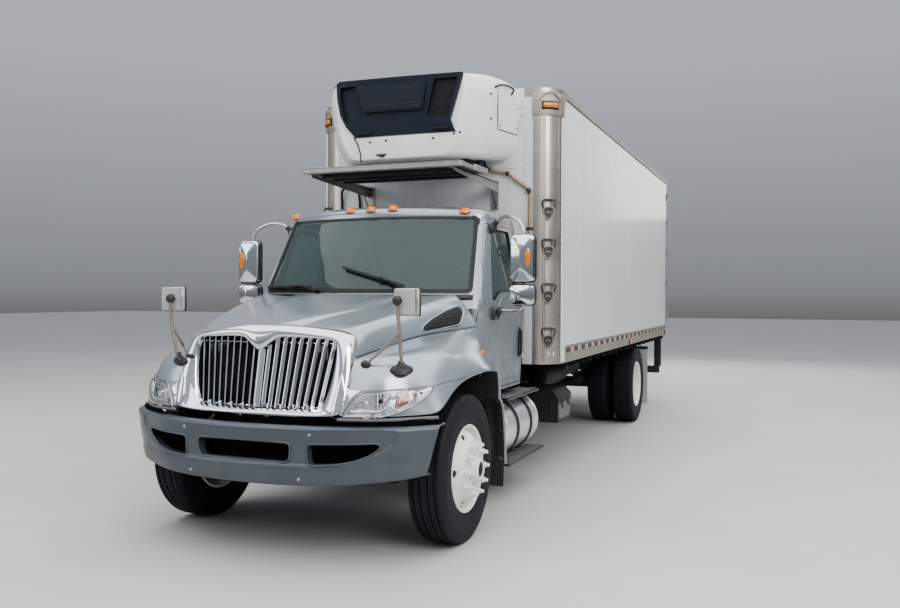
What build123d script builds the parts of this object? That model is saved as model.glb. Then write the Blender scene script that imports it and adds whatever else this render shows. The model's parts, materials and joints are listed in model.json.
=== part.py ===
from build123d import *
import math
import os

# Refrigerated box truck, millimetres.
# Modelled about the front axle line (y = 0, rearwards is +y, driver's side is +x, ground is z = 0),
# then moved by Y_SHIFT so that the origin is the middle of the whole truck on the ground.

# ---------------------------------------------------------------- driving sizes
Y_SHIFT = -4089.0          # front axle line to the middle of the overall length
WHEELBASE = 6450.0
TYRE_R = 508.0             # 295/75R22.5
TYRE_W = 262.0
RIM_SEAT_R = 286.0
RIM_FLANGE_R = 298.0
FRONT_WHEEL_X = 1052.0     # middle plane of the front tyre
KINGPIN_X = 900.0         # before the corner is set in place
CORNER_X, CORNER_Y = -37.0, 150.0   # where the front corners and the axle stand
REAR_OUTER_X = 1083.0
REAR_INNER_X = 753.0

RAIL_OUT_X = 432.0
RAIL_Z0, RAIL_Z1 = 705.0, 960.0
RAIL_Y0, RAIL_Y1 = -560.0, 8840.0
RAIL_T, RAIL_FLANGE = 9.0, 75.0

BOX_HW = 1220.0
BOX_Y0, BOX_Y1 = 2150.0, 9030.0
BOX_Z0, BOX_Z1 = 1073.0, 3570.0
WALL_T = 80.0
RAIL_LOW_H, RAIL_TOP_H = 156.0, 130.0
POST_R = 230.0             # rounded front corner posts

CAB_WALL = 60.0
DOOR_GAP = 8.0
HOOD_T = 25.0
HOOD_HINGE_Y, HOOD_HINGE_Z = -780.0, 860.0
HINGE_PIN_R = 9.0

SPIN_CLEAR = 0.6           # running clearance round a spindle


# ---------------------------------------------------------------- helpers
def box(x0, x1, y0, y1, z0, z1):
    return Pos((x0 + x1) / 2, (y0 + y1) / 2, (z0 + z1) / 2) * Box(x1 - x0, y1 - y0, z1 - z0)


def both(shape):
    """the shape and its mirror image in the plane x = 0"""
    return shape + mirror(shape, about=Plane.YZ)


def face3(points):
    return make_face(Polyline(*points, close=True))


def prism_x(yz, x0, x1):
    return extrude(face3([(x0, y, z) for y, z in yz]), amount=x1 - x0, dir=(1, 0, 0))


def prism_y(xz, y0, y1):
    return extrude(face3([(x, y0, z) for x, z in xz]), amount=y1 - y0, dir=(0, 1, 0))


def prism_z(xy, z0, z1):
    return extrude(face3([(x, y, z0) for x, y in xy]), amount=z1 - z0, dir=(0, 0, 1))


def rod(a, b, r):
    """round bar from a to b"""
    a, b = Vector(*a), Vector(*b)
    d = b - a
    return Plane(origin=a, z_dir=d.normalized()) * Cylinder(
        r, d.length, align=(Align.CENTER, Align.CENTER, Align.MIN))


def tube(points, r):
    """round bar through the points, with a ball at each bend"""
    out = rod(points[0], points[1], r)
    for a, b in zip(points[1:-1], points[2:]):
        out += rod(a, b, r)
        out += Pos(*a) * Sphere(r * 1.02)
    return out


def revolve_x(xr, y=0.0, z=0.0):
    """closed outline of (x, radius) turned about the line along x through (y, z)"""
    f = face3([(x, 0, r) for x, r in xr])
    return Pos(0, y, z) * revolve(f, Axis.X, 360)


def disc_x(x0, x1, r, y=0.0, z=0.0):
    return Pos((x0 + x1) / 2, y, z) * Rot(0, 90, 0) * Cylinder(r, x1 - x0)


def ring_x(x0, x1, r0, r1, y=0.0, z=0.0):
    return revolve_x([(x0, r0), (x1, r0), (x1, r1), (x0, r1)], y, z)


parts = {}

# ---------------------------------------------------------------- chassis frame
web = box(RAIL_OUT_X - RAIL_T, RAIL_OUT_X, RAIL_Y0, RAIL_Y1, RAIL_Z0, RAIL_Z1)
top_flange = box(RAIL_OUT_X - RAIL_FLANGE, RAIL_OUT_X, RAIL_Y0, RAIL_Y1, RAIL_Z1 - RAIL_T, RAIL_Z1)
low_flange = box(RAIL_OUT_X - RAIL_FLANGE, RAIL_OUT_X, RAIL_Y0, RAIL_Y1, RAIL_Z0, RAIL_Z0 + RAIL_T)
frame = both(web + top_flange + low_flange)
# cross members: (y of middle, length along y, z0, z1)
CROSS = [(-500, 90, 740, 930), (900, 90, 715, 860), (2500, 90, 740, 930), (4300, 90, 740, 930),
         (5750, 90, 740, 930), (7150, 90, 740, 930), (8802, 76, 714, 951)]
for y, w, z0, z1 in CROSS:
    frame += box(-RAIL_OUT_X + RAIL_T - 1, RAIL_OUT_X - RAIL_T + 1, y - w / 2, y + w / 2, z0, z1)
# tow hitch bolt pattern in the rear cross member
HITCH_DX, HITCH_DZ, HITCH_HOLE_R, HITCH_Z = 83.0, 89.0, 8.5, 832.0
for sx in (-1, 1):
    for sz in (-1, 1):
        frame -= rod((sx * HITCH_DX / 2, 8740, HITCH_Z + sz * HITCH_DZ / 2),
                     (sx * HITCH_DX / 2, 8860, HITCH_Z + sz * HITCH_DZ / 2), HITCH_HOLE_R)
# bumper brackets and hood hinge ears at the nose
frame += both(box(340, 432, -800, -559, 720, 800))
frame += both(prism_x([(-799, 760), (-600, 760), (-600, 800), (-700, 840), (-760, 886), (-799, 886)], 300, 341))
frame += both(rod((340, HOOD_HINGE_Y, HOOD_HINGE_Z), (384, HOOD_HINGE_Y, HOOD_HINGE_Z), HINGE_PIN_R))
parts["chassis_frame"] = frame

# ---------------------------------------------------------------- engine, radiator
parts["engine_block"] = box(-290, 290, -420, 640, 640, 1290) + box(-180, 180, 640, 850, 600, 925)
parts["radiator"] = box(-440, 440, -560, -480, 965, 1370)

# ---------------------------------------------------------------- front axle, knuckles
AX_Z = TYRE_R
beam = box(-600, 600, -48, 48, 368, 452)
beam += both(prism_y([(590, 368), (600, 368), (775, 450), (KINGPIN_X + CORNER_X, 450), (KINGPIN_X + CORNER_X, 566), (770, 566), (590, 452)], -40, 40))
beam += both(Pos(KINGPIN_X + CORNER_X, 0, 508) * Cylinder(44, 116))
KP_R = 20.0
beam -= both(Pos(KINGPIN_X + CORNER_X, 0, 508) * Cylinder(KP_R + SPIN_CLEAR, 200))
parts["front_axle"] = Pos(0, CORNER_Y, 0) * beam

SPINDLE_R = 44.0
knuckle = Pos(KINGPIN_X, 0, 508) * Cylinder(KP_R, 190)
knuckle += box(KINGPIN_X - 45, 965, -50, 50, 572, 606) + box(KINGPIN_X - 45, 965, -50, 50, 410, 444)
knuckle += box(951, 976, -62, 62, 410, 606)
knuckle += disc_x(970, 1238, SPINDLE_R, 0, AX_Z)
knuckle += disc_x(970, 984, 150, 0, AX_Z)
knuckle = Pos(CORNER_X, CORNER_Y, 0) * knuckle
parts["steering_knuckle_left"] = knuckle
parts["steering_knuckle_right"] = mirror(knuckle, about=Plane.YZ)

# ---------------------------------------------------------------- springs
# leaf packs: (y of axle, half length, x inner, width, z of pack bottom at axle, leaves)
SPRINGS = [(CORNER_Y, 640, 450, 76, 454, 4), (WHEELBASE, 700, 462, 90, 592, 6)]
springs = None
for y, half, x0, w, z, leaves in SPRINGS:
    pack = None
    for i in range(leaves):
        h = half * (1 - 0.13 * i)
        z1 = z + 14 * (leaves - i)
        leaf = box(x0, x0 + w, y - h, y + h, z1 - 14, z1)
        pack = leaf if pack is None else pack + leaf
    top = z + 14 * leaves
    for s in (-1, 1):
        pack += box(x0 + 5, x0 + w - 5, y + s * half - 45, y + s * half + 45, top - 5, 760)
    side = both(pack)
    springs = side if springs is None else springs + side
springs -= box(-RAIL_OUT_X, RAIL_OUT_X, -900, 9000, 500, 1000)
parts["leaf_springs"] = springs

# ---------------------------------------------------------------- rear axle, driveshaft
rear = disc_x(-690, 690, 70, WHEELBASE, AX_Z) + disc_x(-1060, 1060, 50, WHEELBASE, AX_Z)
rear += revolve_x([(-230, 0), (-230, 70), (-120, 205), (120, 205), (230, 70), (230, 0)], WHEELBASE, AX_Z)
rear += rod((0, WHEELBASE - 330, AX_Z + 20), (0, WHEELBASE - 60, AX_Z + 20), 110)
rear += both(box(455, 560, WHEELBASE - 75, WHEELBASE + 75, AX_Z - 60, 592))
parts["rear_axle"] = rear
shaft = tube([(0, 851, 645), (0, 3600, 635), (0, WHEELBASE - 329, AX_Z + 22)], 50)
shaft -= box(-200, 200, WHEELBASE - 330, WHEELBASE + 10, 300, 800) + box(-200, 200, 700, 850, 500, 900)
parts["driveshaft"] = shaft


# ---------------------------------------------------------------- wheels and tyres
def tyre(xc, yc):
    # (offset from the middle plane, radius) from one bead round the tread to the other
    half = [(105.4, RIM_SEAT_R + 0.6), (105.4, RIM_FLANGE_R + 0.8), (118, 308), (129, 372), (TYRE_W / 2, 415), (124, 462), (114, 491), (101, TYRE_R - 2), (84, TYRE_R)]
    inner = [(85, RIM_SEAT_R + 0.6), (99, 318), (113, 400), (99, 470), (76, 484)]
    ring = [(xc + o, r) for o, r in half] + [(xc - o, r) for o, r in reversed(half)]
    cavity = [(xc - o, r) for o, r in inner] + [(xc + o, r) for o, r in reversed(inner)]
    return revolve_x(ring + cavity, yc, TYRE_R)


def rim_barrel(xc, yc):
    """rim barrel with its two flanges, xc is its middle"""
    return revolve_x([(xc - 116, RIM_FLANGE_R), (xc - 106, RIM_FLANGE_R), (xc - 106, RIM_SEAT_R), (xc + 106, RIM_SEAT_R),
                      (xc + 106, RIM_FLANGE_R), (xc + 116, RIM_FLANGE_R), (xc + 116, RIM_SEAT_R - 12), (xc - 116, RIM_SEAT_R - 12)], yc, TYRE_R)


fx = FRONT_WHEEL_X
front_wheel = rim_barrel(fx, 0)
front_wheel += revolve_x([(fx + 60, 276), (fx + 78, 276), (fx + 152, 178), (fx + 158, 100), (fx + 144, 100), (fx + 138, 172)], 0, TYRE_R)
bore = SPINDLE_R + SPIN_CLEAR
front_wheel += revolve_x([(990, bore), (fx + 200, bore), (fx + 200, 72), (fx + 158, 82), (fx + 158, 112), (fx + 130, 112), (1080, 90), (990, 90)], 0, TYRE_R)
front_wheel += revolve_x([(996, 88), (1150, 88), (1164, 88), (1164, 210), (996, 210), (996, 196), (1150, 196), (1150, 120), (996, 120)], 0, TYRE_R)
front_wheel += disc_x(fx + 199, fx + 214, 66, 0, TYRE_R)
front_wheel = Pos(CORNER_X, CORNER_Y, 0) * front_wheel
parts["front_wheel_left"] = front_wheel
parts["front_wheel_right"] = mirror(front_wheel, about=Plane.YZ)
front_tyre = Pos(CORNER_X, CORNER_Y, 0) * tyre(fx, 0)
parts["front_tyre_left"] = front_tyre
parts["front_tyre_right"] = mirror(front_tyre, about=Plane.YZ)

REAR_SPINDLE_R = 50.0
rbore = REAR_SPINDLE_R + SPIN_CLEAR
face_x = (REAR_OUTER_X + REAR_INNER_X) / 2      # where the two discs bolt together
rear_wheel = rim_barrel(REAR_OUTER_X, WHEELBASE) + rim_barrel(REAR_INNER_X, WHEELBASE)
rear_wheel += revolve_x([(REAR_OUTER_X - 60, 276), (REAR_OUTER_X - 78, 276), (face_x + 6, 178), (face_x, 100), (face_x + 13, 100), (face_x + 19, 172)], WHEELBASE, TYRE_R)
rear_wheel += revolve_x([(REAR_INNER_X + 60, 276), (REAR_INNER_X + 78, 276), (face_x - 6, 178), (face_x, 100), (face_x - 13, 100), (face_x - 19, 172)], WHEELBASE, TYRE_R)
rear_wheel += revolve_x([(700, rbore), (1070, rbore), (1070, 0), (1082, 0), (1082, 96), (1070, 110), (face_x + 26, 118), (face_x + 26, 168), (face_x - 26, 168), (face_x - 26, 120), (700, 120)], WHEELBASE, TYRE_R)
rear_wheel += revolve_x([(700, 118), (face_x - 20, 118), (face_x - 20, 150), (850, 205), (700, 205), (700, 192), (845, 192), (870, 150), (870, 130), (700, 130)], WHEELBASE, TYRE_R)
parts["rear_wheel_left"] = rear_wheel
parts["rear_wheel_right"] = mirror(rear_wheel, about=Plane.YZ)
rear_tyres = tyre(REAR_OUTER_X, WHEELBASE) + tyre(REAR_INNER_X, WHEELBASE)
parts["rear_tyres_left"] = rear_tyres
parts["rear_tyres_right"] = mirror(rear_tyres, about=Plane.YZ)

# ---------------------------------------------------------------- cab
# lower cab, straight front: (z, half width, y front, y rear)
CAB_LOW = [(930, 985, 745, 1895), (1600, 1006, 745, 1955)]
# upper cab, curved front: (z, x and y of the windscreen corner, y at the middle, half width, y where the side starts, y rear)
CAB_UP = [(1600, 948, 731, 515, 1006, 800, 1955), (2330, 857, 1126, 915, 905, 1190, 1935), (2405, 790, 1190, 1010, 835, 1260, 1890)]
CAB_LOW_IN = [(985, 925, 800, 1840), (1600, 946, 800, 1897)]
CAB_UP_IN = [(1590, 890, 800, 590, 946, 862, 1895), (2300, 800, 1175, 985, 848, 1240, 1878), (2350, 770, 1215, 1040, 812, 1275, 1855)]


def low_section(z, hw, y0, y1):
    return face3([(-hw, y0, z), (hw, y0, z), (hw, y1, z), (-hw, y1, z)])


def up_section(z, xf, yf, yc, hw, ys, yr):
    outline = [ThreePointArc((-xf, yf, z), (0, yc, z), (xf, yf, z)), Line((xf, yf, z), (hw, ys, z)), Line((hw, ys, z), (hw, yr, z)),
               Line((hw, yr, z), (-hw, yr, z)), Line((-hw, yr, z), (-hw, ys, z)), Line((-hw, ys, z), (-xf, yf, z))]
    return make_face(Wire([e for c in outline for e in c.edges()]))


def stack(sections, maker):
    out = None
    for a, b in zip(sections[:-1], sections[1:]):
        span = loft([maker(*a), maker(*b)], ruled=True)
        out = span if out is None else out + span
    return out


cab_upper = stack(CAB_UP, up_section)
cab_outer = stack(CAB_LOW, low_section) + cab_upper
cab_inner = stack(CAB_LOW_IN, low_section) + stack(CAB_UP_IN, up_section)
cab = cab_outer - cab_inner
# side view of a door, of its window, and of the screen seen from the front
DOOR = [(768, 955), (1790, 955), (1790, 1610), (1745, 2240), (1265, 2240), (880, 1660), (768, 1600)]
DOOR_HOLE = [(760, 947), (1798, 947), (1798, 1610), (1753, 2249), (1262, 2249), (872, 1667), (760, 1606)]
WINDOW = [(925, 1640), (1715, 1640), (1685, 2180), (1295, 2180), (960, 1690)]
SCREEN = [(-905, 1730), (905, 1730), (832, 2285), (-832, 2285)]
cab -= box(-RAIL_OUT_X - 10, RAIL_OUT_X + 10, 700, 2000, 900, RAIL_Z1)
cab -= both(prism_x(DOOR_HOLE, 700, 1100))
cab -= prism_y(SCREEN, 300, 1180)
REAR_WINDOW = [(-420, 1780), (420, 1780), (420, 2180), (-420, 2180)]
cab -= prism_y(REAR_WINDOW, 1800, 2000)
# door hinges: z of each; the pins stand in lugs on the cab corner, the knuckles are on the door
HINGE_Z = [1210, 1530]
HINGE_AX, HINGE_AY, HINGE_PIN = 1012.0, 757.0, 7.0
for z in HINGE_Z:
    cab -= both(box(988, 1040, 735, 762, z - 25.5, z + 25.5))
    lugs = None
    for z0, z1 in ((z - 44, z - 26), (z + 26, z + 44)):
        lug = box(955, HINGE_AX, 747, 759, z0, z1) + Pos(HINGE_AX, HINGE_AY, (z0 + z1) / 2) * Cylinder(11, z1 - z0)
        lugs = lug if lugs is None else lugs + lug
    lugs += Pos(HINGE_AX, HINGE_AY, z) * Cylinder(HINGE_PIN, 88)
    cab += both(lugs)
parts["cab_shell"] = cab

SCREEN_GLASS = [(-904, 1731), (904, 1731), (831, 2284), (-831, 2284)]
glass = (Pos(0, 12, 0) * cab_upper - Pos(0, 20, 0) * cab_upper) & prism_y(SCREEN_GLASS, 300, 1175)
rear_glass = prism_y([(-419, 1781), (419, 1781), (419, 2179), (-419, 2179)], 1915, 1921)
parts["cab_glass"] = glass + rear_glass

door_skin = cab_outer - Pos(-CAB_WALL, 0, 0) * cab_outer
door = (door_skin & prism_x(DOOR, 700, 1100)) - prism_x(WINDOW, 700, 1100)
for z in HINGE_Z:
    door += Pos(HINGE_AX, HINGE_AY, z) * Cylinder(13, 40) + box(1000, 1020, HINGE_AY, 770, z - 20, z + 20) + box(975, 1020, 768.5, 850, z - 20, z + 20)
    door -= Pos(HINGE_AX, HINGE_AY, z) * Cylinder(HINGE_PIN + 0.5, 60)
parts["door_left"] = door
parts["door_right"] = mirror(door, about=Plane.YZ)
WINDOW_GLASS = [(926, 1641), (1714, 1641), (1684, 2179), (1296, 2179), (961, 1691)]
pane = (Pos(-24, 0, 0) * cab_outer - Pos(-29, 0, 0) * cab_outer) & prism_x(WINDOW_GLASS, 700, 1100)
parts["door_glass_left"] = pane
parts["door_glass_right"] = mirror(pane, about=Plane.YZ)

# door mirrors: main head, convex head, tube arm and its two feet
arm = tube([(1003, 905, 1668), (1130, 900, 1640), (1243, 960, 1660), (1243, 1060, 1700), (1243, 1060, 2240), (1170, 1090, 2290), (1010, 1180, 2215)], 11)
mirror_l = arm + box(1150, 1345, 1000, 1054, 1800, 2165) + box(1150, 1340, 1000, 1054, 1625, 1775)
mirror_l += box(980, 1040, 870, 950, 1640, 1700) + box(890, 1030, 1180, 1240, 2190, 2232)
mirror_l -= Pos(0.5, 0, 0) * cab_outer
parts["side_mirror_left"] = mirror_l
parts["side_mirror_right"] = mirror(mirror_l, about=Plane.YZ)

# cab fittings
dash = prism_x([(800, 1240), (1010, 1240), (1080, 1330), (1080, 1560), (1000, 1640), (900, 1670), (800, 1670)], -915, 915)
dash -= box(-1000, 1000, 700, 900, 1600, 1800) - cab_inner
dash = dash & (box(-920, 920, 700, 1300, 1000, 1598))
parts["dashboard"] = dash
seat = prism_x([(1290, 1100), (1290, 1250), (1310, 1340), (1690, 1320), (1760, 1900), (1800, 2060), (1860, 2050), (1850, 1900), (1800, 1220), (1760, 985), (1330, 985)], 250, 780)
parts["seats"] = both(seat)
wheel_c = (480, 1210, 1600)
sw = Pos(*wheel_c) * Rot(-28, 0, 0) * (Torus(225, 14) + Cylinder(60, 40) + Box(440, 30, 14) + Pos(0, 110, 0) * Box(30, 220, 14))
sw += rod((480, 1210, 1600), (480, 1060, 1500 - 180), 28)
sw -= dash
parts["steering_wheel"] = sw.solids().sort_by(SortBy.VOLUME)[-1]

# wipers parked along the foot of the screen
wipers = rod((-390, 592, 1742), (-870, 735, 1732), 9) + rod((430, 608, 1752), (-80, 655, 1908), 9)
wipers += rod((-390, 680, 1722), (-390, 588, 1742), 15) + rod((430, 700, 1732), (430, 604, 1752), 15)
wipers -= cab_outer
parts["wipers"] = wipers

# ---------------------------------------------------------------- hood with its fenders
# middle of the hood: (y, z at the middle, x and z of the shoulder, x and z of the crease over the fender, z of the lower edge)
HOOD_MID = [(-600, 1462, 520, 1445, 596, 1290, 1240), (-420, 1500, 590, 1478, 640, 1318, 1260), (0, 1598, 715, 1580, 800, 1400, 1300),
            (480, 1692, 815, 1680, 915, 1448, 1330), (700, 1728, 850, 1716, 968, 1462, 1330)]
# one fender: (y, x and z of the inner edge, x and z of the crown, x and z of the outer edge, x and z of the lower edge)
FENDER = [(-735, 608, 990, 630, 985, 648, 960, 655, 935), (-600, 600, 1285, 740, 1250, 885, 1120, 905, 938),
          (-450, 625, 1312, 850, 1310, 1020, 1140, 1045, 945), (-280, 665, 1345, 930, 1335, 1120, 1150, 1138, 952),
          (60, 790, 1405, 985, 1352, 1150, 1165, 1170, 955), (700, 962, 1460, 1004, 1345, 1095, 1150, 1168, 955)]


def hood_section(y, zt, xs, zs, xc, zc, zl, t=0.0):
    return face3([(-xc + t, y, zl - 2 * t), (-xc + t, y, zc - t * 0.5), (-xs + t * 0.6, y, zs - t), (0, y, zt - t),
                  (xs - t * 0.6, y, zs - t), (xc - t, y, zc - t * 0.5), (xc - t, y, zl - 2 * t)])


def fender_section(y, xi, zi, xf, zf, xo, zo, xl, zl, t=0.0):
    inset = 120.0 if t else 0.0
    return face3([(xi - inset, y, zl - 2 * t), (xi - inset, y, zi - t * 1.1), (xf - t * 0.4, y, zf - t), (xo - t * 0.8, y, zo - t * 0.6), (xl - t, y, zl - 2 * t)])


def stretch(rows, y_front, y_rear):
    rows = [tuple(r) for r in rows]
    rows[0] = (y_front,) + rows[0][1:]
    rows[-1] = (y_rear,) + rows[-1][1:]
    return rows


hood_out = stack(HOOD_MID, hood_section)
fender_out = stack(FENDER, fender_section)
hood_in = stack(stretch(HOOD_MID, -612, 720), lambda *r: hood_section(*r, t=HOOD_T))
fender_in = stack(stretch(FENDER, -705, 720), lambda *r: fender_section(*r, t=HOOD_T))
hood_solid = hood_out + both(fender_out)
hood = hood_solid - hood_in - both(fender_in)
# wheel arch, seen from the side
ARCH = make_face(Wire([e for c in [ThreePointArc((500, -405, 920), (500, -115, 1092), (500, 230, 1150)), Line((500, 230, 1150), (500, 730, 1150)),
                                   Line((500, 730, 1150), (500, 730, 920)), Line((500, 730, 920), (500, -405, 920))] for e in c.edges()]))
arch = extrude(ARCH, amount=900, dir=(1, 0, 0))
hood -= both(arch)
# rear edge of the hood runs in an arc ahead of the screen
COWL = make_face(Wire([e for c in [ThreePointArc((-1005, 712, 1540), (0, 488, 1540), (1005, 712, 1540)), Line((1005, 712, 1540), (1005, 1200, 1540)),
                                   Line((1005, 1200, 1540), (-1005, 1200, 1540)), Line((-1005, 1200, 1540), (-1005, 712, 1540))] for e in c.edges()]))
hood -= extrude(COWL, amount=400, dir=(0, 0, 1))
# headlight patch in the fender front, seen from the front
LAMP = [(668, 952), (690, 1050), (860, 1098), (1050, 1150), (1000, 1010), (940, 955)]
lamp_prism = prism_y(LAMP, -900, -250)
lamp = (fender_out - fender_in) & lamp_prism
hood -= both(lamp_prism)
hood_bits = hood.solids().sort_by(SortBy.VOLUME)
hood_ears = both(box(346, 376, HOOD_HINGE_Y, -568, 838, 882) + disc_x(346, 376, 22, HOOD_HINGE_Y, HOOD_HINGE_Z) + box(346, 376, -598, -568, 838, 1260)
                 - rod((300, HOOD_HINGE_Y, HOOD_HINGE_Z), (400, HOOD_HINGE_Y, HOOD_HINGE_Z), HINGE_PIN_R + 0.5))
hood_ears += box(-590, 590, -598, -568, 1243, 1275)
hood = hood_bits[-1] + hood_ears
parts["headlights"] = both(lamp.solids().sort_by(SortBy.VOLUME)[-1])

# bright grille surround: outer and inner outline in the sloped plane of the grille
SUR_OUT = [(-600, 1452), (-628, 1400), (-640, 1200), (-600, 935), (600, 935), (640, 1200), (628, 1400), (600, 1452)]
SUR_IN = [(-519, 1395), (-527, 1340), (-520, 1180), (-458, 984), (458, 984), (520, 1180), (527, 1340), (519, 1395)]


def sloped(xz, y_at_950, slope, depth):
    """prism along y whose front and back faces lean back with height"""
    lo = [(x, y_at_950 + (z - 950) * slope, z) for x, z in xz]
    return extrude(face3(lo), amount=depth, dir=(0, 1, 0))


surround = sloped(SUR_OUT, -748, 0.24, 130) - sloped(SUR_IN, -760, 0.24, 200)
hood_frame = hood_solid
surround -= hood_frame
surround -= box(-620, 620, -600, -500, 1235, 1285)
surround -= prism_y([(-900, 1462), (900, 1462), (900, 1700), (-900, 1700)], -900, 0)
parts["grille_surround"] = surround.solids().sort_by(SortBy.VOLUME)[-1]
grille = None
BAR_PITCH = 52.5
for i in range(-9, 10):
    x = i * BAR_PITCH
    z0, z1 = 986 + max(0, abs(x) - 440) * 1.2 + 0.0, 1393
    if abs(x) > 430:
        z0 = 984 + (abs(x) - 458) * 3.2 + 6
    bar = sloped([(x - 13, z0), (x + 13, z0), (x + 13, z1), (x - 13, z1)], -735, 0.24, 42)
    grille = bar if grille is None else grille + bar
for z in (1060, 1190, 1320):
    grille += sloped([(-485 if z < 1100 else -515, z - 12), (485 if z < 1100 else 515, z - 12), (485 if z < 1100 else 515, z + 12), (-485 if z < 1100 else -515, z + 12)], -700, 0.24, 20)
grille = grille & sloped([(-518, 1394), (-526, 1340), (-519, 1180), (-457, 985), (457, 985), (519, 1180), (526, 1340), (518, 1394)], -760, 0.24, 300)
parts["grille"] = grille
parts["hood"] = hood

# hood mirrors on tube stands
stand = tube([(875, -386, 1322), (905, -470, 1500), (900, -500, 1640)], 13) + tube([(690, -380, 1330), (800, -440, 1470), (900, -490, 1585)], 9)
stand += box(828, 974, -520, -482, 1612, 1776)
stand += Pos(875, -386, 1335) * Cylinder(34, 60)
stand += Pos(690, -380, 1345) * Cylinder(18, 36)
stand -= hood_solid
stand_bit = stand.solids().sort_by(SortBy.VOLUME)[-1]
parts["hood_mirrors"] = both(stand_bit)

# ---------------------------------------------------------------- front bumper
BUMPER_MID_Y, BUMPER_END_X, BUMPER_END_Y = -900.0, 1165.0, -474.0
BUMPER_T = 16.0


def bumper_band(grow):
    g = grow
    ex, ey = BUMPER_END_X - g, BUMPER_END_Y + g * 0.2
    mx, my = 1045 - g * 0.6, -598 + g * 0.7
    e = [ThreePointArc((-893, -690 + g, 440), (0, BUMPER_MID_Y + g, 440), (893, -690 + g, 440)),
         ThreePointArc((893, -690 + g, 440), (mx, my, 440), (ex, ey, 440)),
         Line((ex, ey, 440), (ex, 0, 440)), Line((ex, 0, 440), (-ex, 0, 440)),
         Line((-ex, 0, 440), (-ex, ey, 440)),
         ThreePointArc((-ex, ey, 440), (-mx, my, 440), (-893, -690 + g, 440))]
    return extrude(make_face(Wire([x for c in e for x in c.edges()])), amount=500, dir=(0, 0, 1))


bumper = bumper_band(0.0) - bumper_band(BUMPER_T)
bumper -= box(-1300, 1300, BUMPER_END_Y, 100, 400, 1000)
bumper = bumper & prism_y([(-1170, 902), (-900, 896), (0, 884), (900, 896), (1170, 902), (1060, 578), (860, 505), (640, 472), (-640, 472), (-860, 505), (-1060, 578)], -950, -300)
# openings: outline seen from the front
OPEN_MID = [(-347, 782), (-334, 655), (334, 655), (347, 782)]
OPEN_SIDE = [(449, 660), (449, 775), (895, 812), (760, 690)]
bumper -= prism_y(OPEN_MID, -950, -500)
bumper -= both(prism_y(OPEN_SIDE, -950, -500))
bumper += both(box(345, 425, -876, -800, 735, 790)) & bumper_band(1.0)
bumper += box(-700, 700, -875, -822, 868, 880) & bumper_band(1.0)
parts["front_bumper"] = bumper

# ---------------------------------------------------------------- tank, steps, battery box, exhaust box
TANK_X, TANK_Z, TANK_R, TANK_Y0, TANK_Y1 = 775.0, 600.0, 250.0, 1310.0, 2290.0
tank = rod((TANK_X, TANK_Y0, TANK_Z), (TANK_X, TANK_Y1, TANK_Z), TANK_R)
straps = None
for y in (1520, 2060):
    s = rod((TANK_X, y - 32, TANK_Z), (TANK_X, y + 32, TANK_Z), TANK_R + 5) - rod((TANK_X, y - 40, TANK_Z), (TANK_X, y + 40, TANK_Z), TANK_R)
    s += box(RAIL_OUT_X, 470, y - 32, y + 32, 710, 925) + box(465, 600, y - 32, y + 32, 710, 780)
    s -= rod((TANK_X, y - 40, TANK_Z), (TANK_X, y + 40, TANK_Z), TANK_R)
    straps = s if straps is None else straps + s
parts["fuel_tank"] = tank + straps

steps = None
# treads: (x0, x1, y0, y1, z0, z1)
TREADS = [(800, 1045, 1290, 2320, 862, 890), (880, 1060, 1340, 2280, 322, 346)]
left = None
for x0, x1, y0, y1, z0, z1 in TREADS:
    t = box(x0, x1, y0, y1, z0, z1)
    left = t if left is None else left + t
left += box(1040, 1060, 1340, 1370, 346, 862 + 5) + box(1040, 1060, 2250, 2280, 346, 862 + 5)
left += box(RAIL_OUT_X, 800, 1600, 1640, 862, 890) + box(RAIL_OUT_X, 800, 1940, 1980, 862, 890)
steps = left + mirror(left, about=Plane.YZ)
parts["cab_steps"] = steps

batt = prism_y([(470, 450), (1050, 450), (1050, 700), (1000, 755), (470, 755)], 2850, 3350) - box(480, 1040, 2862, 3338, 462, 690)
batt += box(RAIL_OUT_X, 471, 2900, 2960, 730, 940 - 200 + 15) + box(RAIL_OUT_X, 471, 3240, 3300, 730, 755)
parts["battery_box"] = batt
ex = prism_y([(-1010, 400), (-1030, 430), (-1030, 790), (-1000, 820), (-470, 820), (-470, 400)], 1330, 2300)
ex += box(-471, -RAIL_OUT_X, 1500, 1560, 740, 800) + box(-471, -RAIL_OUT_X, 2060, 2120, 740, 800)
ex += rod((-700, 2299, 620), (-700, 4300, 620), 55) + rod((-700, 4290, 620), (-1080, 4500, 560), 55)
ex += box(-700, -RAIL_OUT_X, 3480, 3520, 700, 730) + box(-715, -685, 3480, 3520, 620, 730)
parts["exhaust_box"] = ex

# ---------------------------------------------------------------- splash guards and mud flaps
# front liner behind the wheel: front face of the sheet as (y, z), bottom to top; the part above the cab floor stays outside the cab
LINER_LOW = [(872, 235), (892, 410), (877, 620), (842, 800), (792, 885), (744, 921)]
LINER_UP = [(744, 921), (742, 1010), (712, 1128)]


def sheet_yz(pts, t):
    return pts + [(y + t, z) for y, z in reversed(pts)]


flaps = both(prism_x(sheet_yz(LINER_LOW, 10), 640, 1150) + prism_x(sheet_yz(LINER_UP, 10), 1000, 1150))
flaps += both(box(432, 660, 850, 880, 800, 850) + box(640, 660, 800, 880, 780, 850))
flaps += both(box(620, 1190, 7390, 7398, 130, 960) + box(432, 1150, 7398, 7430, 900, 950))
parts["mud_flaps"] = flaps

# ---------------------------------------------------------------- cargo box
IN_HW = BOX_HW - WALL_T
FLOOR_Z = BOX_Z0 + RAIL_LOW_H
floor = box(-IN_HW, IN_HW, BOX_Y0 + 80, BOX_Y1 - 100, BOX_Z0 + 80, FLOOR_Z)
floor += both(box(350, 432, BOX_Y0 + 80, 8840, RAIL_Z1, BOX_Z0 + 81))
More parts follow.
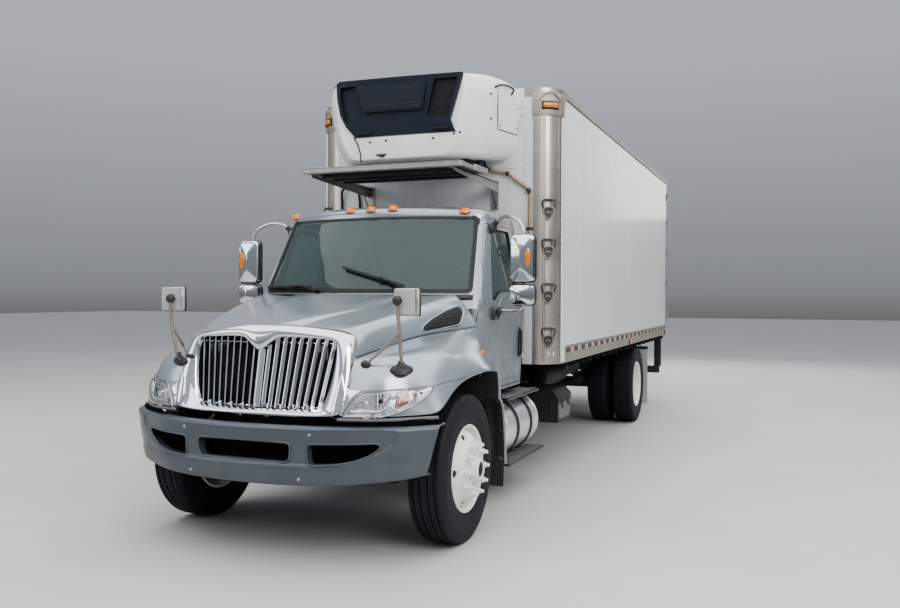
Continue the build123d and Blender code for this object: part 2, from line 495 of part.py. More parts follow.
# raised deck, clear of the walls
DECK_H = 6.0
floor += box(-IN_HW + 20, IN_HW - 20, BOX_Y0 + POST_R + 20, BOX_Y1 - 130, FLOOR_Z - 1, FLOOR_Z + DECK_H)
# floor cross bearers, every 450
for i in range(15):
    y = BOX_Y0 + 330 + i * 450
    floor += box(-IN_HW, IN_HW, y - 22, y + 22, BOX_Z0, BOX_Z0 + 81)
parts["box_floor"] = floor
ROOF_IN = BOX_Z1 - WALL_T
parts["box_front_wall"] = box(-BOX_HW + POST_R, BOX_HW - POST_R, BOX_Y0, BOX_Y0 + WALL_T, BOX_Z0, ROOF_IN)
wall = box(IN_HW, BOX_HW, BOX_Y0 + POST_R, BOX_Y1 - 100, FLOOR_Z, ROOF_IN - 50)
parts["box_side_walls"] = both(wall)
roof = box(-IN_HW, IN_HW, BOX_Y0 + WALL_T, BOX_Y1 - 100, ROOF_IN, BOX_Z1)
parts["box_roof"] = roof
rails = box(IN_HW, BOX_HW, BOX_Y0 + POST_R, BOX_Y1 - 100, BOX_Z0, FLOOR_Z) + box(IN_HW, BOX_HW, BOX_Y0 + POST_R, BOX_Y1 - 100, ROOF_IN - 50, BOX_Z1)
front_top = box(-BOX_HW + POST_R, BOX_HW - POST_R, BOX_Y0, BOX_Y0 + WALL_T, ROOF_IN, BOX_Z1)
parts["box_rails"] = both(rails) + front_top
# rounded corner posts
cx, cy = BOX_HW - POST_R, BOX_Y0 + POST_R
quad = [Line((cx, BOX_Y0, BOX_Z0), (cx, BOX_Y0 + WALL_T, BOX_Z0)),
        ThreePointArc((cx, BOX_Y0 + WALL_T, BOX_Z0), (cx + (POST_R - WALL_T) * math.sin(math.pi / 4), cy - (POST_R - WALL_T) * math.cos(math.pi / 4), BOX_Z0), (IN_HW, cy, BOX_Z0)),
        Line((IN_HW, cy, BOX_Z0), (BOX_HW, cy, BOX_Z0)),
        ThreePointArc((BOX_HW, cy, BOX_Z0), (cx + POST_R * math.sin(math.pi / 4), cy - POST_R * math.cos(math.pi / 4), BOX_Z0), (cx, BOX_Y0, BOX_Z0))]
post = extrude(make_face(Wire([e for c in quad for e in c.edges()])), amount=BOX_Z1 - BOX_Z0, dir=(0, 0, 1))
post -= box(-IN_HW, IN_HW, BOX_Y0 + WALL_T, BOX_Y1, FLOOR_Z - 200, FLOOR_Z) & box(0, IN_HW, BOX_Y0 + WALL_T, BOX_Y1, BOX_Z0, FLOOR_Z)
post -= box(0, IN_HW, BOX_Y0 + WALL_T, BOX_Y1, ROOF_IN, BOX_Z1)
parts["corner_posts"] = both(post)
# folding steps on the driver's side post: z of each tread
STEP_Z = [1290, 1690, 2090, 2430]
fold = box(1070, 1170, 2060, 2066, 1200, 2520)
STEP_X = 1120
plate_y = None
fold = None
for z in STEP_Z:
    s = box(1068, 1172, 2104, 2112, z - 60, z + 60) + box(1078, 1162, 2060, 2106, z - 14, z + 10)
    s += box(1072, 1090, 2108, 2200, z - 30, z + 30) + box(1150, 1168, 2108, 2300, z - 30, z + 30)
    fold = s if fold is None else fold + s
fold -= parts["corner_posts"]
fold -= box(900, IN_HW + 30, BOX_Y0 + WALL_T - 40, 2500, 1100, 3500)
fold_bits = [s for s in fold.solids() if s.volume > 20000]
parts["folding_steps"] = Compound(fold_bits)

# rear frame and the two doors
REAR_FRAME_Y = BOX_Y1 - 100
DOOR_HW = 1150.0
DOOR_Z0, DOOR_Z1 = 1245.0, 3440.0
rear_frame = box(-BOX_HW, BOX_HW, REAR_FRAME_Y, BOX_Y1, BOX_Z0, BOX_Z1) - box(-DOOR_HW, DOOR_HW, REAR_FRAME_Y - 10, BOX_Y1 + 10, DOOR_Z0, DOOR_Z1)
HINGE_X, HINGE_Y = 1234.0, 9064.0
gap = 6.0
rd = box(gap / 2, DOOR_HW - gap, BOX_Y1 - 72, BOX_Y1 + 2, DOOR_Z0 + gap, DOOR_Z1 - gap)
# hinge straps: z of each
for z in (1420, 1900, 2380, 2860, 3300):
    rd += box(850, 1214, BOX_Y1 + 2, BOX_Y1 + 14, z - 30, z + 30) + box(1200, 1234, BOX_Y1 + 6, BOX_Y1 + 34, z - 30, z + 30)
    rd += rod((HINGE_X, HINGE_Y, z - 30), (HINGE_X, HINGE_Y, z + 30), 14)
    rd -= rod((HINGE_X, HINGE_Y, z - 40), (HINGE_X, HINGE_Y, z + 40), 8.6)
# lock rod down the free edge
rd += rod((130, BOX_Y1 + 18, DOOR_Z0 + 30), (130, BOX_Y1 + 18, DOOR_Z1 - 30), 13)
for z in (1330, 1750, 2400, 3000, 3380):
    rd += box(100, 160, BOX_Y1 + 2, BOX_Y1 + 20, z - 25, z + 25)
parts["rear_door_left"] = rd
parts["rear_door_right"] = mirror(rd, about=Plane.YZ)
pins = None
for z in (1420, 1900, 2380, 2860, 3300):
    for s in (-1, 1):
        z0 = z + s * 46
        p = box(1206, 1248, BOX_Y1 - 30, BOX_Y1 + 4, z0 - 12, z0 + 12) - box(0, BOX_HW, 8000, BOX_Y1, 0, 4000)
        p += box(1222, 1248, BOX_Y1 + 0, HINGE_Y + 12, z0 - 12, z0 + 12)
        pins = p if pins is None else pins + p
    pins += rod((HINGE_X, HINGE_Y, z - 58), (HINGE_X, HINGE_Y, z + 58), 8)
parts["box_rear_frame"] = rear_frame + both(pins)

# rear guard
guard = box(-1130, 1130, 8960, 9040, 445, 560)
guard += both(box(1050, 1100, 8965, 9030, 555, BOX_Z0)) + both(box(380, 432, 8841, 8960, 470, 640) + box(380, 432, 8841, 8900, 560, RAIL_Z1))
parts["rear_guard"] = guard

# ---------------------------------------------------------------- refrigeration unit and its walkway
# shell: (y, half width and z of the bottom, of the lower side, of the upper side, of the top)
UNIT = [(1400, 400, 2868, 545, 3090, 615, 3440, 590, 3562), (1640, 800, 2880, 905, 3040, 905, 3440, 830, 3590), (1900, 900, 2900, 968, 3060, 968, 3450, 880, 3600), (2149, 920, 2930, 975, 3080, 975, 3460, 900, 3600)]


def unit_section(y, x0, z0, x1, z1, x2, z2, x3, z3):
    return face3([(-x0, y, z0), (x0, y, z0), (x1, y, z1), (x2, y, z2), (x3, y, z3), (-x3, y, z3), (-x2, y, z2), (-x1, y, z1)])


unit = stack(UNIT, unit_section)
parts["cooling_unit"] = unit
panel = loft([face3([(-457, 1398, 3100), (457, 1398, 3100), (500, 1398, 3200), (590, 1398, 3555), (-590, 1398, 3555), (-500, 1398, 3200)]),
              face3([(-430, 1325, 3130), (430, 1325, 3130), (480, 1318, 3200), (560, 1360, 3540), (-560, 1360, 3540), (-480, 1318, 3200)])], ruled=True) if False else \
    extrude(face3([(-457, 1398, 3100), (457, 1398, 3100), (500, 1398, 3200), (590, 1398, 3555), (-590, 1398, 3555), (-500, 1398, 3200)]), amount=-60, dir=(0, 1, 0))
parts["unit_front_panel"] = panel

walk = box(-730, 730, 1020, 1600, 2735, 2769) - box(-700, 700, 1050, 1570, 2700, 2755)
for i in range(13):
    x = -700 + i * 1400 / 12
    walk += box(x - 4, x + 4, 1045, 1575, 2737, 2767)
walk += both(box(610, 660, 1015, 2150, 2668, 2736))
walk += both(box(600, 670, 2138, 2150, 2400, 2736))
walk += both(prism_x([(2138, 2420), (2138, 2470), (1850, 2668), (1800, 2668)], 625, 645))
parts["walkway"] = walk

# hoses clipped to the front wall, each with its clips
HOSES = [(16, [(530, 2112, 2917), (548, 2124, 2850), (760, 2124, 2806), (968, 2124, 2650), (968, 2124, 1300)], [(968, 2420), (968, 2050), (968, 1700)]),
         (11, [(-945, 2129, 2440), (-945, 2110, 2680), (-895, 2100, 2750), (-805, 2100, 2750), (-750, 2112, 2680), (-750, 2129, 2440)], [(-945, 2470), (-750, 2470)])]
hoses = None
for r, route, clips in HOSES:
    hose = tube(route, r)
    for cx, cz in clips:
        hose += box(cx - 30, cx + 30, 2134, 2149.5, cz - 11, cz + 11)
    hoses = hose if hoses is None else hoses + hose
parts["hoses"] = hoses

# ---------------------------------------------------------------- write the files
os.makedirs("parts", exist_ok=True)
for name, shape in parts.items():
    moved = Pos(0, Y_SHIFT, 0) * shape
    export_step(moved, f"parts/{name}.step")
    b = moved.bounding_box()
    print(f"{name:24s} solids {len(moved.solids()):2d}  x {b.min.X:8.1f} {b.max.X:8.1f}  y {b.min.Y:8.1f} {b.max.Y:8.1f}  z {b.min.Z:7.1f} {b.max.Z:7.1f}  vol {moved.volume / 1e6:9.2f} l")
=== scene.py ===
import bmesh
import bpy
import json
import math
import random
from mathutils import Matrix, Vector
from mathutils.bvhtree import BVHTree


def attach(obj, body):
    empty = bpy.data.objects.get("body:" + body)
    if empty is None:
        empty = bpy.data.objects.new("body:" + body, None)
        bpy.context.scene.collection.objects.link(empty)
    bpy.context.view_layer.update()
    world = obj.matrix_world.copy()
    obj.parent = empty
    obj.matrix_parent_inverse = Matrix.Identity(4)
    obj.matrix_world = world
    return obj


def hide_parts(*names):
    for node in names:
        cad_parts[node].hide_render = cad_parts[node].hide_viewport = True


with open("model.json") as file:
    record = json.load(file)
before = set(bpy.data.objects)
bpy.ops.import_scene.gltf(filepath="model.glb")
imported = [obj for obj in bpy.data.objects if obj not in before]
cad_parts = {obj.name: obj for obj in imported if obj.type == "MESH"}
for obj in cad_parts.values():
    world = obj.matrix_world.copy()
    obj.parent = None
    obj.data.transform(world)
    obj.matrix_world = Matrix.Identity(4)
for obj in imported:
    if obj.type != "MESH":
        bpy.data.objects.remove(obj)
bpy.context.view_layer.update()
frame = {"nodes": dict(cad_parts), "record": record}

YS = -4.089            # the front axle's y in the row frame; shapes below are written from the front axle
SC = bpy.context.scene
COL = SC.collection
NODES = frame["nodes"]

# ------------------------------------------------------------------ camera
YAW, PITCH, ROLL, FPX = 0.3813, -0.0100, 0.0039, 870.0
CAM = Vector((3.2295, -5.4276 + YS, 1.6950))
F = Vector((-math.sin(YAW) * math.cos(PITCH), math.cos(YAW) * math.cos(PITCH), math.sin(PITCH)))
R0 = F.cross(Vector((0, 0, 1))).normalized()
U0 = R0.cross(F)
RR = (R0 * math.cos(ROLL) + U0 * math.sin(ROLL)).normalized()
UU = (-R0 * math.sin(ROLL) + U0 * math.cos(ROLL)).normalized()
cd = bpy.data.cameras.new("cam")
cd.sensor_fit, cd.sensor_width, cd.lens = "HORIZONTAL", 36.0, FPX * 36.0 / 900.0
cd.clip_start, cd.clip_end = 0.05, 200.0
cam = bpy.data.objects.new("cam", cd)
COL.objects.link(cam)
cam.matrix_world = Matrix((
    (RR.x, UU.x, -F.x, CAM.x), (RR.y, UU.y, -F.y, CAM.y), (RR.z, UU.z, -F.z, CAM.z), (0, 0, 0, 1)))
SC.camera = cam


# ------------------------------------------------------------------ node materials
def mat_base(name):
    m = bpy.data.materials.new(name)
    m.use_nodes = True
    nt = m.node_tree
    nt.nodes.clear()
    out = nt.nodes.new("ShaderNodeOutputMaterial")
    b = nt.nodes.new("ShaderNodeBsdfPrincipled")
    nt.links.new(b.outputs[0], out.inputs[0])
    return m, nt, b


def nd(nt, kind, **kw):
    n = nt.nodes.new(kind)
    for k, v in kw.items():
        setattr(n, k, v)
    return n


def coords(nt, scale=(1, 1, 1), rot=(0, 0, 0)):
    tc = nd(nt, "ShaderNodeTexCoord")
    mp = nd(nt, "ShaderNodeMapping")
    mp.inputs["Scale"].default_value = scale
    mp.inputs["Rotation"].default_value = rot
    nt.links.new(tc.outputs["Object"], mp.inputs["Vector"])
    return mp.outputs["Vector"]


def noise(nt, vec, scale, detail=4.0, rough=0.55):
    n = nd(nt, "ShaderNodeTexNoise")
    n.inputs["Scale"].default_value = scale
    n.inputs["Detail"].default_value = detail
    n.inputs["Roughness"].default_value = rough
    nt.links.new(vec, n.inputs["Vector"])
    return n.outputs["Fac"]


def ramp(nt, fac, stops):
    r = nd(nt, "ShaderNodeValToRGB")
    el = r.color_ramp.elements
    while len(el) > len(stops):
        el.remove(el[-1])
    while len(el) < len(stops):
        el.new(0.5)
    for e, (p, c) in zip(el, stops):
        e.position = p
        e.color = (c, c, c, 1) if not isinstance(c, (tuple, list)) else (c[0], c[1], c[2], 1)
    nt.links.new(fac, r.inputs["Fac"])
    return r.outputs["Color"]


def mixc(nt, fac, a, b, mode="MIX"):
    m = nd(nt, "ShaderNodeMix", data_type="RGBA", blend_type=mode)
    for sock, v in ((m.inputs[0], fac), (m.inputs[6], a), (m.inputs[7], b)):
        if hasattr(v, "links"):
            nt.links.new(v, sock)
        elif isinstance(v, (tuple, list)):
            sock.default_value = (v[0], v[1], v[2], 1)
        else:
            sock.default_value = v
    return m.outputs[2]


def mth(nt, op, a, b=0.0, clamp=False):
    m = nd(nt, "ShaderNodeMath", operation=op, use_clamp=clamp)
    for sock, v in ((m.inputs[0], a), (m.inputs[1], b)):
        if hasattr(v, "links"):
            nt.links.new(v, sock)
        else:
            sock.default_value = v
    return m.outputs[0]


def bump(nt, b, height, strength=0.3, dist=0.002, prev=None):
    n = nd(nt, "ShaderNodeBump")
    n.inputs["Strength"].default_value = strength
    n.inputs["Distance"].default_value = dist
    nt.links.new(height, n.inputs["Height"])
    if prev is not None:
        nt.links.new(prev, n.inputs["Normal"])
    if b is not None:
        nt.links.new(n.outputs[0], b.inputs["Normal"])
    return n.outputs[0]


def zmask(nt, z0, z1):
    """1 below z0, 0 above z1 (object coordinates, metres)."""
    tc = nd(nt, "ShaderNodeTexCoord")
    sp = nd(nt, "ShaderNodeSeparateXYZ")
    nt.links.new(tc.outputs["Object"], sp.inputs[0])
    mr = nd(nt, "ShaderNodeMapRange")
    mr.inputs["From Min"].default_value = z0
    mr.inputs["From Max"].default_value = z1
    mr.inputs["To Min"].default_value = 1.0
    mr.inputs["To Max"].default_value = 0.0
    nt.links.new(sp.outputs["Z"], mr.inputs["Value"])
    return mr.outputs["Result"]


def edge_wear(nt, amount=0.5):
    g = nd(nt, "ShaderNodeNewGeometry")
    return ramp(nt, g.outputs["Pointiness"], [(0.50, 0.0), (0.50 + 0.08 / max(amount, 0.05), 1.0)])


def surf(name, col, rough=0.5, metal=0.0, var=0.12, vscale=3.0, rvar=0.12, grain=300.0, gstr=0.06, gdist=0.0006,
         coat=0.0, coat_r=0.05, dust_and_shade=0.0, dust_and_shade_z=(0.2, 1.3), dust_and_shade_col=(0.42, 0.38, 0.33), streak=0.0, spec=0.5,
         speck=0.0, sheen=0.0, fine=0.0):
    """Base colour varied in two scales, roughness in another, bump from a grain, dust rising from the ground (on the
    cab paint the same darkening is painted shade and dark reflection).
    """
    m, nt, b = mat_base(name)
    v = coords(nt)
    n1 = noise(nt, v, vscale, 5.0, 0.6)
    lo = tuple(max(0.0, c * (1 - var)) for c in col)
    hi = tuple(min(1.0, c * (1 + var)) for c in col)
    c = ramp(nt, n1, [(0.30, lo), (0.70, hi)])
    if fine:
        n4 = noise(nt, v, vscale * 40, 3.0, 0.7)
        c = mixc(nt, mth(nt, "MULTIPLY", ramp(nt, n4, [(0.40, 0.0), (0.62, 1.0)]), fine), c, tuple(x * 0.55 for x in col))
    if streak:
        vs = coords(nt, (9.0, 9.0, 0.35))
        ns = noise(nt, vs, 3.0, 6.0, 0.65)
        c = mixc(nt, mth(nt, "MULTIPLY", ramp(nt, ns, [(0.46, 0.0), (0.72, 1.0)]), streak), c,
                 tuple(x * y for x, y in zip(col, (0.74, 0.74, 0.72))))
        nw = noise(nt, coords(nt, (3.2, 3.2, 0.22)), 2.2, 5.0, 0.7)
        c = mixc(nt, mth(nt, "MULTIPLY", ramp(nt, nw, [(0.40, 1.0), (0.60, 0.0)]), streak * 0.8), c,
                 tuple(x * y for x, y in zip(col, (0.80, 0.81, 0.80))))
        nl = noise(nt, coords(nt, (5.0, 5.0, 0.16)), 3.4, 4.0, 0.6)
        c = mixc(nt, mth(nt, "MULTIPLY", ramp(nt, nl, [(0.56, 0.0), (0.68, 1.0)]), streak * 0.9), c,
                 tuple(min(1.0, x * 1.16) for x in col))
    if speck:
        nv = noise(nt, v, 90.0, 2.0, 0.8)
        c = mixc(nt, mth(nt, "MULTIPLY", ramp(nt, nv, [(0.63, 0.0), (0.70, 1.0)]), speck), c, tuple(x * 0.35 for x in col))
    # darker or dustier towards the ground: real dust on most finishes, painted shade and dark reflection on the cab
    # paint
    if dust_and_shade:
        zm = zmask(nt, dust_and_shade_z[0], dust_and_shade_z[1])
        nz = noise(nt, v, 6.0, 6.0, 0.7)
        d = mth(nt, "MULTIPLY", mth(nt, "MULTIPLY", zm, ramp(nt, nz, [(0.32, 0.15), (0.72, 1.0)])), dust_and_shade, clamp=True)
        c = mixc(nt, d, c, dust_and_shade_col)
    nt.links.new(c, b.inputs["Base Color"])
    n2 = noise(nt, v, vscale * 2.7 + 3.0, 5.0, 0.6)
    r = ramp(nt, n2, [(0.3, max(0.02, rough - rvar * rough)), (0.72, min(1.0, rough + rvar * 1.6 * rough + 0.01))])
    if dust_and_shade:
        r = mixc(nt, d, r, (0.85, 0.85, 0.85))
    nt.links.new(r, b.inputs["Roughness"])
    b.inputs["Metallic"].default_value = metal
    b.inputs["Specular IOR Level"].default_value = spec
    if coat:
        b.inputs["Coat Weight"].default_value = coat
        b.inputs["Coat Roughness"].default_value = coat_r
    if sheen:
        b.inputs["Sheen Weight"].default_value = sheen
    if gstr:
        n3 = noise(nt, v, grain, 2.0, 0.6)
        bump(nt, b, n3, gstr, gdist)
    return m


M = {}
# silver paint: metallic, with faint variation in colour and roughness
M["silver"] = surf("silver_paint", (0.365, 0.405, 0.445), 0.21, 0.66, var=0.03, vscale=1.3, rvar=0.10, gstr=0.0)
# cab and door paint: a darker copy of the silver paint, as painted shade; its dark grey darkening towards the foot is
# painted shade and dark reflection, not dust
M["silver_cab"] = surf("silver_cab", (0.335, 0.37, 0.405), 0.21, 0.66, var=0.03, vscale=1.3, rvar=0.10, gstr=0.0,
                       dust_and_shade=0.70, dust_and_shade_z=(0.95, 1.95), dust_and_shade_col=(0.150, 0.153, 0.160))
M["housing"] = surf("lamp_housing", (0.40, 0.41, 0.425), 0.20, 0.75, var=0.05, vscale=20, grain=200, gstr=0.02)
# near-black material: painted shade, used on the filler behind the bumper
M["void"] = surf("painted_shade_black", (0.004, 0.004, 0.005), 0.85, 0.0, var=0.2, vscale=20, grain=500, gstr=0.2, spec=0.1)
M["white"] = surf("white_panel", (0.70, 0.715, 0.715), 0.38, 0.0, var=0.03, vscale=0.7, grain=180, gstr=0.10, gdist=0.0012,
                  coat=0.25, coat_r=0.12, streak=0.42)
M["wheel"] = surf("white_wheel", (0.78, 0.78, 0.75), 0.42, 0.0, var=0.05, vscale=6, grain=160, gstr=0.10, dust_and_shade=0.30,
                  dust_and_shade_z=(0.15, 0.85), dust_and_shade_col=(0.52, 0.50, 0.46), fine=0.10)
M["bumper"] = surf("bumper_grey", (0.084, 0.098, 0.115), 0.40, 0.35, var=0.06, vscale=3, grain=900, gstr=0.10, gdist=0.0005,
                   coat=0.25, coat_r=0.2, dust_and_shade=0.22, dust_and_shade_z=(0.40, 0.80), dust_and_shade_col=(0.20, 0.20, 0.20), fine=0.06)
M["black"] = surf("black_steel", (0.020, 0.021, 0.023), 0.48, 0.0, var=0.35, vscale=5, grain=260, gstr=0.18, gdist=0.0008,
                  dust_and_shade=0.28, dust_and_shade_z=(0.25, 1.10), dust_and_shade_col=(0.09, 0.085, 0.08))
M["cast"] = surf("cast_parts", (0.085, 0.082, 0.080), 0.66, 0.35, var=0.3, vscale=9, grain=420, gstr=0.35, gdist=0.0015,
                 dust_and_shade=0.45, dust_and_shade_z=(0.1, 1.2), dust_and_shade_col=(0.24, 0.20, 0.16), speck=0.3)
M["alloy"] = surf("polished_alloy", (0.60, 0.59, 0.57), 0.27, 1.0, var=0.06, vscale=0.8, rvar=0.12, grain=700, gstr=0.012,
                  gdist=0.0004, streak=0.30)
M["plain_alloy"] = surf("plain_alloy", (0.43, 0.42, 0.40), 0.42, 0.80, var=0.12, vscale=5, rvar=0.2, grain=420, gstr=0.12,
                        gdist=0.0006, streak=0.25, fine=0.10)
M["plastic"] = surf("dark_plastic", (0.030, 0.031, 0.033), 0.50, 0.0, var=0.15, vscale=6, grain=900, gstr=0.30, gdist=0.0006,
                    dust_and_shade=0.15, dust_and_shade_z=(0.2, 1.0), dust_and_shade_col=(0.08, 0.078, 0.075))
M["trim"] = surf("trim_plastic", (0.150, 0.155, 0.16), 0.60, 0.0, var=0.10, vscale=8, grain=800, gstr=0.35, gdist=0.0006)
M["unit"] = surf("unit_white", (0.80, 0.80, 0.785), 0.34, 0.0, var=0.025, vscale=2, grain=300, gstr=0.05, gdist=0.0006,
                 coat=0.35, coat_r=0.10, streak=0.16)
M["slate"] = surf("unit_slate", (0.010, 0.0155, 0.027), 0.50, 0.0, var=0.10, vscale=5, grain=700, gstr=0.20, gdist=0.0005,
                  spec=0.35)
M["rubber"] = surf("tyre_rubber", (0.016, 0.0175, 0.021), 0.62, 0.0, var=0.22, vscale=7, grain=260, gstr=0.28, gdist=0.0010,
                   dust_and_shade=0.09, dust_and_shade_z=(0.0, 0.7), dust_and_shade_col=(0.075, 0.072, 0.070), fine=0.25, spec=0.30)
M["flap"] = surf("flap_rubber", (0.026, 0.026, 0.028), 0.62, 0.0, var=0.2, vscale=5, grain=140, gstr=0.35, gdist=0.0014,
                 dust_and_shade=0.28, dust_and_shade_z=(0.1, 1.0), dust_and_shade_col=(0.09, 0.085, 0.08))
M["cloth"] = surf("seat_cloth", (0.13, 0.13, 0.135), 0.9, 0.0, var=0.15, vscale=10, grain=900, gstr=0.8, gdist=0.0012,
                  sheen=0.4, fine=0.25)
M["brown"] = surf("strut_metal", (0.27, 0.245, 0.215), 0.42, 0.55, var=0.18, vscale=20, grain=500, gstr=0.2, gdist=0.0006,
                  fine=0.2)
M["hose"] = surf("hose_tan", (0.35, 0.27, 0.19), 0.7, 0.0, var=0.15, vscale=14, grain=500, gstr=0.5, gdist=0.001, fine=0.2)
M["head_beige"] = surf("mirror_shell", (0.42, 0.425, 0.42), 0.45, 0.1, var=0.05, vscale=9, grain=700, gstr=0.15)
M["red"] = surf("tape_red", (0.088, 0.024, 0.021), 0.40, 0.0, var=0.12, vscale=40, grain=900, gstr=0.35, gdist=0.0005)
M["tape_white"] = surf("tape_white", (0.78, 0.78, 0.78), 0.30, 0.2, var=0.05, vscale=40, grain=900, gstr=0.35, gdist=0.0005)
M["engine"] = surf("engine_dark", (0.045, 0.048, 0.052), 0.6, 0.3, var=0.3, vscale=8, grain=300, gstr=0.3, gdist=0.002,
                   dust_and_shade=0.5, dust_and_shade_z=(0.4, 1.4), dust_and_shade_col=(0.16, 0.14, 0.12))
M["post"] = surf("post_alloy", (0.54, 0.50, 0.45), 0.30, 1.0, var=0.07, vscale=1.0, rvar=0.15, grain=700, gstr=0.012,
                 gdist=0.0004, streak=0.40)
M["rail"] = surf("rail_alloy", (0.36, 0.335, 0.30), 0.46, 0.55, var=0.12, vscale=3, grain=420, gstr=0.08, gdist=0.0006,
                 streak=0.35, fine=0.12, dust_and_shade=0.35, dust_and_shade_z=(1.0, 1.35), dust_and_shade_col=(0.36, 0.32, 0.27))
M["bronze"] = surf("cap_bronze", (0.36, 0.315, 0.27), 0.44, 0.55, var=0.12, vscale=5, grain=420, gstr=0.10, gdist=0.0006,
                   streak=0.30, fine=0.10)
M["grate"] = surf("step_grate", (0.17, 0.17, 0.175), 0.45, 0.75, var=0.2, vscale=9, grain=420, gstr=0.12, fine=0.2,
                  dust_and_shade=0.25, dust_and_shade_z=(0.2, 1.1), dust_and_shade_col=(0.20, 0.18, 0.16))
M["stepm"] = surf("step_cast", (0.25, 0.23, 0.20), 0.48, 0.70, var=0.2, vscale=14, grain=420, gstr=0.2, fine=0.25)
M["tank"] = surf("tank_alloy", (0.80, 0.80, 0.795), 0.26, 0.80, var=0.04, vscale=2, rvar=0.2, grain=500, gstr=0.010,
                 gdist=0.0004, dust_and_shade=0.20, dust_and_shade_z=(0.3, 0.9), dust_and_shade_col=(0.52, 0.49, 0.45))
M["turn"] = surf("turn_lens", (0.50, 0.17, 0.10), 0.16, 0.1, var=0.25, vscale=70, grain=220, gstr=0.35, gdist=0.001, coat=0.8)
M["tape_grey"] = surf("tape_grey", (0.42, 0.40, 0.37), 0.42, 0.2, var=0.08, vscale=40, grain=900, gstr=0.25, gdist=0.0005)
M["blue"] = surf("cap_blue", (0.03, 0.16, 0.48), 0.40, 0.0, var=0.12, vscale=30, grain=500, gstr=0.15)
M["seal"] = surf("seal_rubber", (0.012, 0.012, 0.013), 0.55, 0.0, var=0.2, vscale=20, grain=500, gstr=0.2)


def chrome(name, tint=(0.72, 0.74, 0.765), rough=0.045, ripple=0.10):
    m, nt, b = mat_base(name)
    v = coords(nt)
    c = ramp(nt, noise(nt, v, 3.0, 3.0), [(0.3, tuple(x * 0.96 for x in tint)), (0.7, tint)])
    smudge = ramp(nt, noise(nt, v, 14.0, 7.0, 0.75), [(0.50, rough), (0.80, rough * 3.2)])
    nt.links.new(c, b.inputs["Base Color"])
    nt.links.new(smudge, b.inputs["Roughness"])
    b.inputs["Metallic"].default_value = 1.0
    bump(nt, b, noise(nt, v, 7.0, 1.0, 0.4), ripple, 0.004)
    return m


M["chrome"] = chrome("bright_chrome")
M["mirror"] = chrome("mirror_glass", (0.80, 0.83, 0.86), 0.02, 0.0)


def glassy(name, col, rough=0.05, trans=1.0, ior=1.45, thick=0.0, spots=0.02, alpha=None):
    m, nt, b = mat_base(name)
    v = coords(nt)
    c = ramp(nt, noise(nt, v, 2.0, 2.0), [(0.3, tuple(x * 0.93 for x in col)), (0.7, col)])
    nt.links.new(c, b.inputs["Base Color"])
    r = ramp(nt, noise(nt, v, 24.0, 6.0, 0.7), [(0.52, rough), (0.85, rough + spots)])
    nt.links.new(r, b.inputs["Roughness"])
    b.inputs["Transmission Weight"].default_value = trans
    b.inputs["IOR"].default_value = ior
    if alpha is not None:
        b.inputs["Alpha"].default_value = alpha
    return m


M["glass"] = glassy("tinted_glass", (0.30, 0.40, 0.40), 0.02, 0.9, 1.45)
M["lens"] = glassy("lamp_lens", (0.95, 0.96, 0.97), 0.02, 1.0, 1.45)
M["amber"] = surf("amber_lens", (0.72, 0.20, 0.012), 0.18, 0.0, var=0.15, vscale=60, grain=220, gstr=0.35, gdist=0.001, coat=0.6)
M["redlens"] = surf("red_lens", (0.42, 0.012, 0.010), 0.18, 0.0, var=0.15, vscale=60, grain=220, gstr=0.35, gdist=0.001, coat=0.6)
M["bulb"] = surf("lamp_reflector", (0.80, 0.81, 0.82), 0.12, 1.0, var=0.05, vscale=30, grain=120, gstr=0.5, gdist=0.002)

SLOT = {"silver_paint": "silver", "white_panel": "white", "white_wheel": "wheel", "bumper_grey": "bumper",
        "black_steel": "black", "cast_parts": "cast", "bright_chrome": "chrome", "polished_alloy": "alloy",
        "plain_alloy": "plain_alloy", "dark_plastic": "plastic", "trim_plastic": "trim", "unit_white": "unit",
        "unit_slate": "slate", "tyre_rubber": "rubber", "flap_rubber": "flap", "tinted_glass": "glass",
        "lamp_lens": "lens", "seat_cloth": "cloth"}
for rec in frame["record"].get("subparts", []):
    key = SLOT.get(rec.get("material_slot"))
    if key and rec["node"] in NODES:
        NODES[rec["node"]].data.materials.clear()
        NODES[rec["node"]].data.materials.append(M[key])
for o in NODES.values():
    if not o.data.materials or o.data.materials[0] is None or o.data.materials[0] not in M.values():
        o.data.materials.clear()
        o.data.materials.append(M["black"])
for n, k in (("box_rails", "rail"), ("corner_posts", "post")):
    NODES[n].data.materials[0] = M[k]
M_OF = {n: o.data.materials[0] for n, o in NODES.items()}
NODES["engine_block"].data.materials[0] = M["engine"]

# ------------------------------------------------------------------ mesh helpers
BODY_OF = {}
for bname, members in frame["record"]["behaviour"]["bodies"].items():
    for n in members:
        BODY_OF[n] = bname


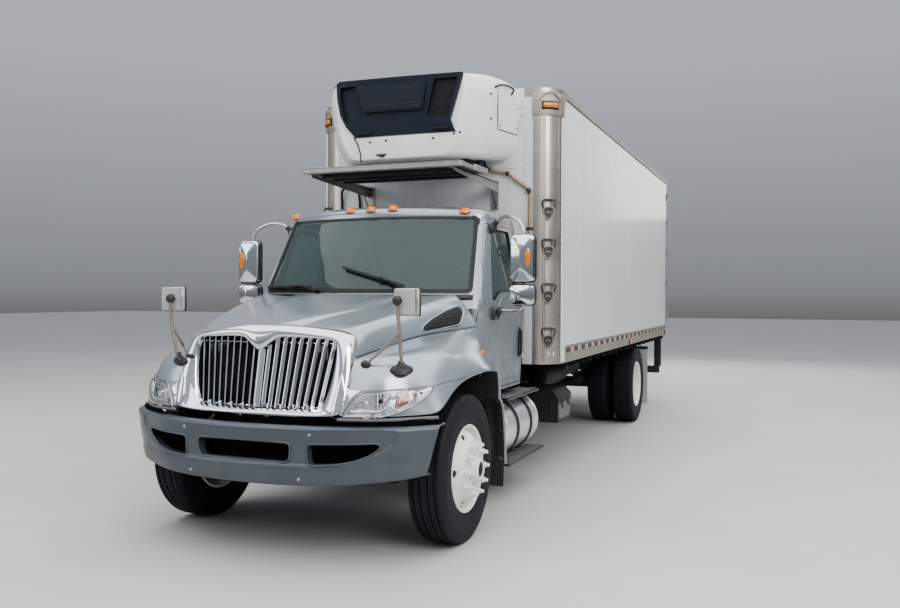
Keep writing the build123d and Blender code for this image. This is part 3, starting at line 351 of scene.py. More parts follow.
def put(name, verts, faces, mat, body="chassis", slot=None, smooth=40.0, mirror=False, bevel=0.0, sub=0, solid=0.0,
        soff=-1.0, weld=False, mats=None, fmat=None, recalc=True, bseg=2):
    """A mesh piece from points written from the front axle, shifted to the row frame, riding on a body."""
    me = bpy.data.meshes.new(name)
    me.from_pydata([(v[0], v[1] + YS, v[2]) for v in verts], [], faces)
    for m in (mats or [mat]):
        me.materials.append(M[m])
    if fmat:
        for p, k in zip(me.polygons, fmat):
            p.material_index = k
    bm = bmesh.new()
    bm.from_mesh(me)
    if weld:
        bmesh.ops.remove_doubles(bm, verts=bm.verts, dist=1e-5)
    if mirror:
        geo = list(bm.verts) + list(bm.edges) + list(bm.faces)
        d = bmesh.ops.duplicate(bm, geom=geo)
        nv = [g for g in d["geom"] if isinstance(g, bmesh.types.BMVert)]
        nf = [g for g in d["geom"] if isinstance(g, bmesh.types.BMFace)]
        for v in nv:
            v.co.x = -v.co.x
        bmesh.ops.reverse_faces(bm, faces=nf)
        bmesh.ops.remove_doubles(bm, verts=[v for v in bm.verts if abs(v.co.x) < 1e-4], dist=2e-4)
    if recalc:
        bmesh.ops.recalc_face_normals(bm, faces=bm.faces)
    bm.to_mesh(me)
    bm.free()
    ob = bpy.data.objects.new(name, me)
    COL.objects.link(ob)
    if solid:
        md = ob.modifiers.new("t", "SOLIDIFY")
        md.thickness, md.offset = solid, soff
        md.use_even_offset = True
    if bevel:
        md = ob.modifiers.new("b", "BEVEL")
        md.width, md.segments, md.limit_method, md.angle_limit = bevel, bseg, "ANGLE", math.radians(32)
        md.harden_normals = False
    if sub:
        md = ob.modifiers.new("s", "SUBSURF")
        md.levels = md.render_levels = sub
    if smooth:
        for p in me.polygons:
            p.use_smooth = True
        if not sub:
            me.set_sharp_from_angle(angle=math.radians(smooth))
    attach(ob, body)
    return ob


def settle(ob, smooth=40.0):
    """Applies the piece's modifiers, so later rays and cuts meet the real surface."""
    bpy.context.view_layer.update()
    dg = bpy.context.evaluated_depsgraph_get()
    me = bpy.data.meshes.new_from_object(ob.evaluated_get(dg))
    old = ob.data
    ob.modifiers.clear()
    ob.data = me
    bpy.data.meshes.remove(old)
    for p in me.polygons:
        p.use_smooth = True
    if smooth:
        me.set_sharp_from_angle(angle=math.radians(smooth))
    return ob


def cut(ob, cutter, op="DIFFERENCE", drop=True, solver="EXACT"):
    md = ob.modifiers.new("c", "BOOLEAN")
    md.operation, md.solver, md.object = op, solver, cutter
    settle(ob)
    if drop:
        m = cutter.data
        bpy.data.objects.remove(cutter)
        bpy.data.meshes.remove(m)
    return ob


def tool(verts, faces):
    me = bpy.data.meshes.new("tool")
    me.from_pydata([(v[0], v[1] + YS, v[2]) for v in verts], [], faces)
    bm = bmesh.new()
    bm.from_mesh(me)
    bmesh.ops.remove_doubles(bm, verts=bm.verts, dist=1e-6)
    bmesh.ops.recalc_face_normals(bm, faces=bm.faces)
    bm.to_mesh(me)
    bm.free()
    ob = bpy.data.objects.new("tool", me)
    COL.objects.link(ob)
    return ob


class Acc:
    """Collects many small shapes into one mesh."""

    def __init__(self):
        self.v, self.f, self.k = [], [], []

    def add(self, vf, k=0):
        vs, fs = vf
        n = len(self.v)
        self.v += [tuple(p) for p in vs]
        self.f += [tuple(i + n for i in f) for f in fs]
        self.k += [k] * len(fs)
        return self

    def out(self, name, mats, **kw):
        return put(name, self.v, self.f, None, mats=mats if isinstance(mats, list) else [mats], fmat=self.k, **kw)


def mx(vf, sx=-1):
    """The same shape on the other side."""
    return [(p[0] * sx, p[1], p[2]) for p in vf[0]], [tuple(reversed(f)) for f in vf[1]]


def box(x0, x1, y0, y1, z0, z1):
    v = [(x, y, z) for z in (z0, z1) for y in (y0, y1) for x in (x0, x1)]
    return v, [(0, 2, 3, 1), (4, 5, 7, 6), (0, 1, 5, 4), (2, 6, 7, 3), (1, 3, 7, 5), (0, 4, 6, 2)]


def rbox(x0, x1, y0, y1, z0, z1, r=0.004):
    """Box with chamfered edges, so it never reads as a bare cube."""
    r = min(r, (x1 - x0) / 2.2, (y1 - y0) / 2.2, (z1 - z0) / 2.2)
    v, f = [], []
    xs, ys, zs = (x0, x1), (y0, y1), (z0, z1)
    idx = {}
    for i in (0, 1):
        for j in (0, 1):
            for k in (0, 1):
                p = Vector((xs[i], ys[j], zs[k]))
                s = Vector((1 if i == 0 else -1, 1 if j == 0 else -1, 1 if k == 0 else -1))
                for a in range(3):
                    q = p.copy()
                    for b2 in range(3):
                        if b2 != a:
                            q[b2] += s[b2] * r
                    idx[(i, j, k, a)] = len(v)
                    v.append(tuple(q))
    I = idx
    for a in range(3):
        o1, o2 = [b2 for b2 in range(3) if b2 != a]
        for s in (0, 1):
            q = []
            for (u, w) in ((0, 0), (1, 0), (1, 1), (0, 1)):
                t = [0, 0, 0]
                t[a], t[o1], t[o2] = s, u, w
                q.append(I[(t[0], t[1], t[2], a)])
            f.append(tuple(q))
    for a in range(3):
        o1, o2 = [b2 for b2 in range(3) if b2 != a]
        for u in (0, 1):
            for w in (0, 1):
                lo, hi = [0, 0, 0], [0, 0, 0]
                lo[o1] = hi[o1] = u
                lo[o2] = hi[o2] = w
                lo[a], hi[a] = 0, 1
                f.append((I[(lo[0], lo[1], lo[2], o1)], I[(hi[0], hi[1], hi[2], o1)],
                          I[(hi[0], hi[1], hi[2], o2)], I[(lo[0], lo[1], lo[2], o2)]))
    for i in (0, 1):
        for j in (0, 1):
            for k in (0, 1):
                f.append((I[(i, j, k, 0)], I[(i, j, k, 1)], I[(i, j, k, 2)]))
    return v, f


def prism(poly, fn0, fn1):
    """A closed prism between two maps of the same outline."""
    n = len(poly)
    v = [tuple(fn0(p)) for p in poly] + [tuple(fn1(p)) for p in poly]
    f = [tuple(range(n))[::-1], tuple(range(n, 2 * n))]
    f += [(i, (i + 1) % n, n + (i + 1) % n, n + i) for i in range(n)]
    return v, f


def loft(rows, closed=False, caps=False):
    """Quads between rows of points; closed joins each row's ends."""
    n = len(rows[0])
    v = [tuple(p) for r in rows for p in r]
    f = []
    for i in range(len(rows) - 1):
        for j in range(n if closed else n - 1):
            a, b2 = i * n + j, i * n + (j + 1) % n
            f.append((a, b2, b2 + n, a + n))
    if caps:
        f.append(tuple(range(n))[::-1])
        f.append(tuple(range((len(rows) - 1) * n, len(rows) * n)))
    return v, f


def spin(profile, centre, axis=(1, 0, 0), seg=48, closed=False, a0=0.0, a1=2 * math.pi):
    """Turns a profile of (along axis, radius) about an axis."""
    ax = Vector(axis).normalized()
    ref = Vector((0, 0, 1)) if abs(ax.z) < 0.9 else Vector((0, 1, 0))
    e1 = (ref - ax * ref.dot(ax)).normalized()
    e2 = ax.cross(e1)
    c = Vector(centre)
    full = abs(a1 - a0 - 2 * math.pi) < 1e-6
    rows = []
    n = seg if full else seg + 1
    for i in range(n):
        t = a0 + (a1 - a0) * i / seg
        d = e1 * math.cos(t) + e2 * math.sin(t)
        rows.append([c + ax * p[0] + d * p[1] for p in profile])
    m = len(profile)
    v = [tuple(p) for r in rows for p in r]
    f = []
    for i in range(n if full else n - 1):
        for j in range(m if closed else m - 1):
            a, b2 = i * m + j, i * m + (j + 1) % m
            c2, d2 = ((i + 1) % n) * m + (j + 1) % m, ((i + 1) % n) * m + j
            f.append((a, b2, c2, d2))
    return v, f


def cyl(p0, p1, r, seg=20, r1=None, bev=0.0):
    """A turned pin with chamfered ends."""
    p0, p1 = Vector(p0), Vector(p1)
    L = (p1 - p0).length
    r1 = r if r1 is None else r1
    b2 = min(bev or min(r, r1) * 0.18, L * 0.3)
    prof = [(0, 1e-5), (0, r - b2), (b2, r), (L - b2, r1), (L, r1 - b2), (L, 1e-5)]
    return spin(prof, p0, (p1 - p0), seg)


def smooth_path(pts, n=8):
    """Points on a Catmull-Rom line through pts."""
    P = [Vector(p) for p in pts]
    P = [P[0] * 2 - P[1]] + P + [P[-1] * 2 - P[-2]]
    out = []
    for i in range(1, len(P) - 2):
        for k in range(n):
            t = k / n
            out.append(0.5 * ((2 * P[i]) + (-P[i - 1] + P[i + 1]) * t + (2 * P[i - 1] - 5 * P[i] + 4 * P[i + 1] - P[i + 2]) * t * t
                              + (-P[i - 1] + 3 * P[i] - 3 * P[i + 1] + P[i + 2]) * t ** 3))
    out.append(P[-2])
    return out


def sweep(path, section, up=(0, 0, 1), closed=False, caps=True, scale=None):
    """Sweeps a closed section of (side, up) points along a path."""
    P = [Vector(p) for p in path]
    n = len(P)
    rows = []
    upv = Vector(up)
    for i, p in enumerate(P):
        if closed:
            t = P[(i + 1) % n] - P[i - 1]
        else:
            t = P[min(i + 1, n - 1)] - P[max(i - 1, 0)]
        t.normalize()
        s = t.cross(upv)
        if s.length < 1e-6:
            s = t.cross(Vector((1, 0, 0)))
        s.normalize()
        w = s.cross(t)
        k = scale(i / (n - 1)) if scale else 1.0
        rows.append([p + s * (a * k) + w * (b2 * k) for a, b2 in section])
    v = [tuple(q) for r in rows for q in r]
    m = len(section)
    f = []
    for i in range(n if closed else n - 1):
        for j in range(m):
            a, b2 = i * m + j, i * m + (j + 1) % m
            c2, d2 = ((i + 1) % n) * m + (j + 1) % m, ((i + 1) % n) * m + j
            f.append((a, b2, c2, d2))
    if caps and not closed:
        f.append(tuple(range(m)))
        f.append(tuple(range((n - 1) * m, n * m))[::-1])
    return v, f


def ring(r, seg=14):
    return [(r * math.cos(2 * math.pi * i / seg), r * math.sin(2 * math.pi * i / seg)) for i in range(seg)]


def tube(pts, r, seg=14, n=8, closed=False, up=(0, 0, 1), scale=None):
    """A round tube through points, in parallel-transported frames."""
    P = [Vector(p) for p in (smooth_path(pts, n) if n else pts)]
    t0 = (P[1] - P[0]).normalized()
    u = Vector(up)
    s = t0.cross(u)
    if s.length < 1e-3:
        s = t0.cross(Vector((1, 0, 0)))
    s.normalize()
    rows = []
    for i, p in enumerate(P):
        t = (P[min(i + 1, len(P) - 1)] - P[max(i - 1, 0)]).normalized()
        s = (s - t * s.dot(t)).normalized()
        w = t.cross(s)
        k = scale(i / (len(P) - 1)) if scale else 1.0
        rows.append([p + s * (r * k * math.cos(2 * math.pi * j / seg)) + w * (r * k * math.sin(2 * math.pi * j / seg)) for j in range(seg)])
    return loft(rows, closed=True, caps=True)


def lerp(a, b2, t):
    return a + (b2 - a) * t


def table(rows, y):
    """Smooth reading of a table whose first column is the place."""
    if y <= rows[0][0]:
        return rows[0][1:]
    if y >= rows[-1][0]:
        return rows[-1][1:]
    for i in range(len(rows) - 1):
        if rows[i][0] <= y <= rows[i + 1][0]:
            a, b2 = rows[i], rows[i + 1]
            h = b2[0] - a[0]
            t = (y - a[0]) / h
            am = rows[i - 1] if i > 0 else a
            bp = rows[i + 2] if i + 2 < len(rows) else b2
            out = []
            for k in range(1, len(a)):
                m0 = (b2[k] - am[k]) / (b2[0] - am[0]) * h
                m1 = (bp[k] - a[k]) / (bp[0] - a[0]) * h
                t2, t3 = t * t, t * t * t
                out.append((2 * t3 - 3 * t2 + 1) * a[k] + (t3 - 2 * t2 + t) * m0 + (-2 * t3 + 3 * t2) * b2[k] + (t3 - t2) * m1)
            return out


def ray(px, py):
    """Direction of the line of sight through a place of the 900 x 608 picture."""
    return (F + RR * ((px - 450.0) / FPX) - UU * ((py - 304.0) / FPX)).normalized()


def tree_of(*objs):
    bpy.context.view_layer.update()
    dg = bpy.context.evaluated_depsgraph_get()
    vs, fs = [], []
    for o in objs:
        e = o.evaluated_get(dg)
        me = e.to_mesh()
        n = len(vs)
        vs += [e.matrix_world @ v.co for v in me.vertices]
        fs += [tuple(i + n for i in p.vertices) for p in me.polygons]
        e.to_mesh_clear()
    return BVHTree.FromPolygons(vs, fs)


def hit(tree, px, py, off=0.0):
    """The point of a surface seen at a place of the picture, lifted off it, in front-axle metres."""
    loc, nor, idx, dist = tree.ray_cast(CAM, ray(px, py))
    if loc is None:
        return None
    if nor.dot(CAM - loc) < 0:
        nor = -nor
    q = loc + nor * off
    return Vector((q.x, q.y - YS, q.z))


# ------------------------------------------------------------------ floor and light
def floor():
    v, f = box(-60, 60, -60, 60, -0.3, 0.0)
    me = bpy.data.meshes.new("floor")
    me.from_pydata(v, [], f)
    m, nt, b = mat_base("floor_pale")
    vv = coords(nt)
    c = ramp(nt, noise(nt, vv, 0.6, 6.0, 0.6), [(0.3, (0.50, 0.49, 0.47)), (0.7, (0.56, 0.55, 0.53))])
    nt.links.new(c, b.inputs["Base Color"])
    nt.links.new(ramp(nt, noise(nt, vv, 9.0, 6.0), [(0.3, 0.72), (0.7, 0.88)]), b.inputs["Roughness"])
    bump(nt, b, noise(nt, vv, 120.0, 4.0), 0.15, 0.002)
    me.materials.append(m)
    ob = bpy.data.objects.new("floor", me)
    COL.objects.link(ob)


floor()
w = bpy.data.worlds.new("w")
SC.world = w
w.use_nodes = True
wn = w.node_tree
bg = [n for n in wn.nodes if n.type == "BACKGROUND"][0] if any(n.type == "BACKGROUND" for n in wn.nodes) else None
if bg is None:
    bg = wn.nodes.new("ShaderNodeBackground")
    wo = wn.nodes.new("ShaderNodeOutputWorld")
    wn.links.new(bg.outputs[0], wo.inputs[0])
tc = wn.nodes.new("ShaderNodeTexCoord")
sp = wn.nodes.new("ShaderNodeSeparateXYZ")
wn.links.new(tc.outputs["Generated"], sp.inputs[0])
cr = wn.nodes.new("ShaderNodeValToRGB")
el = cr.color_ramp.elements
while len(el) < 5:
    el.new(0.5)
for e, (p, c) in zip(el, [(0.0, (0.20, 0.19, 0.18)), (0.488, (0.24, 0.235, 0.23)), (0.505, (0.34, 0.36, 0.39)),
                          (0.62, (0.62, 0.66, 0.72)), (1.0, (0.86, 0.92, 1.0))]):
    e.position = p
    e.color = (c[0], c[1], c[2], 1)
mr = wn.nodes.new("ShaderNodeMapRange")
mr.inputs["From Min"].default_value = -1.0
mr.inputs["From Max"].default_value = 1.0
wn.links.new(sp.outputs["Z"], mr.inputs["Value"])
wn.links.new(mr.outputs["Result"], cr.inputs["Fac"])
wn.links.new(cr.outputs["Color"], bg.inputs["Color"])
bg.inputs["Strength"].default_value = 0.62


def area(name, loc, target, size, power, col=(1, 1, 1)):
    ld = bpy.data.lights.new(name, "AREA")
    ld.shape, ld.size, ld.size_y = "RECTANGLE", size[0], size[1]
    ld.energy, ld.color = power, col
    ob = bpy.data.objects.new(name, ld)
    COL.objects.link(ob)
    ob.location = Vector((loc[0], loc[1] + YS, loc[2]))
    d = Vector((target[0], target[1] + YS, target[2])) - ob.location
    ob.rotation_euler = d.to_track_quat("-Z", "Y").to_euler()
    return ob


area("top", (1.5, 1.0, 9.5), (0, 2.5, 1.0), (22, 18), 1750, (1.0, 0.99, 0.97))
area("key", (9.0, -6.0, 7.0), (0.5, 1.0, 1.4), (7, 5), 560, (1.0, 0.985, 0.96))
area("fill", (-8.5, -6.5, 5.0), (-0.4, 0.5, 1.4), (6, 5), 150, (0.93, 0.96, 1.0))
area("rear", (0.0, 17.0, 6.0), (0, 8, 1.8), (8, 5), 350, (1.0, 1.0, 1.0))
SC.view_settings.view_transform = "AgX"
SC.view_settings.look = "AgX - Medium High Contrast"
SC.view_settings.exposure = 0.10

# ==== PARTS ====
# ------------------------------------------------------------------ hood and fenders
H_ZC = [(-0.64, 1.494), (-0.60, 1.502), (-0.42, 1.540), (-0.2, 1.584), (0.0, 1.622), (0.25, 1.668), (0.5, 1.709), (0.72, 1.740)]
H_DW = [(-0.64, 0.070), (-0.60, 0.085), (-0.3, 0.24), (0.0, 0.375), (0.2, 0.425), (0.5, 0.465), (0.72, 0.48)]
H_XS = [(-0.64, 0.535), (-0.485, 0.578), (-0.42, 0.600), (0.0, 0.715), (0.23, 0.772), (0.48, 0.818), (0.72, 0.852)]
H_ZS = [(-0.64, 1.440), (-0.485, 1.474), (-0.42, 1.500), (0.0, 1.592), (0.23, 1.637), (0.48, 1.684), (0.72, 1.722)]
H_XC = [(-0.60, 0.612), (-0.585, 0.617), (-0.27, 0.702), (0.04, 0.803), (0.35, 0.897), (0.68, 1.000), (0.72, 1.006)]
H_ZR = [(-0.60, 1.288), (-0.585, 1.290), (-0.27, 1.352), (0.04, 1.412), (0.35, 1.440), (0.68, 1.462), (0.72, 1.464)]


def hood_line(k, y):
    """Point of hood line k (0 centre ... 12 crease) at station y."""
    zc, dw = table(H_ZC, y)[0], table(H_DW, y)[0]
    xs, zs = table(H_XS, y)[0], table(H_ZS, y)[0]
    xc, zr = table(H_XC, y)[0], table(H_ZR, y)[0]
    val = min(zc - 0.030, zs + 0.006)
    pts = [(0, zc), (dw * 0.5, zc - 0.002), (dw * 0.86, zc - 0.006), (dw, zc - 0.012), (dw + 0.022, val + 0.004),
           (dw + 0.05, val), (lerp(dw + 0.05, xs - 0.075, 0.5), lerp(val, zs - 0.004, 0.45)), (xs - 0.060, zs - 0.004),
           (xs - 0.012, zs - 0.001), (xs + 0.020, zs - 0.026), (lerp(xs, xc, 0.34) + 0.018, lerp(zs, zr, 0.34)),
           (lerp(xs, xc, 0.72) + 0.014, lerp(zs, zr, 0.72)), (xc + 0.004, zr + 0.004)]
    return pts[k]


rows = []
NS = 18
FY = [-0.605, -0.604, -0.602, -0.600, -0.597, -0.592, -0.560, -0.515, -0.492, -0.492, -0.520, -0.552, -0.583]
RY = [0.488, 0.500, 0.520, 0.530, 0.540, 0.550, 0.580, 0.628, 0.648, 0.655, 0.672, 0.690, 0.704]
for i in range(NS + 1):
    t = i / NS
    r = []
    for k in range(13):
        y = lerp(FY[k], RY[k], t)
        x, z = hood_line(k, y)
        if i == 0:
            z -= 0.010
        r.append((x, y, z))
    rows.append(r)
# the front edge turns down behind the chrome
turn = [(x, y + 0.014, z - 0.035) for x, y, z in rows[0]]
tail = [(x * 0.999, y + 0.004, z - 0.030) for x, y, z in rows[-1]]
rows = [turn, [(x, y - 0.002, z - 0.006) for x, y, z in rows[0]]] + rows + [tail]
low = [[(r[-1][0] - 0.004, r[-1][1], r[-1][2] - 0.012)] for r in rows]
rows = [r + l for r, l in zip(rows, low)]
hood_top = put("hood_top", *loft(rows), "silver", "hood_body", "silver_paint", mirror=True, sub=2, solid=0.005, soff=-1)

FC = [
    [(.612, -.590, 1.286), (.62, -.607, 1.255), (.630, -.624, 1.215), (.637, -.642, 1.17), (.641, -.660, 1.13), (.641, -.682, 1.09), (.638, -.702, 1.04), (.630, -.717, .99), (.617, -.730, .948)],
    [(.625, -.530, 1.298), (.675, -.556, 1.288), (.712, -.583, 1.262), (.733, -.610, 1.215), (.741, -.633, 1.16), (.743, -.655, 1.10), (.741, -.675, 1.04), (.737, -.690, .99), (.727, -.702, .948)],
    [(.645, -.440, 1.315), (.733, -.476, 1.310), (.797, -.518, 1.288), (.835, -.558, 1.24), (.852, -.588, 1.18), (.858, -.612, 1.11), (.862, -.630, 1.04), (.862, -.642, .99), (.857, -.652, .949)],
    [(.670, -.350, 1.333), (.785, -.378, 1.332), (.868, -.425, 1.312), (.920, -.470, 1.268), (.946, -.505, 1.20), (.960, -.532, 1.12), (.970, -.552, 1.04), (.973, -.562, .99), (.971, -.571, .950)],
    [(.700, -.270, 1.352), (.828, -.280, 1.350), (.922, -.302, 1.328), (.988, -.337, 1.285), (1.030, -.374, 1.21), (1.052, -.405, 1.12), (1.068, -.432, 1.04), (1.075, -.447, .99), (1.078, -.456, .951)],
    [(.730, -.180, 1.370), (.858, -.177, 1.366), (.955, -.185, 1.343), (1.030, -.205, 1.298), (1.083, -.232, 1.225), (1.115, -.268, 1.13), (1.133, -.310, 1.05), (1.143, -.345, .995), (1.150, -.378, .954)],
    [(.765, -.075, 1.391), (.885, -.070, 1.379), (.977, -.072, 1.352), (1.050, -.080, 1.305), (1.103, -.095, 1.238), (1.130, -.125, 1.17), (1.143, -.165, 1.115), (1.149, -.205, 1.077), (1.151, -.235, 1.048)],
    [(.803, .040, 1.412), (.905, .045, 1.392), (.987, .045, 1.360), (1.060, .040, 1.309), (1.110, .028, 1.250), (1.135, .005, 1.20), (1.147, -.015, 1.162), (1.151, -.032, 1.138), (1.153, -.045, 1.117)],
    [(.860, .225, 1.428), (.930, .225, 1.407), (.997, .225, 1.373), (1.061, .222, 1.322), (1.108, .215, 1.265), (1.135, .208, 1.215), (1.148, .200, 1.180), (1.153, .190, 1.160), (1.156, .182, 1.144)],
    [(.927, .450, 1.446), (.965, .450, 1.424), (1.007, .450, 1.385), (1.052, .450, 1.330), (1.096, .450, 1.265), (1.125, .450, 1.212), (1.142, .450, 1.182), (1.151, .450, 1.164), (1.155, .450, 1.150)],
    [(.968, .580, 1.455), (.986, .580, 1.428), (1.010, .580, 1.385), (1.039, .580, 1.325), (1.075, .580, 1.258), (1.104, .580, 1.205), (1.125, .580, 1.177), (1.138, .580, 1.161), (1.144, .580, 1.150)],
    [(1.000, .690, 1.462), (1.003, .692, 1.430), (1.009, .694, 1.388), (1.022, .698, 1.328), (1.047, .700, 1.262), (1.073, .702, 1.208), (1.096, .702, 1.176), (1.110, .702, 1.161), (1.120, .702, 1.150)],
]
rows = []
for c in FC:
    top = (c[0][0] - 0.012, c[0][1] + 0.006, c[0][2] + 0.003)
    a, b2 = Vector(c[-1]), Vector(c[-2])
    d = (a - b2).normalized()
    lip1 = (a.x - 0.004, a.y + d.y * 0.004, a.z + d.z * 0.004)
    lip2 = (a.x - 0.034, a.y + 0.010, a.z + 0.004)
    rows.append([top] + c + [lip1, lip2])
fen = put("fenders", *loft(rows), "silver", "hood_body", "silver_paint", mirror=True, sub=2, solid=0.006, soff=-1)

# splash liner inside each arch
arch = [(-.400, .950), (-.335, 1.000), (-.235, 1.058), (-.045, 1.128), (.182, 1.155), (.450, 1.160), (.620, 1.160), (.700, 1.150)]
rows = []
for x, dz in ((1.140, 0.0), (1.02, 0.035), (.90, .055), (.78, .060), (.66, .045)):
    rows.append([(x, y * 1.0 + (0.02 if y < -.3 else 0), z + dz * (1 if y < .3 else .6)) for y, z in arch])
put("arch_liner", *loft(rows), "plastic", "hood_body", "dark_plastic", mirror=True, sub=1, solid=0.005)

# ------------------------------------------------------------------ chrome surround
IN = [(0, 1.334), (.032, 1.346), (.085, 1.388), (.122, 1.415), (.150, 1.4215), (.26, 1.422), (.36, 1.417), (.45, 1.412), (.500, 1.407), (.524, 1.388), (.531, 1.350), (.531, 1.28), (.522, 1.19), (.506, 1.10), (.486, 1.03), (.470, .992), (.450, .974), (.42, .968), (.33, .966), (.18, .964), (0, .964)]
OU = [(0, 1.508, -.603), (.040, 1.508, -.603), (.090, 1.507, -.602), (.128, 1.506, -.600), (.175, 1.504, -.596), (.26, 1.499, -.583), (.36, 1.490, -.562), (.45, 1.480, -.538), (.530, 1.468, -.512), (.585, 1.452, -.498), (.622, 1.420, -.515), (.640, 1.34, -.560), (.646, 1.23, -.612), (.645, 1.12, -.655), (.640, 1.04, -.690), (.634, .985, -.712), (.618, .950, -.725), (.50, .936, -.735), (.36, .930, -.742), (.18, .928, -.748), (0, .928, -.750)]


def gy(x, z):
    """Front face of the grille area: leaning back with height and curved in plan."""
    return -0.748 + (z - 0.965) * 0.19 + 0.235 * x * x


rows = []
for (xi, zi), (xo, zo, yo) in zip(IN, OU):
    yi = gy(xi, zi)
    r = []
    r.append((xo - 0.004, yo + 0.03, zo - 0.010 if zo > 1.44 else zo))
    r.append((xo, yo, zo))
    yf1 = lerp(yo, yi, 0.55) - 0.020
    r.append((lerp(xo, xi, 0.10), lerp(yo, yf1, 0.55) - 0.006, lerp(zo, zi, 0.08)))
    r.append((lerp(xo, xi, 0.34), yf1 - 0.010, lerp(zo, zi, 0.34)))
    r.append((lerp(xo, xi, 0.66), lerp(yf1, yi, 0.6) - 0.018, lerp(zo, zi, 0.66)))
    r.append((lerp(xo, xi, 0.92), yi - 0.010, lerp(zo, zi, 0.92)))
    r.append((xi, yi, zi))
    cx, cz = xi * 0.985, zi + (0.006 if zi < 1.1 else -0.004)
    r.append((cx, yi + 0.016, cz))
    r.append((cx * 0.995, yi + 0.052, cz))
    rows.append(r)
sur = put("surround_chrome", *loft(rows), "chrome", "hood_body", "bright_chrome", mirror=True, sub=2, solid=0.004, soff=-1)

# points for a dark slot on the outer face of the chrome; nothing is built from them
sl = [(.628, -.545, 1.345), (.640, -.575, 1.300), (.6415, -.610, 1.225), (.640, -.640, 1.150), (.636, -.660, 1.105)]

# ------------------------------------------------------------------ grille
def bar_path(x0, zt, n=9):
    wt, wb = 0.527, 0.462
    out = []
    for i in range(n):
        z = lerp(zt, 0.975, i / (n - 1))
        k = lerp(wb, wt, (z - 0.975) / 0.43)
        x = x0 / wt * k
        out.append(Vector((x, gy(x, z) + 0.026, z)))
    return out


def top_of(x):
    x = abs(x)
    for (a, za), (b2, zb) in zip(IN[:11], IN[1:11]):
        if a <= x <= b2:
            return lerp(za, zb, (x - a) / max(b2 - a, 1e-6)) + 0.012
    return 1.392


A = Acc()
PITCHX = 0.0555
for i in range(-9, 10):
    x0 = i * PITCHX
    p = bar_path(x0, top_of(x0))
    s = 1 if i >= 0 else -1
    if i == 0:
        sec = [(-.031, .016), (-.026, .002), (-.011, -.010), (0, -.013), (.011, -.010), (.026, .002), (.031, .016), (.026, .032), (-.026, .032)]
    else:
        sec = [(-.0055, -.002), (-.0025, -.008), (.0025, -.009), (.0062, -.004), (.0085, .002), (.0100, .0030), (.0128, .010), (.0142, .0112), (.0150, .018), (.0110, .020), (-.004, .020)]
        sec = [(a * s, b2) for a, b2 in sec]
        if s < 0:
            sec = sec[::-1]
    rows = []
    for q in p:
        rows.append([(q.x + a, q.y + b2, q.z) for a, b2 in sec])
    A.add(loft(rows, closed=True, caps=True))
# frame rail and clips at the foot
for z, r in ((0.980, 0.006), (1.385, 0.005)):
    pts = [(x, gy(x, z) + 0.056, z) for x in [(-.46 + .92 * i / 16) * (1 if z < 1.1 else 1.1) for i in range(17)]]
    A.add(tube(pts, r, 8, 2))
for i in range(-8, 9, 2):
    x = i * 0.0525 * 0.88
    A.add(rbox(x - .006, x + .006, gy(x, .99) + .012, gy(x, .99) + .05, .972, 1.000, .002))
A.out("grille_bars", ["chrome"], body="hood_body", slot="bright_chrome", bevel=0.0, smooth=38)
# dark screen behind the bars
A = Acc()
n = 22
rows = [[(-.50 + 1.0 * j / n, gy(-.50 + 1.0 * j / n, z) + 0.085, z) for j in range(n + 1)] for z in (.955, 1.08, 1.2, 1.32, 1.43)]
A.add(loft(rows))
g1 = A.out("grille_screen", ["seal"], body="hood_body", slot="dark_plastic", solid=0.006)
A = Acc()
for k in range(26):
    z = .975 + k * .0168
    pts = [(x, gy(x, z) + 0.078, z) for x in [-.48 + .96 * i / 12 for i in range(13)]]
    A.add(loft([[(p[0], p[1], p[2] - .0012) for p in pts], [(p[0], p[1] - .003, p[2]) for p in pts], [(p[0], p[1], p[2] + .0012) for p in pts]]))
for k in range(-24, 25):
    x = k * .0195
    A.add(loft([[(x - .001, gy(x, z) + .078, z) for z in (.96, 1.2, 1.42)], [(x, gy(x, z) + .0745, z) for z in (.96, 1.2, 1.42)], [(x + .001, gy(x, z) + .078, z) for z in (.96, 1.2, 1.42)]]))
A.out("grille_mesh", ["plastic"], body="hood_body", slot="dark_plastic")
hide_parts("hood")
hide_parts("hood")
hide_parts("grille_surround")
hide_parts("grille")

# ------------------------------------------------------------------ bumper
BT = [(0, -.900), (.25, -.886), (.50, -.848), (.70, -.790), (.893, -.690), (.98, -.640), (1.045, -.590), (1.115, -.525), (1.168, -.474)]


def by(x):
    return table(BT, abs(x))[0]


REC = [(-.94, .78), (-.87, .728), (-.79, .692), (-.7, .668), (-.5, .653), (0, .649), (.5, .653), (.7, .668), (.79, .692), (.87, .728), (.94, .78), (.968, .825), (.955, .862), (.90, .872), (0, .868), (-.90, .872), (-.955, .862), (-.968, .825)]


def sdist(poly, x, z):
    """Signed distance to a polygon, negative inside."""
    d, inside = 1e9, False
    n = len(poly)
    for i in range(n):
        x0, z0 = poly[i]
        x1, z1 = poly[(i + 1) % n]
        ex, ez = x1 - x0, z1 - z0
        t = max(0, min(1, ((x - x0) * ex + (z - z0) * ez) / (ex * ex + ez * ez)))
        d = min(d, math.hypot(x - x0 - t * ex, z - z0 - t * ez))
        if (z0 > z) != (z1 > z) and x < (x1 - x0) * (z - z0) / (z1 - z0) + x0:
            inside = not inside
    return -d if inside else d


def sstep(a, b2, t):
    t = max(0.0, min(1.0, (t - a) / (b2 - a)))
    return t * t * (3 - 2 * t)


def bzb(x):
    return table([(0, .520), (.5, .525), (.85, .545), (1.0, .560), (1.09, .575)], abs(x))[0]


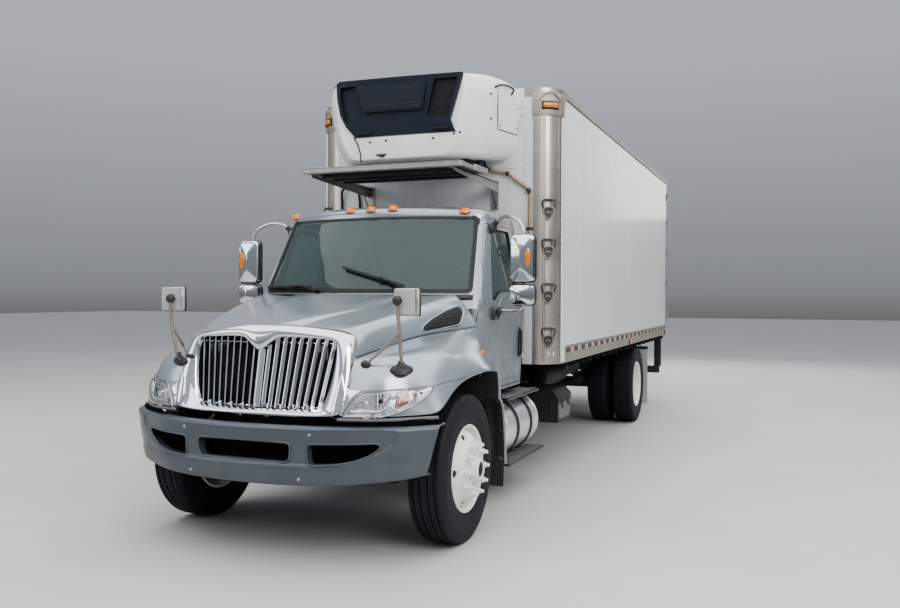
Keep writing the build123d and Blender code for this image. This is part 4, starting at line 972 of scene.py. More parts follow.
def bump_pt(u, v):
    """u 0..1 from the middle to the end, v 0..1 from foot to top."""
    xt = 1.168 * u
    xb = 1.092 * u
    x = lerp(xb, xt, v)
    z = lerp(bzb(xb), .888, v)
    y = by(lerp(x, xt, 0.5)) + 0.02 * (1 - v) + 0.015 * abs(v - 0.55)
    if z < .655:
        y -= 0.012 * math.sin(math.pi * max(0.0, (z - .52) / .135))
    rec = 1 - sstep(-0.012, 0.004, sdist(REC, x, z))
    y += 0.013 * rec
    if v > .915:
        y += .030 * ((v - .915) / .085) ** 2
    return x, y, z


rows = []
NV, NU = 44, 110
for i in range(NU + 1):
    u = i / NU
    r = []
    x, y, z = bump_pt(u, 0)
    r.append((x, y + 0.050, z + 0.006))
    r.append((x, y + 0.014, z - 0.001))
    for j in range(NV + 1):
        r.append(bump_pt(u, 0.012 + 0.976 * j / NV))
    x, y, z = bump_pt(u, 1)
    r.append((x, y + 0.010, z + 0.002))
    r.append((x, y + 0.055, z - 0.001))
    rows.append(r)
# the end wraps round
last = rows[-1]
rows.append([(p[0] + 0.004, p[1] + 0.006, p[2]) for p in last])
rows.append([(p[0] - 0.002, p[1] + 0.028, p[2]) for p in last])
bum = put("bumper_skin", *loft(rows), "bumper", "chassis", "bumper_grey", mirror=True, smooth=50)
md = bum.modifiers.new("t", "SOLIDIFY")
md.thickness, md.offset, md.use_even_offset = 0.007, -1.0, False
settle(bum, 50)


def rpoly(pts, r, n=5):
    out = []
    m = len(pts)
    for i in range(m):
        p, a, b2 = Vector(pts[i]), Vector(pts[i - 1]), Vector(pts[(i + 1) % m])
        da, db = (a - p), (b2 - p)
        rr = min(r, da.length * 0.45, db.length * 0.45)
        s, e = p + da.normalized() * rr, p + db.normalized() * rr
        for k in range(n + 1):
            t = k / n
            out.append(tuple((1 - t) ** 2 * s + 2 * t * (1 - t) * p + t * t * e))
    return out


OPM = rpoly([(-.348, .788), (.348, .788), (.334, .664), (-.334, .664)], .042, 7)
OPS = rpoly([(.448, .652), (.448, .784), (.66, .788), (.80, .790), (.852, .791), (.874, .774), (.856, .746), (.815, .715), (.745, .685), (.65, .664), (.55, .655)], .030, 4)
OPS2 = [(-a, b2) for a, b2 in OPS][::-1]
for poly in (OPM, OPS, OPS2):
    cut(bum, tool(*prism(poly, lambda p: (p[0], -1.2, p[1]), lambda p: (p[0], -.4, p[1]))))
A = Acc()
for poly, rr in ((OPM, .0075), (OPS, .0070), (OPS2, .0070)):
    pts = []
    for a, b2 in poly:
        t = (b2 - bzb(a)) / (.888 - bzb(a))
        u = abs(a) / lerp(1.092, 1.168, t)
        y = bump_pt(u, t)[1]
        pts.append(Vector((a, y - .001, b2)))
    A.add(sweep(pts, ring(rr, 10), up=(0, 1, 0), closed=True))
    cx = sum(p.x for p in pts) / len(pts)
    cz = sum(p.z for p in pts) / len(pts)
    back = [(lerp(p.x, cx, .03), p.y + .055, lerp(p.z, cz, .05)) for p in pts]
    A.add(loft([[tuple(p) for p in pts], back], closed=True))
A.out("bumper_lips", ["bumper"], body="chassis", slot="bumper_grey")
A = Acc()
for sx in (-1, 1):
    for bx, bz in ((.466, .838), (.402, .567)):
        t = (bz - bzb(bx)) / (.888 - bzb(bx))
        y = bump_pt(bx / lerp(1.092, 1.168, t), t)[1]
        A.add(cyl((sx * bx, y + .004, bz), (sx * bx, y - .004, bz), .011, 16))
        A.add(cyl((sx * bx, y - .002, bz), (sx * bx, y - .008, bz), .0065, 6))
A.out("bumper_bolts", ["plain_alloy"], body="chassis", slot="plain_alloy")
# strip and near-black filler between the fenders' foot and the bumper; the filler's black is painted shade
rows = []
for z, dy in ((.942, .004), (.936, -.010), (.922, -.010), (.915, .004), (.915, .03)):
    rows.append([(x, y + dy, z) for x, y in ((.60, -.742), (.727, -.708), (.857, -.658), (.971, -.577), (1.078, -.462), (1.146, -.388))])
put("valance", *loft(rows), "trim", "hood_body", "trim_plastic", mirror=True, solid=0.004, sub=1)
rows = []
for z, dy in ((.872, .055), (.845, .040), (.70, .075), (.56, .08)):
    rows.append([(x, by(x) + dy + .02, z + (.054 * sstep(.66, .82, x) if z > .80 else 0)) for x in [i * .0575 for i in range(20)]])
put("bumper_backing", *loft(rows), "void", "chassis", "dark_plastic", mirror=True, solid=0.005)
A = Acc()
for sx in (-1, 1):
    A.add(rbox(sx * .38 - .04, sx * .38 + .04, -.80, -.50, .72, .86, .006))
for x0 in (-.10, .10):
    A.add(spin([(0, 1e-5), (0, .016), (.004, .020), (.014, .021), (.016, .017), (.019, 1e-5)], (x0, -.735, .934), (0, -1, 0), 20), 1)
    A.add(spin([(0, .017), (0, .025), (.010, .026), (.017, .022), (.017, .018)], (x0, -.735, .934), (0, -1, 0), 20), 0)
A.out("nose_lamps", ["plastic", "bulb"], body="chassis", slot="dark_plastic")
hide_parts("front_bumper")

# dark plate that closes the arch towards the cab
A = Acc()
for flip in ((lambda vf: vf), mx):
    A.add(flip(rbox(.56, 1.010, .7155, .7205, .905, 1.128, .0015)))
    A.add(flip(rbox(1.006, 1.036, .7162, .7212, .905, 1.086, .0015)))
A.out("arch_rear_panel", ["plastic"], body="chassis", slot="dark_plastic")

# ------------------------------------------------------------------ wheels and tyres
FRONT_Y, REAR_Y, AXZ = 0.150, 6.450, 0.508
BARREL = [(-.106, .2868), (-.106, .2970), (-.112, .3008), (-.119, .2975), (-.1195, .289), (-.111, .280), (-.085, .268), (-.06, .262),
          (.03, .262), (.062, .264), (.088, .271), (.110, .281), (.1185, .289), (.1195, .2975), (.1135, .3008), (.107, .2975),
          (.106, .2868), (.060, .284), (.030, .270), (-.03, .268), (-.060, .284)]


def shift(prof, dx):
    return [(a + dx, r) for a, r in prof]


def turn_x(vf, cx, cy, cz, ang):
    c, s = math.cos(ang), math.sin(ang)
    return [(p[0], cy + (p[1] - cy) * c - (p[2] - cz) * s, cz + (p[1] - cy) * s + (p[2] - cz) * c) for p in vf[0]], vf[1]


def nut(A, x, cy, r, ang, side=1, k=0, kb=1, long=.026):
    """Wheel nut with its washer and stud, at radius r, pointing along x."""
    py, pz = cy + r * math.sin(ang), AXZ + r * math.cos(ang)
    A.add(spin([(0, 1e-5), (0, .0235), (.0035, .0235), (.0060, .0205), (.0060, 1e-5)], (x, py, pz), (side, 0, 0), 20), k)
    a = Acc()
    h = [(.0208 * math.cos(math.pi * i / 3 + ang), .0208 * math.sin(math.pi * i / 3 + ang)) for i in range(6)]
    h2 = [(u * .86, v * .86) for u, v in h]
    rows = [[(x + side * .006, py + u, pz + v) for u, v in h], [(x + side * (.006 + long * .86), py + u, pz + v) for u, v in h],
            [(x + side * (.006 + long), py + u, pz + v) for u, v in h2]]
    A.add(loft(rows, closed=True, caps=True), k)
    A.add(spin([(0, .0128), (.020, .0128), (.024, .0105), (.024, 1e-5)], (x + side * (long + .004), py, pz), (side, 0, 0), 14), kb)


def holes(ob, cx, cy, n, r, ry, rz, x0, x1, off=0.0):
    """Oval hand holes through a disc."""
    A = Acc()
    for i in range(n):
        a = 2 * math.pi * i / n + off
        ov = [(r + rz * math.cos(2 * math.pi * k / 24), ry * math.sin(2 * math.pi * k / 24)) for k in range(24)]
        pts = [(cy + u * math.sin(a) + w2 * math.cos(a), AXZ + u * math.cos(a) - w2 * math.sin(a)) for u, w2 in ov]
        A.add(prism(pts, lambda p: (x0, p[0], p[1]), lambda p: (x1, p[0], p[1])))
    cut(ob, tool(A.v, A.f))


STEER = [(.1054, .2866), (.1054, .2990), (.1110, .3030), (.1135, .3050), (.1165, .3120), (.1205, .3230), (.1212, .3236), (.1212, .3280), (.1222, .3290),
         (.1262, .3520), (.1274, .3570), (.1282, .3572), (.1286, .3600), (.1282, .3630), (.1292, .3760), (.1306, .4000), (.1310, .4180), (.1300, .4420), (.1298, .4430),
         (.1302, .4450), (.1292, .4470), (.1270, .4560), (.1262, .4565), (.1262, .4600), (.1240, .4640), (.1200, .4780), (.1192, .4785), (.1188, .4820),
         (.1155, .4900), (.1105, .4980), (.1020, .5045), (.0930, .5065), (.0925, .5045), (.0905, .5045), (.0900, .5068),
         (.0795, .5074), (.0780, .4950), (.0720, .4950), (.0705, .5076), (.0330, .5080), (.0315, .4955), (.0250, .4955), (.0235, .5080), (0, .5080)]
DRIVE = [(.1054, .2866), (.1054, .2990), (.1135, .3050), (.1165, .3120), (.1205, .3230), (.1212, .3280), (.1262, .3520), (.1282, .3572), (.1286, .3600),
         (.1282, .3630), (.1306, .4000), (.1310, .4180), (.1300, .4420), (.1302, .4450), (.1270, .4560), (.1240, .4640), (.1190, .4750), (.1150, .4820),
         (.1080, .4905), (.1020, .4930), (.0500, .4950), (.0480, .4900), (.0420, .4900), (.0400, .4950), (0, .4952)]
CARCASS = [(.085, .2866), (.099, .318), (.113, .400), (.099, .465), (.076, .478), (0, .480)]


def tyre_ring(prof, cx, cy, seg=112):
    out = [(-a, r) for a, r in prof][:-1]
    loop = prof + out[::-1]
    inn = [(-a, r) for a, r in CARCASS][:-1]
    loop = loop + inn + CARCASS[::-1]
    return spin(shift(loop, cx), (0, cy, AXZ), (1, 0, 0), seg, closed=True)


def lugs(A, cx, cy, n=46):
    """Shoulder blocks and centre blocks of a drive tyre."""
    for i in range(n):
        a = 2 * math.pi * i / n
        for s in (-1, 1):
            v = [(cx + s * .056, -.0125, .492), (cx + s * .117, -.0125, .480), (cx + s * .117, .0125, .480), (cx + s * .056, .0125, .492),
                 (cx + s * .058, -.0105, .5070), (cx + s * .104, -.0105, .5055), (cx + s * .104, .0105, .5055), (cx + s * .058, .0105, .5070)]
            v += [(cx + s * .1175, -.0105, .4860), (cx + s * .1175, .0105, .4860)]
            v = [(p[0], cy + p[1], AXZ + p[2]) for p in v]
            f = [(0, 3, 2, 1), (4, 5, 6, 7), (0, 4, 7, 3), (5, 8, 9, 6), (8, 1, 2, 9), (0, 1, 8, 5, 4), (3, 7, 6, 9, 2)]
            A.add(turn_x((v, f), cx, cy, AXZ, a + (s * .5 / n * math.pi)), 0)
        v, f = rbox(cx - .036, cx + .036, cy - .0125, cy + .0125, AXZ + .490, AXZ + .5078, .003)
        A.add(turn_x((v, f), cx, cy, AXZ, a), 0)


for sx, side in ((1, "left"), (-1, "right")):
    flip = (lambda vf: vf) if sx > 0 else mx
    # front wheel: the disc bulges out past the rim
    X = 1.015
    A = Acc()
    A.add(flip(spin(shift(BARREL, X), (0, FRONT_Y, AXZ), (1, 0, 0), 96, closed=True)), 0)
    disc = [(.058, .2655), (.072, .266), (.0835, .2605), (.0955, .249), (.111, .232), (.128, .2125), (.140, .2020), (.1495, .1965), (.1535, .190),
            (.1535, .113), (.1425, .113), (.1425, .185), (.134, .192), (.120, .203), (.101, .222), (.086, .239), (.070, .250), (.058, .253)]
    D = Acc()
    D.add(flip(spin(shift(disc, X), (0, FRONT_Y, AXZ), (1, 0, 0), 96, closed=True)), 0)
    d = D.out("wheel_disc_front_" + side, ["wheel"], body=side + "_front_wheel_body", slot="white_wheel", smooth=35)
    holes(d, X, FRONT_Y, 5, .2300, .0265, .0175, sx * (X + .03), sx * (X + .20), off=-.30)
    d.modifiers.new("b", "BEVEL").width = .003
    d.modifiers["b"].segments, d.modifiers["b"].angle_limit = 2, math.radians(50)
    # hub, cap and nuts
    A.add(flip(spin([(.150, .113), (.156, .1125), (.160, .1085), (.163, .090), (.170, .084), (.198, .0795), (.207, .076), (.2125, .069), (.2135, .058),
                     (.210, .054), (.200, .053), (.200, 1e-5)], (X, FRONT_Y, AXZ), (1, 0, 0), 64)), 0)
    A.add(flip(spin([(.1995, 1e-5), (.2005, .050), (.206, .048), (.207, .034), (.2045, .032), (.2045, .014), (.207, .012), (.207, 1e-5)], (X, FRONT_Y, AXZ), (1, 0, 0), 48)), 2)
    for i in range(6):
        a = math.pi * i / 3
        A.add(flip(cyl((X + .1665, FRONT_Y + .0985 * math.sin(a), AXZ + .0985 * math.cos(a)), (X + .158, FRONT_Y + .0985 * math.sin(a), AXZ + .0985 * math.cos(a)), .0085, 6)), 1)
    for i in range(10):
        a = 2 * math.pi * (i + .5) / 10
        N = Acc()
        nut(N, X + .1530, FRONT_Y, .1675, a, 1, 0, 0, long=.031)
        vf = flip((N.v, N.f))
        A.add(vf, 0)
    # valve stem
    A.add(flip(tube([(X + .098, FRONT_Y + .10, AXZ + .245), (X + .115, FRONT_Y + .105, AXZ + .242), (X + .135, FRONT_Y + .105, AXZ + .235)], .004, 8, 4)), 1)
    # drum
    A.add(flip(spin([(-.020, .100), (-.020, .206), (-.014, .212), (.004, .212), (.004, .206), (.030, .206), (.036, .212), (.044, .212), (.050, .206), (.090, .204),
                     (.112, .198), (.138, .180), (.138, .105), (.120, .100)], (X, FRONT_Y, AXZ), (1, 0, 0), 64, closed=True)), 3)
    w2 = A.out("steer_wheel_" + side, ["wheel", "plain_alloy", "seal", "cast"], body=side + "_front_wheel_body", slot="white_wheel", smooth=35)
    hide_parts("front_wheel_" + side)
    T = Acc()
    T.add(flip(tyre_ring(STEER, X, FRONT_Y, 128)), 0)
    t2 = T.out("steer_tyre_" + side, ["rubber"], body=side + "_front_wheel_body", slot="tyre_rubber", smooth=30)
    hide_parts("front_tyre_" + side)
    # rear pair
    XO, XI = 1.083, .753
    fx = (XO + XI) / 2
    A = Acc()
    A.add(flip(spin(shift(BARREL, XO), (0, REAR_Y, AXZ), (1, 0, 0), 96, closed=True)), 0)
    A.add(flip(spin([(-a + XI, r) for a, r in BARREL][::-1], (0, REAR_Y, AXZ), (1, 0, 0), 72, closed=True)), 0)
    d1 = [(XO - .052, .2655), (XO - .070, .266), (XO - .085, .258), (XO - .108, .235), (fx + .034, .205), (fx + .018, .192), (fx + .013, .184), (fx + .013, .113),
          (fx + .001, .113), (fx + .001, .190), (fx + .010, .200), (fx + .026, .212), (XO - .118, .243), (XO - .094, .266), (XO - .072, .274), (XO - .052, .274)]
    A.add(flip(spin([(2 * fx - a, r) for a, r in d1][::-1], (0, REAR_Y, AXZ), (1, 0, 0), 72, closed=True)), 0)
    A.add(flip(spin([(fx + .010, .115), (fx + .020, .114), (fx + .026, .108), (fx + .030, .100), (1.030, .094), (1.040, .096), (1.045, .108), (1.062, .110), (1.066, .106),
                     (1.068, .060), (1.072, .050), (1.080, .046), (1.082, 1e-5)], (0, REAR_Y, AXZ), (1, 0, 0), 64)), 0)
    for i in range(8):
        a = 2 * math.pi * i / 8
        A.add(flip(cyl((1.082, REAR_Y + .087 * math.sin(a), AXZ + .087 * math.cos(a)), (1.060, REAR_Y + .087 * math.sin(a), AXZ + .087 * math.cos(a)), .011, 6)), 1)
        A.add(flip(cyl((1.090, REAR_Y + .087 * math.sin(a), AXZ + .087 * math.cos(a)), (1.075, REAR_Y + .087 * math.sin(a), AXZ + .087 * math.cos(a)), .006, 10)), 1)
    for i in range(10):
        a = 2 * math.pi * (i + .5) / 10
        N = Acc()
        nut(N, fx + .0128, REAR_Y, .1675, a, 1, 0, 0, long=.030)
        A.add(flip((N.v, N.f)), 0)
    A.add(flip(spin([(.700, .120), (.700, .204), (.706, .211), (.726, .211), (.732, .205), (.845, .203), (.868, .180), (.880, .150), (fx - .014, .130), (fx - .014, .100), (.700, .100)],
                    (0, REAR_Y, AXZ), (1, 0, 0), 64, closed=True)), 2)
    w3 = A.out("drive_wheels_" + side, ["wheel", "plain_alloy", "cast"], body=side + "_rear_wheel_body", slot="white_wheel", smooth=35)
    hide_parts("rear_wheel_" + side)
    D = Acc()
    D.add(flip(spin(d1, (0, REAR_Y, AXZ), (1, 0, 0), 96, closed=True)), 0)
    d = D.out("wheel_disc_rear_" + side, ["wheel"], body=side + "_rear_wheel_body", slot="white_wheel", smooth=35)
    holes(d, XO, REAR_Y, 5, .2270, .0270, .0190, sx * (fx - .02), sx * (XO + .02), off=.2)
    T = Acc()
    for c in (XO, XI):
        T.add(flip(tyre_ring(DRIVE, c, REAR_Y, 96)), 0)
        L = Acc()
        lugs(L, c, REAR_Y)
        T.add(flip((L.v, L.f)), 0)
    T.add(flip(spin([(XI + .090, .300), (XI + .090, .372), (XO - .090, .372), (XO - .090, .300)], (0, REAR_Y, AXZ), (1, 0, 0), 56, closed=True)), 0)
    t3 = T.out("drive_tyres_" + side, ["rubber"], body=side + "_rear_wheel_body", slot="tyre_rubber", smooth=30)
    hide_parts("rear_tyres_" + side)

# ------------------------------------------------------------------ headlights
FT = tree_of(fen, sur, hood_top)


def at_y(px, py, y):
    """Point of the line of sight at a station along the truck."""
    d = ray(px, py)
    t = (y + YS - CAM.y) / d.y
    p = CAM + d * t
    return Vector((p.x, p.y - YS, p.z))


def on(px, py, off=0.0, tree=None):
    q = hit(tree or FT, px, py, off)
    if q is None:
        q = at_y(px, py, -.6)
    return q


def dense(poly, n=6, closed=True):
    out = []
    m = len(poly)
    for i in range(m if closed else m - 1):
        a, b2 = poly[i], poly[(i + 1) % m]
        for k in range(n):
            out.append((lerp(a[0], b2[0], k / n), lerp(a[1], b2[1], k / n)))
    if not closed:
        out.append(poly[-1])
    return out


def patch(poly, prof, cen=None, tree=None, n=5, cap=True):
    """A plate on a surface whose outline is given in the picture; prof is (share of outline, height)."""
    pts = dense(poly, n)
    cx = sum(p[0] for p in pts) / len(pts) if cen is None else cen[0]
    cy = sum(p[1] for p in pts) / len(pts) if cen is None else cen[1]
    rows = []
    for s, h in prof:
        rows.append([on(cx + (x - cx) * s, cy + (y - cy) * s, h, tree) for x, y in pts])
    v, f = loft(rows, closed=True)
    if cap:
        k = len(v)
        v = v + [tuple(on(cx, cy, prof[-1][1], tree))]
        m = len(pts)
        b0 = (len(rows) - 1) * m
        f = f + [(b0 + i, b0 + (i + 1) % m, k) for i in range(m)]
    return v, f


def both(A, vf, k=0):
    A.add(vf, k)
    A.add(mx(vf), k)


HL = rpoly([(341.0, 418.6), (347, 407.5), (360.6, 391.4), (380, 390.4), (400, 389.0), (418, 387.3), (432.6, 385.4), (433.6, 388.5), (429.5, 395.2), (414, 406.5), (399, 413.4), (387, 416.6), (368, 418.4)], 3.5, 3)
LZ = rpoly([(350.3, 412.6), (353.2, 405), (363.7, 394.6), (377, 393.6), (391.2, 393.6), (390.4, 402), (385.2, 409.4), (379, 412.6)], 3.0, 3)
SG = rpoly([(394.3, 408.2), (397.3, 395.3), (402.7, 392.3), (413.2, 390.8), (416.6, 394), (415.6, 400), (409.4, 404.6), (400.6, 408.2)], 2.6, 3)
A = Acc()
both(A, patch(HL, [(1.012, -.004), (1.012, .0035), (.985, .0035), (.985, -.004)], cap=False), 0)
both(A, patch(HL, [(.985, -.004), (.985, .012), (.975, .0165), (.955, .0185), (.92, .0165), (.885, .012), (.87, .010), (.5, .009), (.2, .009)], cen=(385, 403)), 1)
hlv = A.out("headlights_body", ["seal", "housing"], body="hood_body", slot="bright_chrome", smooth=50)
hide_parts("headlights")
A = Acc()
both(A, patch(LZ, [(1.04, .011), (1.03, .017), (1.0, .017), (.97, .013), (.9, .0115), (.4, .011)], cen=(372, 404)), 0)
for i in range(9):
    px = 374.5 + i * 1.75
    y0, y1 = 394.6, (409.8 if px < 386 else 401 + (390 - px) * 1.8)
    p = [on(px - i * .15, lerp(y0, y1, t / 5), .0140) for t in range(6)]
    both(A, tube(p, .0016, 6, 0), 1 if i % 2 else 0)
for cxp, cyp, rp in ((380.5, 401.8, 4.4), (366.5, 403.6, 6.6)):
    for k, rr in enumerate((1.0, .62)):
        p = [on(cxp + rp * rr * math.cos(2 * math.pi * t / 20), cyp + rp * .86 * rr * math.sin(2 * math.pi * t / 20), .0135 - k * .001) for t in range(20)]
        both(A, sweep(p, ring(.0016, 6), up=(0, -1, 0.2), closed=True), 0)
    b0 = on(cxp, cyp, .012)
    both(A, spin([(0, 1e-5), (0, .014), (.006, .013), (.010, .006), (.011, 1e-5)], b0, (.5, -.86, .1), 16), 1 if rp < 5 else 0)
A.out("headlight_reflectors", ["bulb", "seal"], body="hood_body", slot="bright_chrome", smooth=50)
A = Acc()
both(A, patch(SG, [(1.02, .010), (1.0, .0155), (.93, .0180), (.6, .0185), (.3, .0185)]), 0)
for i in range(5):
    yy = 394.5 + i * 2.7
    p = [on(397.5 + t * 2.4 + (0 if i < 3 else -.8), yy - t * .25, .0182) for t in range(7 if i < 4 else 4)]
    both(A, tube(p, .0013, 6, 0), 0)
TI = rpoly([(395.6, 407.4), (397.8, 396.2), (402.9, 393.6), (408.6, 392.8), (408.8, 401.6), (404.2, 405.4), (400.4, 407.4)], 1.6, 3)
both(A, patch(TI, [(1.0, .0165), (.97, .0196), (.6, .0200), (.3, .0200)]), 1)
both(A, patch(rpoly([(411.4, 393.2), (415.2, 393.0), (414.8, 397.6), (411.6, 398.0)], 1.2, 3), [(1.0, .0165), (.96, .0200), (.4, .0205)]), 1)
A.out("turn_lamps", ["bulb", "turn"], body="hood_body", slot="dark_plastic", smooth=50)
A = Acc()
both(A, patch(LZ, [(1.02, .016), (1.01, .0205), (.96, .0235), (.80, .0255), (.5, .0265), (.25, .0265)], cen=(371, 404)), 0)
both(A, patch(SG, [(1.03, .017), (1.01, .0225), (.94, .0250), (.6, .0265), (.3, .0265)]), 0)
A.out("headlight_glass", ["lens"], body="hood_body", slot="lamp_lens", smooth=60, solid=.0025)
A = Acc()
sc = on(420.3, 393.4, .014)
both(A, spin([(0, 1e-5), (0, .0075), (.003, .0065), (.004, 1e-5)], sc, (.62, -.76, .15), 14), 0)
WG = rpoly([(342.2, 372), (344.9, 384.5), (349.5, 389.6), (361, 391.0), (346.6, 407.0), (340.6, 418.8), (331, 419.2), (333, 402), (337.5, 386)], 1.4, 2)
both(A, patch(WG, [(1.0, -.004), (1.0, .004), (.93, .008), (.6, .0095), (.3, .0095)], cen=(343, 404)), 1)
A.out("grille_wings", ["seal", "chrome"], body="hood_body", slot="bright_chrome", smooth=60)

# ------------------------------------------------------------------ fender seam, vent and marker
A = Acc()
seam = [on(px, py, .0003) for px, py in dense([(433.4, 386.2), (440, 384.0), (449, 381.8), (458, 379.6), (466, 377.8)], 4, False)]
both(A, tube(seam, .0016, 6, 0), 0)
CR = tree_of(hood_top, fen)
cre = []
for i in range(60):
    y = lerp(-.578, .69, i / 59)
    x, z = table(H_XC, y)[0], table(H_ZR, y)[0]
    cre.append(Vector((x + .0035, y, z + .001)))
both(A, tube(cre, .0024, 6, 0), 0)
VT = [(421.0, 330.2), (423.5, 325.6), (432, 318.6), (445, 311.0), (458.4, 305.8), (462.6, 308), (463.8, 313), (460.6, 323.4), (456, 325.6), (440, 328.8), (425, 332.4)]
VR = rpoly(VT, 2.2, 3)
VTREE = tree_of(hood_top)
both(A, patch(VR, [(.93, .0008), (.90, .0016), (.5, .0016), (.2, .0016)], tree=VTREE, cen=(445, 319)), 0)
for i in range(5):
    yy = 311.5 + i * 3.6
    x0 = 461.5 - i * .6
    x1 = [447, 440, 434, 429, 427][i]
    p = [on(lerp(x0, x1, t / 6), yy + (t * .75), .0045, VTREE) for t in range(7)]
    both(A, tube(p, .0030, 6, 0), 1)
rimp = [on(x, y, .0025, VTREE) for x, y in dense(VR, 2)]
both(A, sweep(rimp, ring(.0052, 8), up=(1, 0, 0), closed=True), 2)
A.out("hood_vents", ["seal", "plastic", "silver"], body="hood_body", slot="dark_plastic", smooth=50)
A = Acc()
mk = Vector((1.058, .640, 1.272))
both(A, spin([(0, 1e-5), (0, .022), (.004, .0235), (.010, .019), (.013, .008), (.0135, 1e-5)], mk, (.93, 0, .35), 20), 0)
both(A, spin([(-.004, .018), (-.004, .0265), (.003, .0265), (.004, .022)], mk, (.93, 0, .35), 20), 1)
A.out("fender_markers", ["amber", "plastic"], body="hood_body", slot="dark_plastic")

# ------------------------------------------------------------------ hood mirrors
A = Acc()


def hood_mirror(ft, bs, ball, dy, mt, br, cp, cs, hd, bend=None):
    """One mirror from its places in the picture: foot, foot size, ball, lean, brace, cap and head corners."""
    foot = on(ft[0], ft[1], 0)
    top = at_y(ball[0], ball[1], foot.y + dy)
    p0 = on(ft[0] - .8, ft[1] - 2.0, .028)
    md = p0.lerp(top, mt) if bend is None else at_y(bend[0], bend[1], lerp(p0.y, top.y, mt))
    A.add(tube([p0, p0.lerp(md, .5), md, md.lerp(top, .5), top], .0110, 14, 5), 0)
    cap = on(cp[0], cp[1], .006)
    c1 = on(br[0], br[1], .028)
    A.add(tube([md, md.lerp(c1, .6), c1, cap + (cap - c1) * .05], .0100, 12, 6), 0)
    A.add(spin([(-.012, .0125), (.012, .013)], md, (0, .1, 1), 16), 0)
    el = [(ft[0] + bs[0] * math.cos(math.pi * i / 16), ft[1] + bs[1] * math.sin(math.pi * i / 16)) for i in range(32)]
    A.add(patch(el, [(1.03, -.006), (1.03, .006), (.97, .012), (.82, .016), (.62, .022), (.42, .032), (.27, .042), (.16, .050), (.06, .052)], n=1), 1)
    ax = (md - foot).normalized()
    A.add(spin([(-.012, bs[0] * .0054), (.010, bs[0] * .0045), (.028, bs[0] * .0031), (.046, bs[0] * .0021), (.062, .015), (.065, 1e-5)], foot, ax, 24), 1)
    el = [(cp[0] + cs[0] * math.cos(math.pi * i / 12), cp[1] + cs[1] * math.sin(math.pi * i / 12)) for i in range(24)]
    A.add(patch(el, [(1.0, -.004), (1.0, .008), (.85, .016), (.5, .026), (.2, .030)], n=1), 1)
    A.add(spin([(-.030, 1e-5), (-.028, .014), (-.018, .025), (0, .0305), (.018, .025), (.028, .014), (.030, 1e-5)], top, (0, 0, 1), 24), 1)
    xl, xr = at_y(hd[0], hd[2], top.y + .03).x, at_y(hd[1], hd[2], top.y + .03).x
    zt, zb = at_y(lerp(hd[0], hd[1], .5), hd[2], top.y + .03).z, at_y(lerp(hd[0], hd[1], .5), hd[3], top.y + .03).z
    yh = top.y + .024
    A.add(rbox(xl, xr - .006, yh, yh + .030, zb, zt, .009), 2)
    A.add(rbox(xl - .002, xr, yh + .026, yh + .040, zb - .003, zt + .002, .006), 1)
    A.add(rbox(xr - .026, xr - .009, yh - .0025, yh + .012, zb + .004, zt - .004, .002), 3)
    A.add(rbox(xl + .010, xr - .010, yh + .034, yh + .0425, zb + .008, zt - .008, .003), 4)
    A.add(cyl(top + Vector((.0, .010, 0)), (top.x + .016, yh + .006, top.z - .002), .012, 12), 1)


hood_mirror((401.4, 370.4), (11.3, 5.4), (397.0, 300.6), -.075, .50, (370.5, 363.6), (365.8, 364.8), (5.2, 3.3), (393.9, 419.4, 288.2, 315.6))
hood_mirror((181.0, 361.4), (6.4, 4.2), (170.3, 298.3), -.03, .42, (186.5, 352.2), (191.0, 356.2), (3.6, 2.4), (161.5, 184.0, 287.0, 310.6), bend=(172.0, 325.0))
hm = A.out("hood_mirror_set", ["brown", "plastic", "head_beige", "alloy", "mirror"], body="hood_body", slot="dark_plastic", smooth=40)
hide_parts("hood_mirrors")

# ------------------------------------------------------------------ cab shell, doors and glass
CU = [(0.93, .935, .745, .742, .985, .800, 1.895), (1.55, .945, .745, .742, 1.004, .800, 1.950), (1.60, .948, .735, .530, 1.006, .800, 1.955),
      (1.75, .929, .812, .597, .985, .822, 1.951), (2.00, .898, .948, .729, .950, .858, 1.944), (2.25, .867, 1.083, .866, .916, .894, 1.937),
      (2.33, .857, 1.126, .915, .905, .905, 1.935)]


def lin(rows, z):
    if z <= rows[0][0]:
        return rows[0][1:]
    for a, b2 in zip(rows, rows[1:]):
        if z <= b2[0]:
            t = (z - a[0]) / (b2[0] - a[0])
            return [lerp(p, q, t) for p, q in zip(a[1:], b2[1:])]
    return rows[-1][1:]


def front_y(x, z):
    xf, yf, yc = lin(CU, z)[:3]
    return yc + (yf - yc) * (x / xf) ** 2


def plan(z, ins=0.0, ins_x=None):
    """Half outline of the cab at a height, from the middle of the front round to the middle of the rear."""
    xf, yf, yc, hw, ys, yr = lin(CU, z)
    ix = ins if ins_x is None else ins_x
    hw2, xf2 = hw - ix, xf - ix * .9
    pts = []
    for i in range(9):
        x = xf2 * .955 * i / 8
        pts.append((x, yc + (yf - yc) * (x / xf) ** 2 + ins))
    ye = pts[-1][1]
    ys2 = ye + .115
    for k in range(1, 6):
        t = k / 6
        p0, p1, p2 = Vector((xf2 * .955, ye)), Vector((hw2 - .004, ye + .022)), Vector((hw2, ys2))
        q = (1 - t) ** 2 * p0 + 2 * t * (1 - t) * p1 + t * t * p2
        pts.append((q.x, q.y))
    for k in range(9):
        pts.append((hw2, lerp(ys2, yr - .10, k / 8)))
    for k in range(1, 5):
        a = k / 5 * math.pi / 2
        r = .10 - ins * .5
        pts.append((hw2 - r + r * math.cos(a), yr - ins - r + r * math.sin(a)))
    for k in range(5):
        pts.append((lerp(hw2 - .10, 0, k / 4), yr - ins))
    return pts


